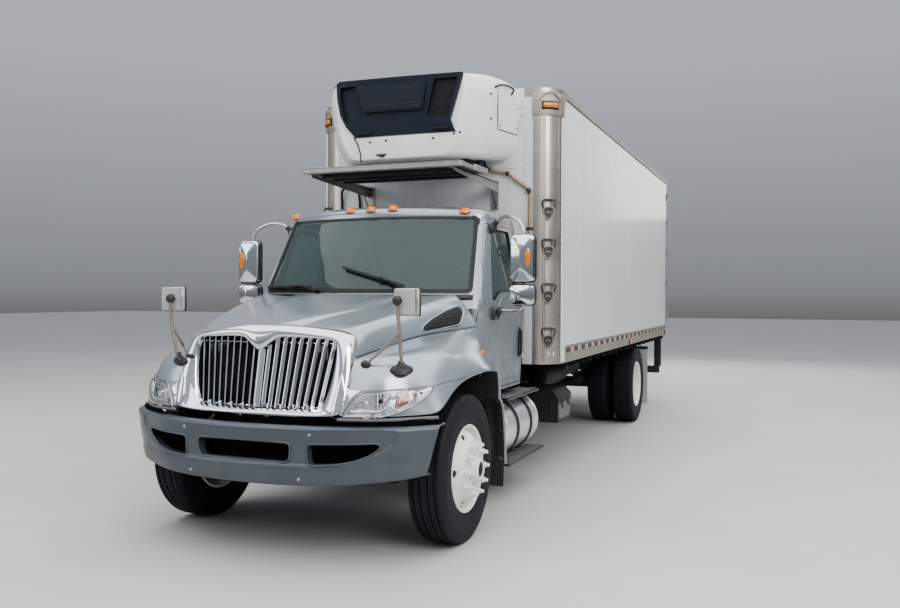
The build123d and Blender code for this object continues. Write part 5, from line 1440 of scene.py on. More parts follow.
def cab_rows(ins, z0, z1, crown):
    rows = []
    zs = [z0, 1.10, 1.30, 1.50, 1.555, 1.595, 1.68, 1.75, 1.85, 2.00, 2.12, 2.25]
    for z in [q for q in zs if q >= z0]:
        rows.append([(x, y, z) for x, y in plan(z, ins)])
    base = plan(2.33, ins)
    cyy = 1.45
    for s, z in crown:
        rows.append([(x * s, cyy + (y - cyy) * (1 - (1 - s) * 1.05), z + .012 * (1 - (x / .9) ** 2)) for x, y in base])
    return rows


def closed_half(rows):
    """Full shape from half rows (start and end lie on the centre plane)."""
    full = [r + [(-x, y, z) for x, y, z in r[-2:0:-1]] for r in rows]
    return loft(full, closed=True, caps=True)


OUT_C = [(1.0, 2.290), (.999, 2.325), (.992, 2.352), (.975, 2.374), (.945, 2.390), (.88, 2.402), (.70, 2.411), (.40, 2.415)]
INN_C = [(1.0, 2.270), (.985, 2.310), (.95, 2.335), (.88, 2.347), (.60, 2.354)]
DOORP = rpoly([(.772, .958), (1.788, .958), (1.788, 1.61), (1.742, 2.270), (1.120, 2.270), (1.0, 2.05), (.855, 1.737), (.828, 1.64), (.772, 1.58)], .035, 4)
GLASSP = rpoly([(1.032, 1.652), (1.110, 1.655), (1.180, 1.690), (1.260, 1.722), (1.712, 1.728), (1.680, 2.236), (1.212, 2.236), (1.118, 1.96)], .035, 4)
SCR = rpoly([(-.924, 1.708), (.924, 1.708), (.852, 2.326), (-.852, 2.326)], .05, 5)
REARW = rpoly([(-.42, 1.78), (.42, 1.78), (.42, 2.18), (-.42, 2.18)], .05, 4)


def inset(poly, d):
    out = []
    m = len(poly)
    for i in range(m):
        a, b2, c = Vector(poly[i - 1]), Vector(poly[i]), Vector(poly[(i + 1) % m])
        e1, e2 = (b2 - a), (c - b2)
        if e1.length < 1e-6:
            e1 = e2
        if e2.length < 1e-6:
            e2 = e1
        t = (e1.normalized() + e2.normalized())
        t = t.normalized() if t.length > 1e-6 else e1.normalized()
        out.append((b2.x - t.y * d, b2.y + t.x * d))
    return out


def area2(poly):
    return sum(poly[i - 1][0] * poly[i][1] - poly[i][0] * poly[i - 1][1] for i in range(len(poly))) / 2


def grow(poly, d):
    """Moves an outline outward by d."""
    return inset(poly, -d if area2(poly) > 0 else d)


def shell_of(z0, name, body):
    ob = put(name, *closed_half(cab_rows(0.0, z0, 2.33, OUT_C)), "silver_cab", body, "silver_paint", smooth=32)
    cut(ob, tool(*closed_half(cab_rows(.042, z0 + .045, 2.33, INN_C))))
    return ob


cab = shell_of(.93, "cab_body", "chassis")
dp = grow(DOORP, .004)
cut(cab, tool(*prism(dp, lambda p: (-1.3, p[0], p[1]), lambda p: (1.3, p[0], p[1]))))
cut(cab, tool(*prism(SCR, lambda p: (p[0], -.2, p[1]), lambda p: (p[0], 1.35, p[1]))))
cut(cab, tool(*prism(REARW, lambda p: (p[0], 1.7, p[1]), lambda p: (p[0], 2.3, p[1]))))
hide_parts("cab_shell")
for sx, side in ((1, "left"), (-1, "right")):
    d = shell_of(.93, "door_skin_" + side, side + "_door_body")
    lo, hi = (.80, 1.3) if sx > 0 else (-1.3, -.80)
    cut(d, tool(*prism(grow(DOORP, -.002), lambda p: (lo, p[0], p[1]), lambda p: (hi, p[0], p[1]))), "INTERSECT")
    cut(d, tool(*prism(GLASSP, lambda p: (lo - .1, p[0], p[1]), lambda p: (hi + .1, p[0], p[1]))))
    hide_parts("door_" + side)


def side_x(y, z):
    """Outer face of the cab side."""
    hw = lin(CU, z)[3]
    xf, yf, yc = lin(CU, z)[:3]
    return hw


for sx, side in ((1, "left"), (-1, "right")):
    flip = (lambda vf: vf) if sx > 0 else mx
    bd = side + "_door_body"
    # glass
    g = grow(GLASSP, .008)
    A = Acc()
    rows = [[(side_x(y, z) - .018 - (.010 * max(0, (1.1 - y) / .2) if y < 1.1 else 0), y, z) for y, z in g],
            [(side_x(y, z) - .024 - (.010 * max(0, (1.1 - y) / .2) if y < 1.1 else 0), y, z) for y, z in g]]
    A.add(flip(loft(rows, closed=True, caps=True)))
    gl = A.out("door_window_" + side, ["glass"], body=bd, slot="tinted_glass", smooth=30)
    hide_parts("door_glass_" + side)
    # seals, trims, handle, lower crease and hinges
    A = Acc()
    pp = [Vector((side_x(y, z) - .010, y, z)) for y, z in grow(GLASSP, .002)]
    A.add(flip(sweep(pp, [(-.007, -.010), (.007, -.010), (.009, .004), (.004, .008), (-.009, .004)], up=(1, 0, 0), closed=True)), 0)
    hz = [(1.782 - .03, 1.295)]
    hy, hz0 = 1.735, 1.296
    ov = [(hy + .030 * math.cos(t * math.pi / 12), hz0 + .135 * math.sin(t * math.pi / 12)) for t in range(24)]
    A.add(flip(prism(ov, lambda p: (side_x(*p) - .004, p[0], p[1]), lambda p: (side_x(*p) + .005, lerp(hy, p[0], .94), lerp(hz0, p[1], .97)))), 0)
    ov2 = [(hy + .020 * math.cos(t * math.pi / 12), hz0 + .115 * math.sin(t * math.pi / 12)) for t in range(24)]
    A.add(flip(prism(ov2, lambda p: (side_x(*p) + .004, p[0], p[1]), lambda p: (side_x(*p) + .0075, lerp(hy, p[0], .8), lerp(hz0, p[1], .9)))), 1)
    A.add(flip(tube([(side_x(hy, 1.40) + .006, hy - .004, 1.405), (side_x(hy, 1.3) + .024, hy - .004, 1.385), (side_x(hy, 1.3) + .026, hy - .004, 1.295), (side_x(hy, 1.2) + .024, hy - .004, 1.205), (side_x(hy, 1.2) + .006, hy - .004, 1.186)], .0105, 12, 5)), 1)
    A.add(flip(cyl((side_x(1.70, 1.10) - .002, 1.700, 1.105), (side_x(1.70, 1.10) + .006, 1.700, 1.105), .013, 20)), 2)
    # sill step line in the skin
    sl2 = [Vector((side_x(y, z) + .0015, y, z)) for y, z in ((.80, 1.585), (.90, 1.592), (1.10, 1.597), (1.17, 1.612), (1.23, 1.655), (1.30, 1.682), (1.45, 1.690), (1.77, 1.692))]
    A.add(flip(tube(sl2, .0055, 8, 6, scale=lambda t: .25 + .75 * math.sin(math.pi * min(1, max(0, t))) ** .5 if 0 < t < 1 else .2)), 3)
    sl3 = [Vector((side_x(y, z) + .0008, y, z)) for y, z in ((.80, 1.010), (1.20, 1.010), (1.77, 1.010))]
    A.add(flip(tube(sl3, .0045, 8, 6, scale=lambda t: .3 + .7 * math.sin(math.pi * t) ** .3 if 0 < t < 1 else .3)), 3)
    # inner trim card with pull and pocket
    A.add(flip(rbox(.925, .945, .86, 1.74, 1.02, 1.60, .008)), 4)
    A.add(flip(rbox(.885, .930, 1.05, 1.60, 1.36, 1.42, .015)), 4)
    A.add(flip(rbox(.900, .930, 1.0, 1.5, 1.06, 1.20, .012)), 4)
    A.out("door_fittings_" + side, ["seal", "plastic", "plain_alloy", "silver_cab", "trim"], body=bd, slot="dark_plastic", smooth=45)

# windscreen, its black border and the rear window
A = Acc()
sc2 = grow(SCR, .004)
n = 26
zb, zt = 1.702, 2.332


def scr_half(z):
    return lerp(.931, .858, (z - zb) / (zt - zb))


rows = []
for i in range(15):
    z = lerp(zb, zt, i / 14)
    rows.append([(scr_half(z) * (2 * j / n - 1), front_y(scr_half(z) * (2 * j / n - 1), z) + .008, z) for j in range(n + 1)])
ws = put("windscreen", *loft(rows), "glass", "chassis", "tinted_glass", solid=.006, smooth=60)
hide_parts("cab_glass")
A = Acc()
ctr = [Vector((x, front_y(x, z) + .004, z)) for x, z in SCR]
inn = [Vector((x, front_y(x, z) + .0055, z)) for x, z in grow(SCR, -.030)]
inn2 = [Vector((x, front_y(x, z) + .0075, z)) for x, z in grow(SCR, -.030)]
out2 = [Vector((x, front_y(x, z) + .012, z)) for x, z in grow(SCR, .004)]
A.add(loft([out2, [Vector((x, front_y(x, z) - .0012, z)) for x, z in grow(SCR, .007)], ctr, inn, inn2], closed=True), 0)
# deeper band along the foot and head
for z0, z1 in ((1.708, 1.742), (2.306, 2.330)):
    rws = []
    for z in (z0, (z0 + z1) / 2, z1):
        h = scr_half(z) - .012
        rws.append([(h * (2 * j / n - 1), front_y(h * (2 * j / n - 1), z) + .0062, z) for j in range(n + 1)])
    A.add(loft(rws), 0)
A.add(rbox(-.42 - .012, .42 + .012, 1.918, 1.946, 1.768, 1.778, .004), 0)
rp = [Vector((x, 1.946, z)) for x, z in REARW]
A.add(sweep(rp, [(-.008, -.008), (.008, -.008), (.008, .010), (-.008, .010)], up=(0, 1, 0), closed=True), 0)
A.out("glass_borders", ["seal"], body="chassis", slot="dark_plastic", smooth=50)
A = Acc()
rg = grow(REARW, .003)
A.add(prism(rg, lambda p: (p[0], 1.930, p[1]), lambda p: (p[0], 1.936, p[1])))
A.out("rear_glass", ["glass"], body="chassis", slot="tinted_glass", smooth=30)
# cowl under the glass
A = Acc()
rows = []
for z, dy in ((1.708, .004), (1.702, -.010), (1.690, -.030), (1.664, -.040)):
    h = .935
    rows.append([(h * (2 * j / n - 1), front_y(h * (2 * j / n - 1), 1.72) + dy, z) for j in range(n + 1)])
A.add(loft(rows), 0)
for j in range(24):
    x = -.88 + j * .0235
    y = front_y(x, 1.72) - .034
    A.add(rbox(x, x + .006, y - .012, y + .012, 1.680, 1.700, .002), 0)
A.out("cowl_panel", ["plastic"], body="chassis", slot="dark_plastic", solid=.003, smooth=50)

# roof lamps: low teardrops on the front edge of the roof
CABT = tree_of(cab)
A = Acc()
for px, py in ((350.3, 210.6), (370.7, 209.6), (392.6, 208.3), (464.0, 211.0), (296.5, 217.0)):
    q = hit(CABT, px, py + 1.2, 0)
    if q is None:
        continue
    rows = []
    L, W, H = .120, .052, .050
    for i in range(13):
        t = i / 12
        rr = math.sin(math.pi * (.08 + .92 * t)) ** .55 if t < 1 else 0.05
        rows.append([(q.x + W * rr * math.cos(math.pi * k / 10), q.y - .030 + L * t, q.z - .004 + H * rr * math.sin(math.pi * k / 10) * (1 - .3 * t) + .10 * (t - .3) * L) for k in range(11)])
    A.add(loft(rows, closed=True, caps=True), 0)
    A.add(rbox(q.x - .036, q.x + .036, q.y - .024, q.y + .060, q.z - .012, q.z + .001, .004), 1)
A.out("roof_lamps", ["amber", "silver_cab"], body="chassis", slot="dark_plastic", smooth=50)

# wipers lying on the glass
A = Acc()


def gpt(x, z, off):
    """Point over the windscreen."""
    return Vector((x, front_y(x, z), z)) + Vector((0, -1, .45)).normalized() * off


for (x0, z0, x1, z1, ax, az) in ((.418, 1.760, -.130, 1.905, .455, 1.722), (-.395, 1.752, -.895, 1.748, -.33, 1.722)):
    N1 = 14
    pth = [gpt(lerp(x0, x1, i / N1), lerp(z0, z1, i / N1), .012) for i in range(N1 + 1)]
    A.add(sweep(pth, [(-.004, -.012), (.004, -.012), (.003, .006), (.008, .010), (.008, .018), (-.008, .018), (-.008, .010), (-.003, .006)], up=(0, -1, .4)), 0)
    m1 = pth[4]
    arm = [gpt(ax, az, .020), gpt(lerp(ax, m1.x, .35), lerp(az, m1.z, .35), .050), gpt(lerp(ax, m1.x, .75), lerp(az, m1.z, .75), .044), pth[5] + Vector((0, -.022, .01))]
    A.add(sweep(smooth_path(arm, 5), [(-.010, -.004), (.010, -.004), (.010, .004), (-.010, .004)], up=(0, -1, .4), scale=lambda t: 1 - .35 * t), 0)
    A.add(cyl(gpt(ax, az, -.02), gpt(ax, az, .045), .017, 20), 0)
    A.add(rbox(pth[5].x - .020, pth[5].x + .020, pth[5].y - .034, pth[5].y - .006, pth[5].z - .008, pth[5].z + .018, .004), 0)
wp = A.out("wiper_set", ["seal"], body="chassis", slot="dark_plastic", smooth=40)
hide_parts("wipers")

# ------------------------------------------------------------------ side mirrors
for sx, side in ((1, "left"), (-1, "right")):
    flip = (lambda vf: vf) if sx > 0 else mx
    bd = BODY_OF.get("side_mirror_" + side, "chassis")
    A = Acc()

    def head(x0, x1, y0, y1, z0, z1, r, k, dep):
        """Rounded shell, open to the rear where the glass sits."""
        o = rpoly([(x0, z0), (x1, z0), (x1, z1), (x0, z1)], r, 6)
        cx, cz = (x0 + x1) / 2, (z0 + z1) / 2
        prof = [(1.0, y1), (1.0, lerp(y0, y1, .35)), (.985, lerp(y0, y1, .15)), (.94, lerp(y0, y1, .04)), (.82, y0 + .001), (.55, y0 - dep * .7), (.25, y0 - dep)]
        rows = [[(cx + (x - cx) * (1 - (1 - s) * 1.25), y, cz + (z - cz) * (1 - (1 - s) * .8)) for x, z in o] for s, y in prof]
        v, f = loft(rows, closed=True)
        m = len(o)
        v.append((cx, y0 - dep * 1.05, cz))
        f += [((len(rows) - 1) * m + i, (len(rows) - 1) * m + (i + 1) % m, len(v) - 1) for i in range(m)]
        A.add(flip((v, f)), k)
        rim = [Vector((x, y1, z)) for x, z in o]
        A.add(flip(sweep(rim, [(-.006, -.006), (.006, -.006), (.006, .006), (-.006, .006)], up=(0, 1, 0), closed=True)), 1)
        ins = [(cx + (x - cx) * .95, cz + (z - cz) * .975) for x, z in o]
        A.add(flip(prism(ins, lambda p: (p[0], y1 - .006, p[1]), lambda p: (p[0], y1 - .001, p[1]))), 2)

    head(1.152, 1.344, .985, 1.052, 1.800, 2.165, .045, 0, .022)
    head(1.146, 1.344, .975, 1.052, 1.622, 1.778, .045, 0, .030)
    # black lower trim and marker on the shell
    A.add(flip(rbox(1.165, 1.332, .992, 1.046, 1.790, 1.812, .008)), 1)
    A.add(flip(rbox(1.336, 1.3448, .990, 1.050, 1.83, 2.13, .004)), 1)
    o = [(1.302 + .020 * math.cos(t * math.pi / 12), 1.990 + .070 * math.sin(t * math.pi / 12)) for t in range(24)]
    A.add(flip(loft([[(x, .972, z) for x, z in o], [(lerp(1.302, x, .96), .964, lerp(1.99, z, .98)) for x, z in o], [(lerp(1.302, x, .6), .958, lerp(1.99, z, .7)) for x, z in o],
                     [(lerp(1.302, x, .1), .957, lerp(1.99, z, .1)) for x, z in o]], closed=True, caps=True)), 3)
    A.add(flip(tube([(1.243, 1.060, 2.16), (1.243, 1.060, 1.70), (1.243, 1.060, 1.62)], .012, 14, 3)), 4)
    A.add(flip(tube([(.950, 1.205, 2.272), (1.020, 1.175, 2.312), (1.110, 1.125, 2.318), (1.195, 1.080, 2.276), (1.236, 1.062, 2.215), (1.243, 1.058, 2.150)], .0125, 14, 8)), 4)
    A.add(flip(tube([(1.020, 1.060, 1.578), (1.090, 1.058, 1.576), (1.160, 1.050, 1.577), (1.215, 1.046, 1.590), (1.241, 1.052, 1.625), (1.243, 1.058, 1.700)], .0125, 14, 8)), 4)
    for z in (1.83, 2.12, 1.655, 1.752):
        A.add(flip(cyl((1.243, 1.060, z - .014), (1.243, 1.060, z + .014), .0175, 14)), 1)
    # brackets on the pillar
    A.add(flip(rbox(.980, 1.036, .985, 1.125, 1.505, 1.608, .016)), 1)
    A.add(flip(rbox(1.026, 1.066, 1.020, 1.092, 1.545, 1.602, .012)), 1)
    A.add(flip(rbox(.885, .962, 1.160, 1.262, 2.198, 2.272, .018)), 1)
    A.add(flip(cyl((.925, 1.215, 2.245), (.985, 1.190, 2.292), .022, 16)), 1)
    for y, z in ((1.005, 1.522), (1.105, 1.522), (1.005, 1.592), (1.105, 1.592)):
        A.add(flip(cyl((1.034, y, z), (1.042, y, z), .0075, 6)), 5)
    sm = A.out("mirror_set_" + side, ["chrome", "plastic", "mirror", "amber", "alloy", "plain_alloy"], body=bd, slot="bright_chrome", smooth=45)
    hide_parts("side_mirror_" + side)


# ------------------------------------------------------------------ cooling unit
UN = [(1.392, .455, 2.872, .560, 3.062, .628, 3.430, .600, 3.566), (1.50, .545, 2.874, .632, 3.055, .712, 3.440, .680, 3.578),
      (1.640, .630, 2.880, .722, 3.045, .800, 3.440, .762, 3.588), (1.90, .712, 2.900, .808, 3.035, .868, 3.445, .822, 3.597), (2.149, .745, 2.930, .842, 3.030, .880, 3.455, .822, 3.600)]


def unit_sec(y, s=1.0, dz=0.0):
    hb, zb, hl, zl, hu, zu, ht, zt = table(UN, y)
    o = [(hb, zb), (hl, zl), (hu, zu), (ht, zt), (-ht, zt), (-hu, zu), (-hl, zl), (-hb, zb)]
    pts = rpoly(o, .062, 5)
    cz = (zb + zt) / 2
    return [(x * s, y, cz + (z - cz) * (s if dz == 0 else s)) for x, z in pts]


rows = [unit_sec(1.392, .955), unit_sec(1.394, .975), unit_sec(1.402, .990), unit_sec(1.420, 1.0)]
for y in (1.50, 1.58, 1.66, 1.76, 1.86, 1.96, 2.06, 2.149):
    rows.append(unit_sec(y))
v, f = loft(rows, closed=True, caps=True)
un = put("unit_shell", v, f, "unit", "chassis", "unit_white", smooth=42)
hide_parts("cooling_unit")

SL = [(337.6, 85.2), (340.5, 82.6), (349.5, 81.6), (400, 77.0), (461.9, 72.2), (459.2, 85), (454.4, 102), (449.6, 118.6), (450.8, 122.5), (454.8, 130.6), (420, 132.8), (380, 135.6), (354.9, 137.6), (346.5, 127.4), (341.3, 116), (338.4, 100)]
P3 = lambda px, py, y=1.372: (lambda q: (q.x, q.z))(at_y(px, py, y))
SLX = [P3(a, b2) for a, b2 in SL]
if area2(SLX) < 0:
    SLX = SLX[::-1]
sp = put("front_grille_panel", *prism(SLX, lambda p: (p[0], 1.402, p[1]), lambda p: (p[0], 1.350 + .03 * max(0, (3.2 - p[1]) / .1), p[1])), "slate", "chassis", "unit_slate", smooth=35)


def px_prism(poly, y0, y1, r=2.0, yp=1.352):
    q = [P3(a, b2, yp) for a, b2 in rpoly(poly, r, 4)]
    return prism(q, lambda p: (p[0], y0, p[1]), lambda p: (p[0], y1, p[1]))


RCR = [(434.1, 78.6), (457.6, 76.6), (448.2, 114.2), (426.0, 114.2)]
RCL = [(340.0, 88.8), (354.6, 86.0), (357.2, 106.0), (362.8, 120.6), (345.0, 121.8), (341.0, 106)]
cut(sp, tool(*px_prism(RCR, 1.30, 1.3875)))
cut(sp, tool(*px_prism(RCL, 1.30, 1.385)))
A = Acc()
padp = [(356.4, 87.4), (426.4, 81.0), (422.6, 109.2), (363.8, 113.0)]
A.add(px_prism(padp, 1.353, 1.338, 3.0), 0)
A.add(px_prism([(358.0, 89.0), (424.4, 82.8), (421.0, 107.6), (365.0, 111.2)], 1.340, 1.333, 3.0), 0)
for (a, b2, c, d) in ((361.4, 92.6, 423.0, 86.4), (365.4, 107.6, 418.2, 102.4)):
    A.add(px_prism([(a, b2 - .9), (c, d - .9), (c - .3, d + .8), (a + .3, b2 + .8)], 1.334, 1.3315, .5), 1)
for k in range(15):
    t = k / 14
    l0, l1 = (lerp(434.4, 426.4, t), lerp(79.4, 113.6, t)), (lerp(457.0, 448.4, t), lerp(77.4, 113.6, t))
    a3, b3 = at_y(l0[0], l0[1], 1.380), at_y(l1[0], l1[1], 1.380)
    A.add(tube([a3, a3.lerp(b3, .5), b3], .0032, 6, 0), 2)
for k in range(9):
    t = k / 8
    a3, b3 = at_y(lerp(434.6, 457.0, t), lerp(79.4, 77.4, t), 1.377), at_y(lerp(426.4, 448.4, t), 113.6, 1.377)
    A.add(tube([a3, a3.lerp(b3, .5), b3], .0025, 6, 0), 2)
A.add(px_prism([(433.6, 78.2), (458.0, 76.2), (448.6, 114.8), (425.6, 114.8)], 1.3845, 1.3895), 1)
for (x0, x1, y0) in ((357.5, 371.0, 134.2), (433.0, 448.5, 128.2)):
    A.add(px_prism([(x0, y0 - .8), (x1, y0 - 1.6), (x1, y0 - .2), (x0, y0 + .6)], 1.372, 1.352, .4, 1.36), 1)
sx_ = [Vector((x, 1.398, z)) for x, z in grow(SLX, .004)]
A.add(sweep(sx_, ring(.007, 8), up=(0, 1, 0), closed=True), 1)
A.out("front_grille_pads", ["slate", "seal", "plastic"], body="chassis", slot="unit_slate", bevel=.002, smooth=35)
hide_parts("unit_front_panel")
# seams, screws, latches, side access panel
UT = tree_of(un)
A = Acc()


def line_on(tree, pts, r, k, off=.0015, sub_n=5):
    q = [hit(tree, a, b2, off) for a, b2 in dense(pts, sub_n, False)]
    q = [p for p in q if p is not None]
    if len(q) > 2:
        A.add(tube(q, r, 6, 0), k)


line_on(UT, [(354.0, 137.6), (358.0, 145), (360.6, 154), (361.2, 161.6)], .006, 0)
line_on(UT, [(497.7, 90.6), (497.7, 129.0), (517.0, 135.2)], .004, 0)
line_on(UT, [(503.5, 86.5), (520.6, 92.4), (520.8, 112), (517.2, 134.8)], .0018, 2)
line_on(UT, [(462.4, 73.2), (455.0, 102), (449.8, 119), (455.0, 131)], .004, 0)
for px, py in ((386, 140.6), (433, 138), (453.7, 133.3), (459.8, 132.2), (491, 93.6), (491, 118.5), (500.2, 125.0), (517.0, 128.4), (517.6, 104.0), (518, 109), (370, 142.5)):
    q = hit(UT, px, py, 0)
    if q is not None:
        n1 = hit(UT, px, py, .01) - q
        A.add(spin([(0, 1e-5), (-.001, .011), (.005, .009), (.006, 1e-5)], q, n1, 12), 2 if px > 499 else 1)
q = hit(UT, 381.5, 154.8, .006)
if q is not None:
    A.add(rbox(q.x - .048, q.x + .048, q.y - .006, q.y + .014, q.z - .006, q.z + .006, .003), 1)
    A.add(rbox(q.x - .012, q.x + .030, q.y - .012, q.y + .010, q.z - .020, q.z + .004, .003), 1)
hp = [hit(UT, a, b2, .035) for a, b2 in ((496.5, 86.6), (503, 87.0), (510.2, 91.0))]
if all(p is not None for p in hp):
    h0, h1 = hit(UT, 495.0, 87.2, -.004), hit(UT, 511.4, 95.5, -.004)
    A.add(tube([h0] + hp + [h1], .0085, 10, 5), 1)
A.add(mx(tube([(.690, 1.58, 3.545), (.720, 1.58, 3.590), (.762, 1.70, 3.600), (.770, 1.74, 3.560)], .0085, 10, 5)), 1)
# under side outlet and a dark plate
A.add(cyl((.58, 1.88, 2.91), (.58, 1.88, 2.850), .035, 20), 1)
A.add(rbox(-.56, .56, 1.62, 2.06, 2.868, 2.885, .008), 0)
A.out("unit_fittings", ["seal", "plastic", "plain_alloy"], body="chassis", slot="dark_plastic", smooth=45)

# ------------------------------------------------------------------ walkway
A = Acc()


# beams under the deck; their black is painted shade under the walkway
for y0, y1 in ((1.150, 1.200), (1.330, 1.380), (1.520, 1.570)):
    A.add(rbox(-.600, .600, y0, y1, 2.700, 2.742, .003), 2)
A.add(rbox(-.730, .730, 1.020, 1.032, 2.726, 2.773, .003), 0)
A.add(rbox(-.730, .730, 1.020, 1.120, 2.764, 2.773, .002), 0)
A.add(rbox(-.730, .730, 1.020, 1.060, 2.726, 2.733, .002), 0)
for x0 in (-.730, .706):
    A.add(rbox(x0, x0 + .024, 1.032, 1.600, 2.735, 2.769, .003), 0)
A.add(rbox(-.730, .730, 1.576, 1.600, 2.735, 2.769, .003), 0)
A.add(rbox(.730, .760, 1.300, 1.600, 2.728, 2.776, .003), 0)
for k in range(4):
    y0 = 1.125 + k * .112
    A.add(rbox(-.708, .708, y0, y0 + .100, 2.757, 2.767, .002), 0)
    A.add(rbox(-.708, .708, y0, y0 + .004, 2.735, 2.760, .001), 0)
    A.add(rbox(-.708, .708, y0 + .096, y0 + .100, 2.735, 2.760, .001), 0)
for k in range(46):
    x = -.69 + k * .0307
    for y in (1.040, 1.075, 1.17, 1.285, 1.40, 1.51):
        A.add(spin([(0, .0095), (.004, .007), (.0042, 1e-5)], (x + (.015 if int(y * 100) % 2 else 0), y, 2.7665 if y > 1.11 else 2.7725), (0, 0, 1), 6), 0)
for sx in (-1, 1):
    xs = sorted((sx * .610, sx * .660))
    A.add(rbox(xs[0], xs[1], 1.030, 2.148, 2.722, 2.734, .002), 0)
    xw = sx * .656
    w2 = sorted((sx * .653, sx * .660))
    v, f = prism([(1.045, 2.732), (2.148, 2.732), (2.148, 2.640), (1.070, 2.700)], lambda p: (w2[0], p[0], p[1]), lambda p: (w2[1], p[0], p[1]))
    A.add((v, f), 0)
    A.add(sweep([Vector((sx * .650, 2.142, 2.500)), Vector((sx * .650, 2.02, 2.655))], [(-.010, -.003), (.010, -.003), (.010, .003), (-.010, .003)], up=(0, -.5, 1)), 0)
    A.add(rbox(xs[0] - .012, xs[1] + .012, 2.136, 2.150, 2.480, 2.740, .003), 0)
    for z in (2.50, 2.55, 2.67, 2.72):
        A.add(cyl((sx * .635, 2.140, z), (sx * .635, 2.126, z), .011, 6), 1)
wk = A.out("service_walkway", ["plain_alloy", "cast", "black"], body="chassis", slot="plain_alloy", smooth=35)
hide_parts("walkway")

# ------------------------------------------------------------------ hoses and their clips
A = Acc()
r1 = [(.530, 2.112, 2.917), (.540, 2.112, 2.880), (.570, 2.124, 2.848), (.660, 2.126, 2.826), (.760, 2.126, 2.806), (.860, 2.126, 2.728), (.968, 2.126, 2.640), (.974, 2.126, 2.50), (.972, 2.127, 2.20), (.970, 2.127, 1.98), (.968, 2.140, 1.950), (.966, 2.158, 1.940)]
A.add(tube(r1, .0155, 14, 7), 0)
A.add(tube([(.530, 2.110, 2.925), (.534, 2.106, 2.895), (.552, 2.112, 2.866), (.590, 2.122, 2.842)], .021, 14, 6), 1)
A.add(cyl((.745, 2.126, 2.811), (.775, 2.126, 2.799), .021, 12), 1)
A.add(cyl((.955, 2.126, 2.662), (.972, 2.126, 2.618), .021, 12), 1)
for z in (2.30, 2.02):
    A.add(rbox(.944, 1.0, 2.108, 2.146, z - .012, z + .012, .004), 1)
A.add(tube([(-.945, 2.128, 2.440), (-.945, 2.124, 2.60), (-.938, 2.108, 2.700), (-.895, 2.102, 2.748), (-.850, 2.102, 2.756), (-.800, 2.104, 2.745), (-.757, 2.112, 2.690), (-.750, 2.124, 2.60), (-.750, 2.128, 2.440)], .013, 14, 7), 1)
for x in (-.945, -.750):
    A.add(rbox(x - .024, x + .024, 2.112, 2.148, 2.46, 2.485, .004), 1)
ho = A.out("hose_runs", ["hose", "plastic"], body="chassis", slot="flap_rubber", smooth=60)
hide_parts("hoses")

# ------------------------------------------------------------------ box: posts, rails, rivets, lamps, tape
XW, YF, PR, Z0, Z1 = 1.220, 2.150, .230, 1.073, 3.570
PCX, PCY = XW - PR, YF + PR


def post_pt(a, off, z):
    """Point on the rounded corner, a degrees from the front face."""
    t = math.radians(a)
    return Vector((PCX + (PR + off) * math.sin(t), PCY - (PR + off) * math.cos(t), z))


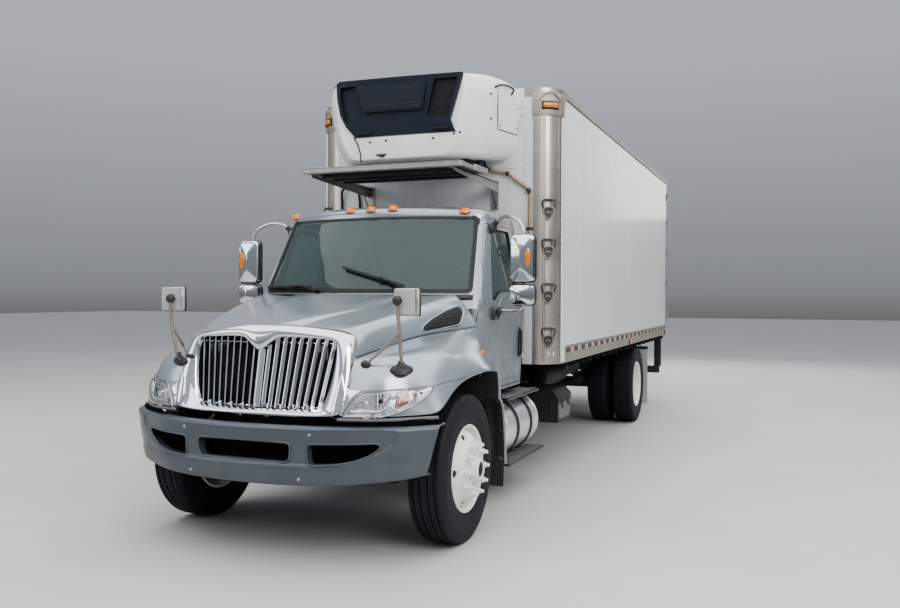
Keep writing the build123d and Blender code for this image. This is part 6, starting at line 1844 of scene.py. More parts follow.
for sx, side in ((1, "left"), (-1, "right")):
    flip = (lambda vf: vf) if sx > 0 else mx
    A = Acc()
    # skin: flat flanges, two raised ribs and the recessed column the steps fold into
    sec = []
    fl = [Vector((x, YF - (.0035 if x > .905 else .001), 0)) for x in (.905, .912, .950, .985)] + [post_pt(1.5, .0038, 0)]
    A.add(flip(loft([[(p.x, p.y, z) for p in fl] for z in (1.090, 3.325)])), 5)
    for a in range(1, 23, 4):
        sec.append(post_pt(a, .0045, 0))
    sec += [post_pt(23, .0045, 0), post_pt(24, .011, 0), post_pt(27, .012, 0), post_pt(28.5, .003, 0), post_pt(30, -.004, 0)]
    for a in range(32, 60, 4):
        sec.append(post_pt(a, -.004, 0))
    sec += [post_pt(60, -.004, 0), post_pt(61.5, .003, 0), post_pt(63, .012, 0), post_pt(66, .011, 0), post_pt(67, .0045, 0)]
    sec += [post_pt(70, .0045, 0), post_pt(71, .0045, 0)]
    fl = [post_pt(a, .0036, 0) for a in (72, 76, 80, 84, 88, 90)] + [Vector((XW + .0030, 2.44, 0)), Vector((XW + .0005, 2.442, 0))]
    A.add(flip(loft([[(p.x, p.y, z) for p in fl] for z in (1.090, 3.325)])), 5)
    A.add(flip(sweep([post_pt(71.4, .003, 1.090), post_pt(71.4, .003, 2.2), post_pt(71.4, .003, 3.322)], ring(.0042, 8), up=(1, 0, 0))), 6)
    rows = [[(p.x, p.y, z) for p in sec] for z in (1.090, 1.60, 2.20, 2.80, 3.325)]
    v, f = loft(rows)
    A.add(flip((v, f)), 0)
    # rivets in the flanges
    for i in range(74):
        z = 1.12 + i * .030
        for x0 in (.974 + (.010 if i % 2 else 0),):
            A.add(flip(spin([(-.001, .0055), (.003, .004), (.0038, 1e-5)], (x0, YF - .0035, z), (0, -1, 0), 6)), 1)
        A.add(flip(spin([(-.001, .0055), (.003, .004), (.0038, 1e-5)], (XW + .0045, 2.400, z), (1, 0, 0), 6)), 1)
        if i % 2 == 0:
            for a in (20, 70):
                p = post_pt(a, .0045, z)
                A.add(flip(spin([(-.001, .005), (.0028, .0036), (.0034, 1e-5)], p, post_pt(a, .02, z) - p, 6)), 1)
    # white strip beside the column, clean plate at the foot
    for k in range(10):
        z = 1.40 + k * .043
        q = [post_pt(a, .0062, z0) for a, z0 in ((73, z), (80, z), (80, z + .040), (73, z + .040))]
        q2 = [post_pt(a, .0035, z0) for a, z0 in ((73, z), (80, z), (80, z + .040), (73, z + .040))]
        A.add(flip(([tuple(p) for p in q2 + q], [(3, 2, 1, 0), (4, 5, 6, 7), (0, 1, 5, 4), (1, 2, 6, 5), (2, 3, 7, 6), (3, 0, 4, 7)])), 2)
    q = [post_pt(a, .001, z0) for a, z0 in ((38, 1.150), (53, 1.150), (53, 1.190), (38, 1.190))]
    q2 = [post_pt(a, -.005, z0) for a, z0 in ((38, 1.150), (53, 1.150), (53, 1.190), (38, 1.190))]
    A.add(flip(([tuple(p) for p in q2 + q], [(3, 2, 1, 0), (4, 5, 6, 7), (0, 1, 5, 4), (1, 2, 6, 5), (2, 3, 7, 6), (3, 0, 4, 7)])), 2)
    # cast cap on top with its lamp
    rows = []
    for z, o in ((3.318, .004), (3.322, .014), (3.345, .017), (3.44, .017), (3.505, .012), (3.550, -.010), (3.574, -.045), (3.5755, -.16)):
        r = [post_pt(-1, min(o, .002), z)]
        for a in range(0, 82, 9):
            r.append(post_pt(a, o, z))
        r.append(post_pt(82, min(o, .002), z))
        rows.append([tuple(p) for p in r])
    A.add(flip(loft(rows)), 3)
    for a, z in ((8, 3.365), (8, 3.50), (74, 3.365), (74, 3.50)):
        p = post_pt(a, .016, z)
        A.add(flip(spin([(-.001, .010), (.004, .008), (.005, 1e-5)], p, post_pt(a, .03, z) - p, 10)), 1)
    for a0, a1, o0, o1, z0, z1, k in ((20, 58, .014, .026, 3.372, 3.448, 6), (23, 55, .020, .034, 3.386, 3.434, 4)):
        r0, r1_ = [], []
        aa = [lerp(a0, a1, i / 6) for i in range(7)]
        rows = [[post_pt(a, o0, z0) for a in aa] + [post_pt(a, o0, z1) for a in aa[::-1]],
                [post_pt(a, o1 - .004, z0 + .002) for a in aa] + [post_pt(a, o1 - .004, z1 - .002) for a in aa[::-1]],
                [post_pt(lerp(39, a, .94), o1, z0 + .007) for a in aa] + [post_pt(lerp(39, a, .94), o1, z1 - .007) for a in aa[::-1]]]
        v, f = loft(rows, closed=True)
        b0 = 2 * 14
        f += [(b0 + i, b0 + i + 1, b0 + 12 - i, b0 + 13 - i) for i in range(6)]
        A.add(flip((v, f)), k)
    arch = [post_pt(lerp(12, 66, i / 16), .018, 3.448 + .082 * math.sin(math.pi * i / 16)) for i in range(17)]
    A.add(flip(tube(arch, .0060, 8, 2)), 3)
    A.out("post_trim_" + side, ["post", "plain_alloy", "tape_white", "bronze", "amber", "white", "seal"], body="chassis", slot="polished_alloy", smooth=40)

    # folding steps: shield shaped plates with a hoop
    A = Acc()
    for z in (1.290, 1.690, 2.092, 2.448):
        ctr = post_pt(36, .006, z)
        t = math.radians(36)
        nx, ny = math.sin(t), -math.cos(t)
        ux, uy = math.cos(t), math.sin(t)

        def S(u, w, o):
            return Vector((ctr.x + ux * u + nx * o, ctr.y + uy * u + ny * o, z + w))
        plate = rpoly([(-.053, .050), (.053, .050), (.059, .0), (.034, -.060), (0, -.084), (-.034, -.060), (-.059, .0)], .018, 4)
        A.add(flip(prism(plate, lambda p: S(p[0], p[1], -.012), lambda p: S(p[0] * .96, p[1] * .97, .006))), 2)
        inner = rpoly([(-.032, .036), (.032, .036), (.036, -.004), (0, -.052), (-.036, -.004)], .012, 3)
        A.add(flip(sweep([S(a, b2, .010) for a, b2 in inner], ring(.006, 8), up=(nx, ny, 0), closed=True)), 0)
        for a, b2 in ((-.038, .040), (.038, .040), (0, -.064)):
            A.add(flip(cyl(S(a, b2, .004), S(a, b2, .014), .0075, 6)), 1)
        out_ = [S(-.053, .035, .014), S(-.061, .082, .018), S(-.053, .106, .020), S(0, .112, .021), S(.053, .106, .020), S(.061, .082, .018), S(.053, .035, .014)]
        A.add(flip(tube(out_, .0080, 10, 6)), 0)
        for k in range(5):
            u = -.036 + k * .018
            A.add(flip(tube([S(u, .092, .017), S(u, .100, .022), S(u, .106, .018)], .003, 6, 2)), 0)
        A.add(flip(tube([S(-.020, .010, .012), S(0, .030, .018), S(.020, .010, .012)], .006, 8, 4)), 0)
        A.add(flip(tube([S(-.014, -.030, .010), S(0, -.006, .016), S(.014, -.030, .010)], .005, 8, 4)), 0)
    st = A.out("fold_steps_" + side, ["cast", "plain_alloy", "stepm"], body="chassis", slot="black_steel", smooth=45)
    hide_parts("folding_steps")

    # rails: rivets, tape and side lamps
    A = Acc()
    n = 22
    for k in range(n):
        y0 = 2.50 + k * .298
        A.add(flip(([(XW + a, y, z) for a in (.0005, .0022) for y, z in ((y0, 1.164), (y0 + .165, 1.164), (y0 + .165, 1.207), (y0, 1.207))],
                    [(3, 2, 1, 0), (4, 5, 6, 7), (0, 1, 5, 4), (1, 2, 6, 5), (2, 3, 7, 6), (3, 0, 4, 7)])), 0)
        y1 = y0 + .165
        A.add(flip(([(XW + a, y, z) for a in (.0005, .0022) for y, z in ((y1, 1.164), (y1 + .133, 1.164), (y1 + .133, 1.207), (y1, 1.207))],
                    [(3, 2, 1, 0), (4, 5, 6, 7), (0, 1, 5, 4), (1, 2, 6, 5), (2, 3, 7, 6), (3, 0, 4, 7)])), 1)
    for k in range(88):
        y = 2.50 + k * .0735
        for z in (1.138 - (.010 if k % 2 else 0), 1.220):
            A.add(flip(spin([(-.001, .0065), (.003, .005), (.004, 1e-5)], (XW + .001, y, z), (1, 0, 0), 6)), 2)
        if k % 2 == 0:
            A.add(flip(spin([(-.001, .0065), (.003, .005), (.004, 1e-5)], (XW + .001, y, 1.094), (1, 0, 0), 6)), 2)
            for z in (3.525, 3.56):
                A.add(flip(spin([(-.001, .0065), (.003, .005), (.004, 1e-5)], (XW + .001, y, z), (1, 0, 0), 6)), 2)
    A.add(flip(rbox(XW - .002, XW + .006, 2.46, 8.95, 1.2265, 1.2335, .002)), 2)
    A.add(flip(rbox(XW - .002, XW + .0016, 2.44, 8.945, 3.385, 3.500, .0005)), 6)
    A.add(flip(rbox(XW - .002, XW + .008, 2.46, 8.95, 3.498, 3.508, .002)), 5)
    for y, k in ((5.75, 3), (8.86, 4)):
        A.add(flip(spin([(0, .034), (.006, .034), (.010, .029), (.012, .022)], (XW + .001, y, 1.112), (1, 0, 0), 24)), 5)
        A.add(flip(spin([(.006, .0275), (.014, .024), (.019, .014), (.020, 1e-5)], (XW + .001, y, 1.112), (1, 0, 0), 24)), k)
    A.out("rail_trim_" + side, ["red", "tape_grey", "rail", "amber", "redlens", "seal", "white"], body="chassis", slot="plain_alloy", smooth=40)
# front wall seams and rivets
A = Acc()
for x in (-.62, 0.0, .62):
    A.add(rbox(x - .030, x + .030, 2.1465, 2.152, 1.10, 2.84, .001), 0)
    for i in range(42):
        z = 1.13 + i * .0405
        for dx in (-.020, .020):
            A.add(spin([(-.001, .0055), (.003, .004), (.0036, 1e-5)], (x + dx, 2.1465, z), (0, -1, 0), 6), 1)
A.add(rbox(-.91, .91, 2.138, 2.152, 3.325, 3.345, .003), 0)
A.add(rbox(-.91, .91, 2.140, 2.152, 3.40, 3.572, .004), 0)
A.add(rbox(-.91, .91, 2.140, 2.152, 1.075, 1.165, .004), 2)
for i in range(44):
    x = -.88 + i * .041
    for z in (3.335, 3.42, 1.12):
        A.add(spin([(-.001, .0055), (.003, .004), (.0036, 1e-5)], (x, 2.138 if z == 3.335 else 2.140, z), (0, -1, 0), 6), 1)
# plain plate
A.add(rbox(.745, .905, 2.143, 2.152, 2.855, 2.890, .002), 0)
A.out("front_wall_trim", ["white", "plain_alloy", "alloy"], body="chassis", slot="white_panel", smooth=40)


# ------------------------------------------------------------------ fuel tank, steps, battery and exhaust boxes
A = Acc()
TX, TZ = .775, .570
prof = [(1.296, 1e-5), (1.294, .10), (1.298, .17), (1.306, .212), (1.318, .236), (1.334, .2465), (1.352, .250), (1.372, .250), (1.374, .2535), (1.380, .2535), (1.382, .250),
        (2.218, .250), (2.220, .2535), (2.226, .2535), (2.228, .250), (2.248, .250), (2.266, .2465), (2.282, .236), (2.294, .212), (2.302, .17), (2.306, .10), (2.304, 1e-5)]
A.add(spin([(a, r) for a, r in prof], (TX, 0, TZ), (0, 1, 0), 80), 0)
for y in (1.640, 2.020):
    A.add(spin([(y - .026, .2505), (y - .026, .257), (y - .022, .259), (y + .022, .259), (y + .026, .257), (y + .026, .2505)], (TX, 0, TZ), (0, 1, 0), 72, closed=True), 1)
    A.add(spin([(y - .012, .259), (y - .010, .2605), (y + .010, .2605), (y + .012, .259)], (TX, 0, TZ), (0, 1, 0), 72), 4)
    # bracket to the frame and the tightening bolt
    v, f = prism([(.440, .840), (.560, .840), (.575, .80), (.540, .72), (.515, .62), (.520, .52), (.560, .42), (.640, .345), (.640, .315), (.440, .315)],
                 lambda p: (p[0], y - .030, p[1]), lambda p: (p[0], y + .030, p[1]))
    A.add((v, f), 1)
    A.add(cyl((.600, y, .835), (.600, y, .905), .009, 10), 3)
    A.add(cyl((.600, y, .868), (.600, y, .882), .016, 6), 3)
# filler neck and cap, with a tether
nx = Vector((.52, 0, .854)).normalized()
fc = Vector((TX, 1.435, TZ)) + nx * .245
A.add(spin([(0, .050), (.018, .050), (.020, .046), (.020, 1e-5)], fc, nx, 32), 0)
A.add(spin([(.018, .046), (.022, .056), (.044, .056), (.048, .052), (.049, .020), (.046, 1e-5)], fc, nx, 32), 3)
for i in range(12):
    a = 2 * math.pi * i / 12
    e1 = Vector((0, 1, 0))
    e2 = nx.cross(e1)
    p = fc + nx * .033 + (e1 * math.cos(a) + e2 * math.sin(a)) * .0555
    A.add(cyl(p - nx * .009, p + nx * .009, .0045, 6), 3)
A.add(tube([fc + nx * .047, fc + nx * .055 + Vector((0, .04, 0)), fc + nx * .01 + Vector((0, .075, 0)), fc + nx * .0 + Vector((0, .085, -.01))], .0025, 6, 5), 1)
A.add(spin([(0, 1e-5), (0, .018), (.010, .017), (.012, 1e-5)], (TX, 1.80, TZ - .251), (0, 0, -1), 16), 3)
# small blue cap of the additive tank ahead of the main one
A.add(cyl((.905, 1.268, .705), (.905, 1.262, .752), .030, 24), 2)
A.add(cyl((.905, 1.272, .640), (.905, 1.268, .708), .024, 18), 1)
A.add(rbox(.86, .95, 1.262, 1.292, .60, .66, .008), 1)
ft = A.out("fuel_tank_set", ["tank", "black", "blue", "plain_alloy", "seal"], body="chassis", slot="polished_alloy", smooth=40)
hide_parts("fuel_tank")


def tread(A, x0, x1, y0, y1, z0, z1, nx_, ny_, flip):
    """Grip plate: folded edges, raised eyelets in rows."""
    A.add(flip(rbox(x0, x1, y0, y1, z1 - .006, z1, .002)), 0)
    A.add(flip(rbox(x0, x0 + .006, y0, y1, z0, z1, .002)), 0)
    A.add(flip(rbox(x1 - .006, x1, y0, y1, z0, z1, .002)), 0)
    for i in range(nx_):
        x = lerp(x0 + .030, x1 - .030, i / (nx_ - 1))
        for j in range(ny_):
            y = lerp(y0 + .035, y1 - .035, (j + (.5 if i % 2 else 0)) / ny_)
            A.add(flip(spin([(0, .0165), (.0055, .0150), (.0070, .0125), (.0055, .0100), (.0008, .0085), (.0008, 1e-5)], (x, y, z1 - .0005), (0, 0, 1), 10)), 0)
            A.add(flip(spin([(.0012, .0086), (.0012, 1e-5)], (x, y, z1 - .0002), (0, 0, 1), 8)), 1)


A = Acc()
for flip in ((lambda vf: vf), mx):
    tread(A, .845, 1.050, 1.290, 2.180, .838, .862, 5, 19, flip)
    tread(A, .880, 1.062, 1.340, 2.310, .298, .322, 4, 21, flip)
    for y in (1.400, 1.640, 2.020, 2.240):
        A.add(flip(sweep(smooth_path([(.50, y, .56), (.52, y, .40), (.60, y, .318), (.75, y, .304), (.90, y, .302), (1.03, y, .302)], 6),
                         [(-.016, -.006), (.016, -.006), (.016, .006), (-.016, .006)], up=(0, 1, 0))), 0)
    for y in (1.36, 1.78, 2.13):
        A.add(flip(rbox(.56, 1.040, y - .012, y + .012, .832, .846, .003)), 0)
    for x, y in ((.87, 1.33), (1.02, 1.33), (.87, 2.14), (1.02, 2.14)):
        A.add(flip(cyl((x, y, .860), (x, y, .869), .009, 6)), 2)
stp = A.out("cab_tread_steps", ["grate", "seal", "plain_alloy"], body="chassis", slot="black_steel", smooth=40)
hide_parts("cab_steps")

A = Acc()
# battery box: ribbed lid, sloping outer corner, latches
poly = [(.470, .450), (1.050, .450), (1.050, .690), (1.000, .752), (.470, .755)]
A.add(prism(poly, lambda p: (p[0], 2.850, p[1]), lambda p: (p[0], 3.350, p[1])), 0)
A.add(rbox(.465, 1.000, 2.842, 3.358, .752, .766, .004), 1)
v, f = prism([(.998, .766), (1.058, .694), (1.058, .640), (1.050, .640), (1.050, .690), (.996, .752)], lambda p: (p[0], 2.842, p[1]), lambda p: (p[0], 3.358, p[1]))
A.add((v, f), 1)
for k in range(7):
    y = 2.885 + k * .072
    A.add(rbox(.49, .985, y, y + .030, .764, .776, .005), 1)
    A.add(prism([(.985, .776), (1.062, .684), (1.056, .680), (.985, .764)], lambda p: (p[0], y, p[1]), lambda p: (p[0], y + .030, p[1])), 1)
A.add(rbox(1.048, 1.056, 2.875, 3.325, .478, .632, .006), 2)
for y in (2.98, 3.22):
    A.add(rbox(1.056, 1.070, y - .012, y + .012, .585, .680, .004), 3)
    A.add(cyl((1.060, y, .60), (1.078, y, .60), .009, 10), 3)
for x in (.50, .66, .82, .98):
    A.add(rbox(x - .010, x + .010, 2.843, 2.852, .47, .74, .003), 0)
for z in (.49, .72):
    for y in (2.90, 3.30):
        A.add(cyl((1.050, y, z), (1.062, y, z), .008, 6), 3)
A.add(tube([(.62, 2.85, .60), (.60, 2.78, .60), (.52, 2.66, .62), (.44, 2.60, .66), (.40, 2.50, .70)], .016, 12, 6), 0)
A.add(tube([(.70, 2.85, .56), (.68, 2.77, .56), (.58, 2.62, .60), (.44, 2.52, .66), (.40, 2.44, .70)], .014, 12, 6), 0)
bb = A.out("battery_case", ["black", "plastic", "trim", "cast"], body="chassis", slot="black_steel", bevel=.003, smooth=40)
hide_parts("battery_box")

A = Acc()
poly = rpoly([(-1.030, .400), (-.470, .400), (-.470, .820), (-.960, .820), (-1.030, .750)], .035, 4)
A.add(prism(poly, lambda p: (p[0], 1.335, p[1]), lambda p: (p[0], 2.295, p[1])), 0)
for k in range(15):
    z = .455 + k * .020
    A.add(rbox(-1.036, -1.028, 1.42, 2.21, z, z + .010, .002), 1)
for y in (1.345, 2.285):
    for z in (.44, .60, .73):
        A.add(cyl((-1.030, y + (.03 if y < 2 else -.03), z), (-1.040, y + (.03 if y < 2 else -.03), z), .009, 6), 2)
A.add(tube([(-.70, 2.28, .62), (-.70, 2.40, .62), (-.72, 2.52, .60), (-.86, 2.62, .50), (-.98, 2.66, .42)], .055, 20, 6), 3)
A.add(tube([(-.60, 1.34, .70), (-.56, 1.22, .72), (-.50, 1.10, .76), (-.47, .95, .80)], .050, 20, 6), 3)
for y in (1.52, 2.10):
    A.add(rbox(-.50, -.43, y - .04, y + .04, .44, .86, .006), 0)
eb = A.out("exhaust_case", ["black", "seal", "plain_alloy", "cast"], body="chassis", slot="black_steel", bevel=.003, smooth=40)
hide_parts("exhaust_box")

# ------------------------------------------------------------------ splash guards and flaps
A = Acc()
LL = [(.872, .235), (.892, .410), (.877, .620), (.842, .800), (.792, .885), (.744, .921)]
LU = [(.744, .921), (.742, 1.010), (.730, 1.075), (.712, 1.128)]
for flip in ((lambda vf: vf), mx):
    pth = [(p.x, p.y) for p in smooth_path([(a, b2, 0) for a, b2 in LL[1:]], 5)]
    rows = [[(x, y + (.006 * math.sin(x * 60) if .70 < x < 1.10 else 0), z) for x in [.640 + .510 * i / 30 for i in range(31)]] for y, z in pth]
    back = [[(p[0], p[1] + .007, p[2]) for p in r] for r in rows]
    n = len(rows)
    v, f = loft([a + b2[::-1] for a, b2 in zip(rows, back)], closed=True, caps=True)
    A.add(flip((v, f)), 0)
    # upper part beside the cab
    rows = [[(x, y, z) for x in (1.012, 1.05, 1.10, 1.150)] + [(x, y + .007, z) for x in (1.150, 1.10, 1.05, 1.012)] for y, z in LU]
    A.add(flip(loft(rows, closed=True, caps=True)), 0)
    # lip along the outer edge
    lip = [Vector((1.153, y + .003, z)) for y, z in pth] + [Vector((1.153, y + .003, z)) for y, z in LU[1:]]
    A.add(flip(sweep(lip, [(-.005, -.004), (.005, -.004), (.006, .010), (-.006, .010)], up=(1, 0, 0))), 1)
    # rubber flap below, with its bolts
    rows = []
    for i in range(9):
        t = i / 8
        z = lerp(.470, .238, t)
        y = .886 - .012 * t * t
        rows.append([(x, y + .004 * math.sin(x * 40 + t * 3), z) for x in (.655, .75, .85, .95, 1.05, 1.145)] +
                    [(x, y + .009 + .004 * math.sin(x * 40 + t * 3), z) for x in (1.145, 1.05, .95, .85, .75, .655)])
    A.add(flip(loft(rows, closed=True, caps=True)), 0)
    for x in (.70, .84, .98, 1.12):
        A.add(flip(cyl((x, .890, .448), (x, .868, .448), .010, 6)), 2)
        A.add(flip(spin([(0, .018), (.003, .017), (.003, 1e-5)], (x, .884, .448), (0, -1, 0), 14)), 2)
    for y, z in ((.868, .66), (.835, .81), (.77, .903)):
        for x in (1.13, 1.02):
            A.add(flip(cyl((x, y, z), (x, y - .014, z + .003), .008, 6)), 2)
    # rear flap: pale rubber on a bar
    rows = []
    for i in range(13):
        t = i / 12
        z = lerp(.955, .130, t)
        rows.append([(x, 7.392 + .010 * t * math.sin(x * 11 + 1) * t, z) for x in [.620 + .570 * k / 8 for k in range(9)]] +
                    [(x, 7.399 + .010 * t * math.sin(x * 11 + 1) * t, z) for x in [1.190 - .570 * k / 8 for k in range(9)]])
    A.add(flip(loft(rows, closed=True, caps=True)), 3)
    A.add(flip(rbox(.60, 1.195, 7.384, 7.407, .920, .965, .004)), 4)
    A.add(flip(rbox(.430, .620, 7.375, 7.415, .90, .965, .006)), 4)
    for x in (.66, .80, .94, 1.08, 1.16):
        A.add(flip(cyl((x, 7.384, .942), (x, 7.377, .942), .009, 6)), 2)
mf = A.out("splash_guards", ["flap", "head_beige", "cast", "head_beige", "black"], body="chassis", slot="flap_rubber", smooth=45)
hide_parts("mud_flaps")

# ------------------------------------------------------------------ tail of the box
A = Acc()
A.add(rbox(-1.125, 1.125, 8.955, 9.040, .448, .560, .010), 0)
for x in (-1.097, 1.097):
    A.add(rbox(x - .052, x + .052, 8.960, 9.036, .555, 1.075, .008), 0)
    for z in (.60, .64, 1.00, 1.04):
        A.add(cyl((x, 9.036, z), (x, 9.046, z), .011, 6), 0)
v, f = prism([(8.55, 1.02), (8.98, .60), (8.98, .54), (8.47, 1.02)], lambda p: (-.412, p[0], p[1]), lambda p: (-.380, p[0], p[1]))
A.add((v, f), 0)
A.add(mx((v, f)), 0)
A.add(rbox(-.42, -.37, 8.80, 8.99, .55, 1.05, .006), 0)
A.add(rbox(.37, .42, 8.80, 8.99, .55, 1.05, .006), 0)
for k in range(12):
    x = -1.08 + k * .180
    A.add(rbox(x, x + .090, 9.0395, 9.0425, .480, .530, .001), 1)
    A.add(rbox(x + .090, x + .178, 9.0395, 9.0425, .480, .530, .001), 2)
for x in (-.62, .62):
    A.add(rbox(x - .07, x + .07, 9.036, 9.075, .455, .555, .018), 3)
A.add(rbox(-.36, .36, 8.975, 8.990, .60, .66, .004), 0)
rg_ = A.out("under_guard", ["black", "red", "tape_white", "seal"], body="chassis", slot="black_steel", smooth=40)
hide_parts("rear_guard")

A = Acc()
# frame: head lamps, corner lamps, tail lamps in the sill, rain strip, bumpers, plate holder
for x in (-.18, 0, .18):
    A.add(rbox(x - .055, x + .055, 9.028, 9.040, 3.490, 3.528, .006), 0)
    A.add(rbox(x - .045, x + .045, 9.036, 9.052, 3.496, 3.522, .006), 1)
for x in (-1.15, 1.15):
    A.add(rbox(x - .055, x + .055, 9.028, 9.040, 3.490, 3.528, .006), 0)
    A.add(rbox(x - .045, x + .045, 9.036, 9.052, 3.496, 3.522, .006), 1)
for sx in (-1, 1):
    for x, k in ((.78, 1), (.94, 1), (.62, 2)):
        A.add(spin([(0, .058), (.008, .058), (.013, .052), (.013, .046)], (sx * x, 9.030, 1.150), (0, 1, 0), 32), 0)
        A.add(spin([(.006, .047), (.016, .043), (.022, .026), (.0235, 1e-5)], (sx * x, 9.030, 1.150), (0, 1, 0), 32), k)
    A.add(rbox(sx * 1.12 - .05, sx * 1.12 + .05, 9.028, 9.075, 1.075, 1.225, .016), 0)
    for z in (1.35, 1.95, 2.55, 3.15):
        A.add(rbox(sx * 1.196 - .022, sx * 1.196 + .022, 9.028, 9.040, z - .06, z + .06, .004), 3)
A.add(rbox(-.17, .17, 9.030, 9.036, 1.090, 1.215, .004), 0)
A.add(rbox(-.152, .152, 9.034, 9.038, 1.102, 1.203, .003), 4)
for x in (-.10, .10):
    A.add(cyl((x, 9.036, 1.190), (x, 9.042, 1.190), .006, 6), 3)
A.add(rbox(-1.15, 1.15, 9.028, 9.060, 3.456, 3.464, .003), 3)
for k in range(14):
    x = -1.12 + k * .165
    A.add(rbox(x, x + .078, 9.030, 9.0325, 1.228, 1.242, .001), 5)
A.out("tail_fittings", ["seal", "redlens", "tape_white", "plain_alloy", "trim", "red"], body="chassis", slot="dark_plastic", smooth=40)

for sx, side in ((1, "left"), (-1, "right")):
    A = Acc()
    flip = (lambda vf: vf) if sx > 0 else mx
    YD = 9.032

    def slim(vf, flip=flip, YD=YD):
        """The gear lies close to the leaf, so that the open door can fold flat to the side."""
        return flip(([(q[0], YD + (q[1] - YD) * 0.44 if q[1] > YD else q[1], q[2]) for q in vf[0]],) + tuple(vf[1:]))

    # the leaf itself with its straps and knuckles
    A.add(flip(rbox(.003, 1.144, 8.958, YD, 1.251, 3.434, .004)), 1)
    for z in (1.42, 1.90, 2.38, 2.86, 3.30):
        A.add(flip(rbox(.850, 1.212, YD, YD + .012, z - .028, z + .028, .004)), 2)
        A.add(flip(rbox(1.196, 1.226, YD + .006, YD + .036, z - .028, z + .028, .008)), 2)
        A.add(flip(cyl((1.234, 9.064, z - .029), (1.234, 9.064, z + .029), .0135, 16)), 2)
        for x in (.89, .97, 1.05, 1.12):
            A.add(flip(spin([(-.001, .010), (.004, .008), (.006, 1e-5)], (x, YD + .012, z), (0, 1, 0), 12)), 3)
    # edge seals, panel beads
    for (x0, x1, z0, z1) in ((.010, 1.138, 1.258, 1.272), (.010, 1.138, 3.412, 3.426), (.006, .022, 1.258, 3.426), (1.124, 1.138, 1.258, 3.426)):
        A.add(flip(rbox(x0, x1, YD - .001, YD + .006, z0, z1, .003)), 0)
    A.add(flip(rbox(.040, 1.108, YD - .001, YD + .003, 1.300, 3.385, .002)), 1)
    for z in (1.60, 2.30, 3.00):
        A.add(flip(rbox(.040, 1.108, YD + .001, YD + .006, z - .018, z + .018, .003)), 1)
    # lock rods with cams, guides and handles
    for x in (.330, .860):
        A.add(slim(cyl((x, YD + .032, 1.262), (x, YD + .032, 3.424), .0135, 16)), 2)
        for z in (1.40, 1.78, 2.30, 2.82, 3.30):
            A.add(slim(rbox(x - .040, x + .040, YD, YD + .018, z - .028, z + .028, .006)), 3)
            A.add(slim(rbox(x - .020, x + .020, YD + .014, YD + .050, z - .024, z + .024, .008)), 3)
            for dx in (-.030, .030):
                A.add(slim(cyl((x + dx, YD + .017, z), (x + dx, YD + .023, z), .006, 6)), 2)
        for z in (1.282, 3.404):
            A.add(slim(rbox(x - .030, x + .030, YD + .012, YD + .052, z - .020, z + .020, .007)), 3)
        hz = 1.78
        d = 1 if x < .5 else -1
        A.add(slim(sweep(smooth_path([(x, YD + .048, hz + .10), (x + d * .10, YD + .056, hz + .10), (x + d * .24, YD + .052, hz + .094), (x + d * .335, YD + .046, hz + .088)], 5),
                         [(-.006, -.015), (.006, -.015), (.006, .015), (-.006, .015)], up=(0, 0, 1))), 3)
        A.add(slim(rbox(x + d * .30 - .030, x + d * .30 + .030, YD, YD + .020, hz + .060, hz + .130, .005)), 3)
        A.add(slim(rbox(x + d * .30 - .012, x + d * .30 + .012, YD + .018, YD + .060, hz + .045, hz + .070, .004)), 3)
    for k in range(34):
        z = 1.31 + k * .0625
        A.add(flip(spin([(-.001, .0055), (.003, .004), (.0036, 1e-5)], (.055, YD + .003, z), (0, 1, 0), 6)), 2)
        A.add(flip(spin([(-.001, .0055), (.003, .004), (.0036, 1e-5)], (1.093, YD + .003, z), (0, 1, 0), 6)), 2)
    for k in range(3):
        x = .10 + k * .36
        A.add(flip(rbox(x, x + .18, YD + .001, YD + .0045, 1.318, 1.368, .001)), 4)
        A.add(flip(rbox(x + .18, x + .33, YD + .001, YD + .0045, 1.318, 1.368, .001)), 5)
    A.add(flip(rbox(.10, .28, YD + .001, YD + .0045, 3.330, 3.375, .001)), 5)
    rdg = A.out("rear_door_gear_" + side, ["seal", "white", "plain_alloy", "cast", "red", "tape_white"], body=side + "_rear_door_body", slot="white_panel", smooth=40)
    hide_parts("rear_door_" + side)

# ------------------------------------------------------------------ inside the cab


def pad(cx, cy, cz, rx, ry, rz, e1=.38, e2=.42, tilt=0.0, chan_n=0, nu=28, nv=40):
    """A crowned, closed pad: full in the middle, pulled in between its corners."""
    def pw(c, e):
        return math.copysign(abs(c) ** e, c)
    ct, st_ = math.cos(tilt), math.sin(tilt)
    rows = []
    for i in range(nu + 1):
        a = -math.pi / 2 + math.pi * i / nu
        r = []
        for j in range(nv):
            b2 = 2 * math.pi * j / nv
            x, y, z = rx * pw(math.cos(a), e1) * pw(math.cos(b2), e2), ry * pw(math.cos(a), e1) * pw(math.sin(b2), e2), rz * pw(math.sin(a), e1 * 1.5)
            edge = 1 - .05 * (1 - abs(x / rx) ** 2) * abs(y / ry) ** 3 - .05 * (1 - abs(y / ry) ** 2) * abs(x / rx) ** 3
            x, y = x * edge, y * edge
            z *= 1 + .22 * (1 - (x / rx) ** 2) * (1 - (y / ry) ** 2)
            if chan_n and z > 0:
                z -= .010 * math.exp(-((math.fmod(abs(x / rx) * chan_n / 2 + .5, 1.0) - .5) / .10) ** 2)
            r.append((cx + x, cy + y * ct - z * st_, cz + y * st_ + z * ct))
        rows.append(r)
    return loft(rows, closed=True, caps=True)


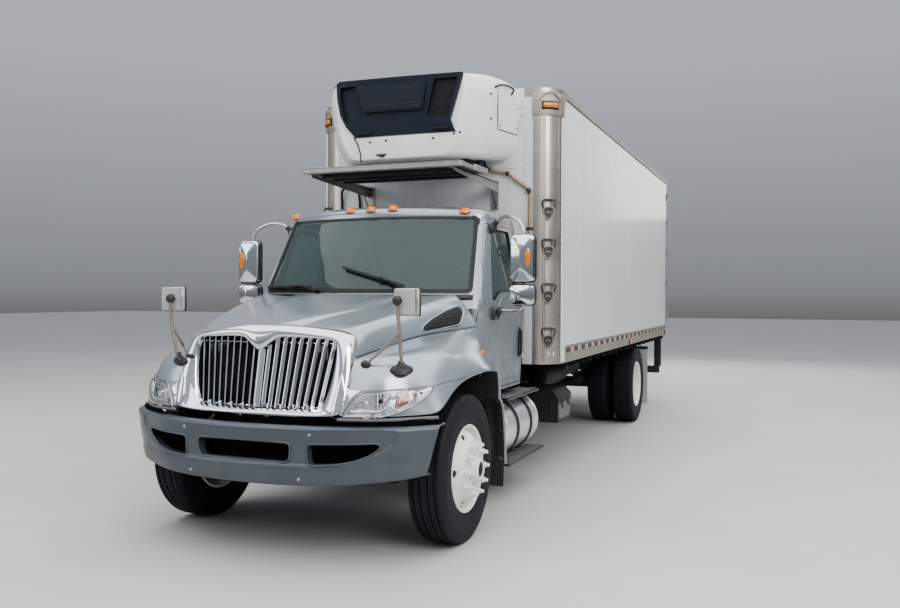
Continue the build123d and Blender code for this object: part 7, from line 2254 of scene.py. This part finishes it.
B = Acc()
sets = []
for sx, side in ((1, "left"), (-1, "right")):
    C = Acc()
    cx = sx * .515
    C.add(pad(cx, 1.520, 1.255, .250, .235, .070, tilt=.06, chan_n=6), 0)
    C.add(pad(cx, 1.790, 1.615, .240, .330, .062, tilt=math.radians(83), chan_n=6), 0)
    C.add(pad(cx, 1.832, 2.010, .150, .075, .045, tilt=math.radians(83)), 0)
    for s in (-1, 1):
        C.add(pad(cx + s * .225, 1.525, 1.285, .035, .215, .045), 0)
        C.add(pad(cx + s * .210, 1.755, 1.60, .032, .270, .050, tilt=math.radians(83)), 0)
    ob = C.out("seat_pads_" + side, ["cloth"], body="chassis", slot="seat_cloth", smooth=80)
    sets.append(ob)
    B.add(rbox(cx - .215, cx + .215, 1.330, 1.740, 1.155, 1.195, .012), 0)
    B.add(rbox(cx - .170, cx + .170, 1.380, 1.700, .990, 1.060, .014), 0)
    for k in range(6):
        B.add(rbox(cx - .160, cx + .160, 1.390, 1.690, 1.062 + k * .016, 1.073 + k * .016, .005), 1)
    B.add(rbox(cx - .180, cx + .180, 1.835, 1.862, 1.30, 1.93, .014), 0)
    B.add(cyl((cx - .08, 1.84, 1.90), (cx - .08, 1.84, 1.97), .007, 10), 2)
    B.add(cyl((cx + .08, 1.84, 1.90), (cx + .08, 1.84, 1.97), .007, 10), 2)
    B.add(tube([(cx + sx * .262, 1.76, 2.02), (cx + sx * .262, 1.70, 1.60), (cx + sx * .250, 1.68, 1.22)], .011, 8, 5), 1)
    # piping along the seat edge
    pp = [Vector((cx + .246 * math.copysign(abs(math.cos(t)) ** .42, math.cos(t)), 1.520 + .232 * math.copysign(abs(math.sin(t)) ** .42, math.sin(t)), 1.258 + .06 * .232 * math.sin(t)))
          for t in [2 * math.pi * i / 48 for i in range(48)]]
    B.add(sweep(pp, ring(.0045, 6), closed=True), 1)
B.out("seat_frames", ["plastic", "seal", "plain_alloy"], body="chassis", slot="dark_plastic", smooth=50)
for ob in sets:
    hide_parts("seats")
A = Acc()
# steering wheel, column, stalks
sc_, sn = Vector((.480, 1.210, 1.600)), Vector((0, .42, .91)).normalized()
e1 = Vector((1, 0, 0))
e2 = sn.cross(e1).normalized()
rim = [sc_ + e1 * (.222 * math.cos(t)) + e2 * (.222 * math.sin(t)) for t in [2 * math.pi * i / 56 for i in range(56)]]
A.add(sweep(rim, [(a * 1.0, b2 * 1.25) for a, b2 in ring(.0135, 12)], up=tuple(sn), closed=True), 0)
for t in (math.radians(90), math.radians(200), math.radians(340)):
    d = e1 * math.cos(t) + e2 * math.sin(t)
    A.add(sweep([sc_ - sn * .030 + d * .035, sc_ - sn * .026 + d * .12, sc_ - sn * .004 + d * .212], [(-.020, -.006), (.020, -.006), (.020, .006), (-.020, .006)], up=tuple(sn), scale=lambda q: 1.2 - .5 * q), 0)
A.add(spin([(-.060, .055), (-.020, .075), (.004, .078), (.014, .070), (.018, .040), (.0185, 1e-5)], sc_ - sn * .010, sn, 36), 0)
A.add(cyl(sc_ - sn * .07, sc_ - sn * .34, .042, 20), 1)
A.add(tube([sc_ - sn * .11, sc_ - sn * .11 + Vector((-.12, -.02, .02)), sc_ - sn * .11 + Vector((-.20, -.02, .03))], .008, 8, 4), 0)
A.add(tube([sc_ - sn * .11, sc_ - sn * .11 + Vector((.10, -.02, .02)), sc_ - sn * .11 + Vector((.17, -.02, .03))], .008, 8, 4), 0)
sw = A.out("steering_set", ["seal", "plastic"], body="chassis", slot="dark_plastic", smooth=60)
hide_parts("steering_wheel")

# ------------------------------------------------------------------ running gear: air tanks, lines, brake chambers, sills under the floor
A = Acc()
for sx in (1, -1):
    flip = (lambda vf: vf) if sx > 0 else mx
    for y0, y1, x, z, r in ((3.62, 4.42, .62, .815, .118), (4.60, 5.30, .60, .835, .100)):
        A.add(flip(spin([(y0 - .030, 1e-5), (y0 - .028, r * .45), (y0 - .016, r * .80), (y0, r * .97), (y0 + .016, r), (y1 - .016, r), (y1, r * .97), (y1 + .016, r * .80), (y1 + .028, r * .45), (y1 + .030, 1e-5)], (x, 0, z), (0, 1, 0), 36)), 0)
        for y in (y0 + .14, y1 - .14):
            A.add(flip(spin([(y - .016, r + .001), (y - .016, r + .005), (y + .016, r + .005), (y + .016, r + .001)], (x, 0, z), (0, 1, 0), 32, closed=True)), 1)
            A.add(flip(rbox(.430, x, y - .020, y + .020, z + r - .004, z + r + .008, .002)), 1)
            A.add(flip(rbox(.430, .442, y - .030, y + .030, z - .06, z + r + .02, .002)), 1)
        A.add(flip(tube([(x, y1 + .03, z), (x - .02, y1 + .09, z + .01), (.46, y1 + .16, z + .06), (.448, y1 + .30, z + .08), (.448, y1 + .9, .93)], .008, 8, 5)), 2)
        A.add(flip(cyl((x, y0 + .30, z - r), (x, y0 + .30, z - r - .022), .013, 8)), 3)
    # brake chambers and arms on the rear axle
    A.add(flip(spin([(0, 1e-5), (0, .055), (.008, .070), (.060, .078), (.064, .086), (.072, .086), (.076, .078), (.150, .078), (.162, .060), (.166, 1e-5)], (.46, 6.22, .585), (.18, -1, .12), 32)), 0)
    A.add(flip(cyl((.46, 6.23, .583), (.47, 6.40, .555), .012, 12)), 3)
    A.add(flip(rbox(.452, .484, 6.385, 6.425, .47, .575, .008)), 1)
    A.add(flip(tube([(.46, 6.10, .66), (.44, 6.02, .74), (.40, 5.85, .84), (.40, 5.6, .90)], .010, 8, 6)), 2)
# cross sills under the floor
for k in range(19):
    y = 2.60 + k * .345
    for s in (-1, 1):
        xs = sorted((s * .46, s * 1.205))
        A.add(rbox(xs[0], xs[1], y - .030, y + .030, 1.068, 1.074, .001), 0)
        A.add(rbox(xs[0], xs[1], y - .003, y + .003, 1.020, 1.072, .001), 0)
        A.add(rbox(xs[0], xs[1], y - .030, y + .030, 1.016, 1.022, .001), 0)
A.out("under_parts", ["black", "cast", "seal", "plain_alloy"], body="chassis", slot="black_steel", smooth=40)
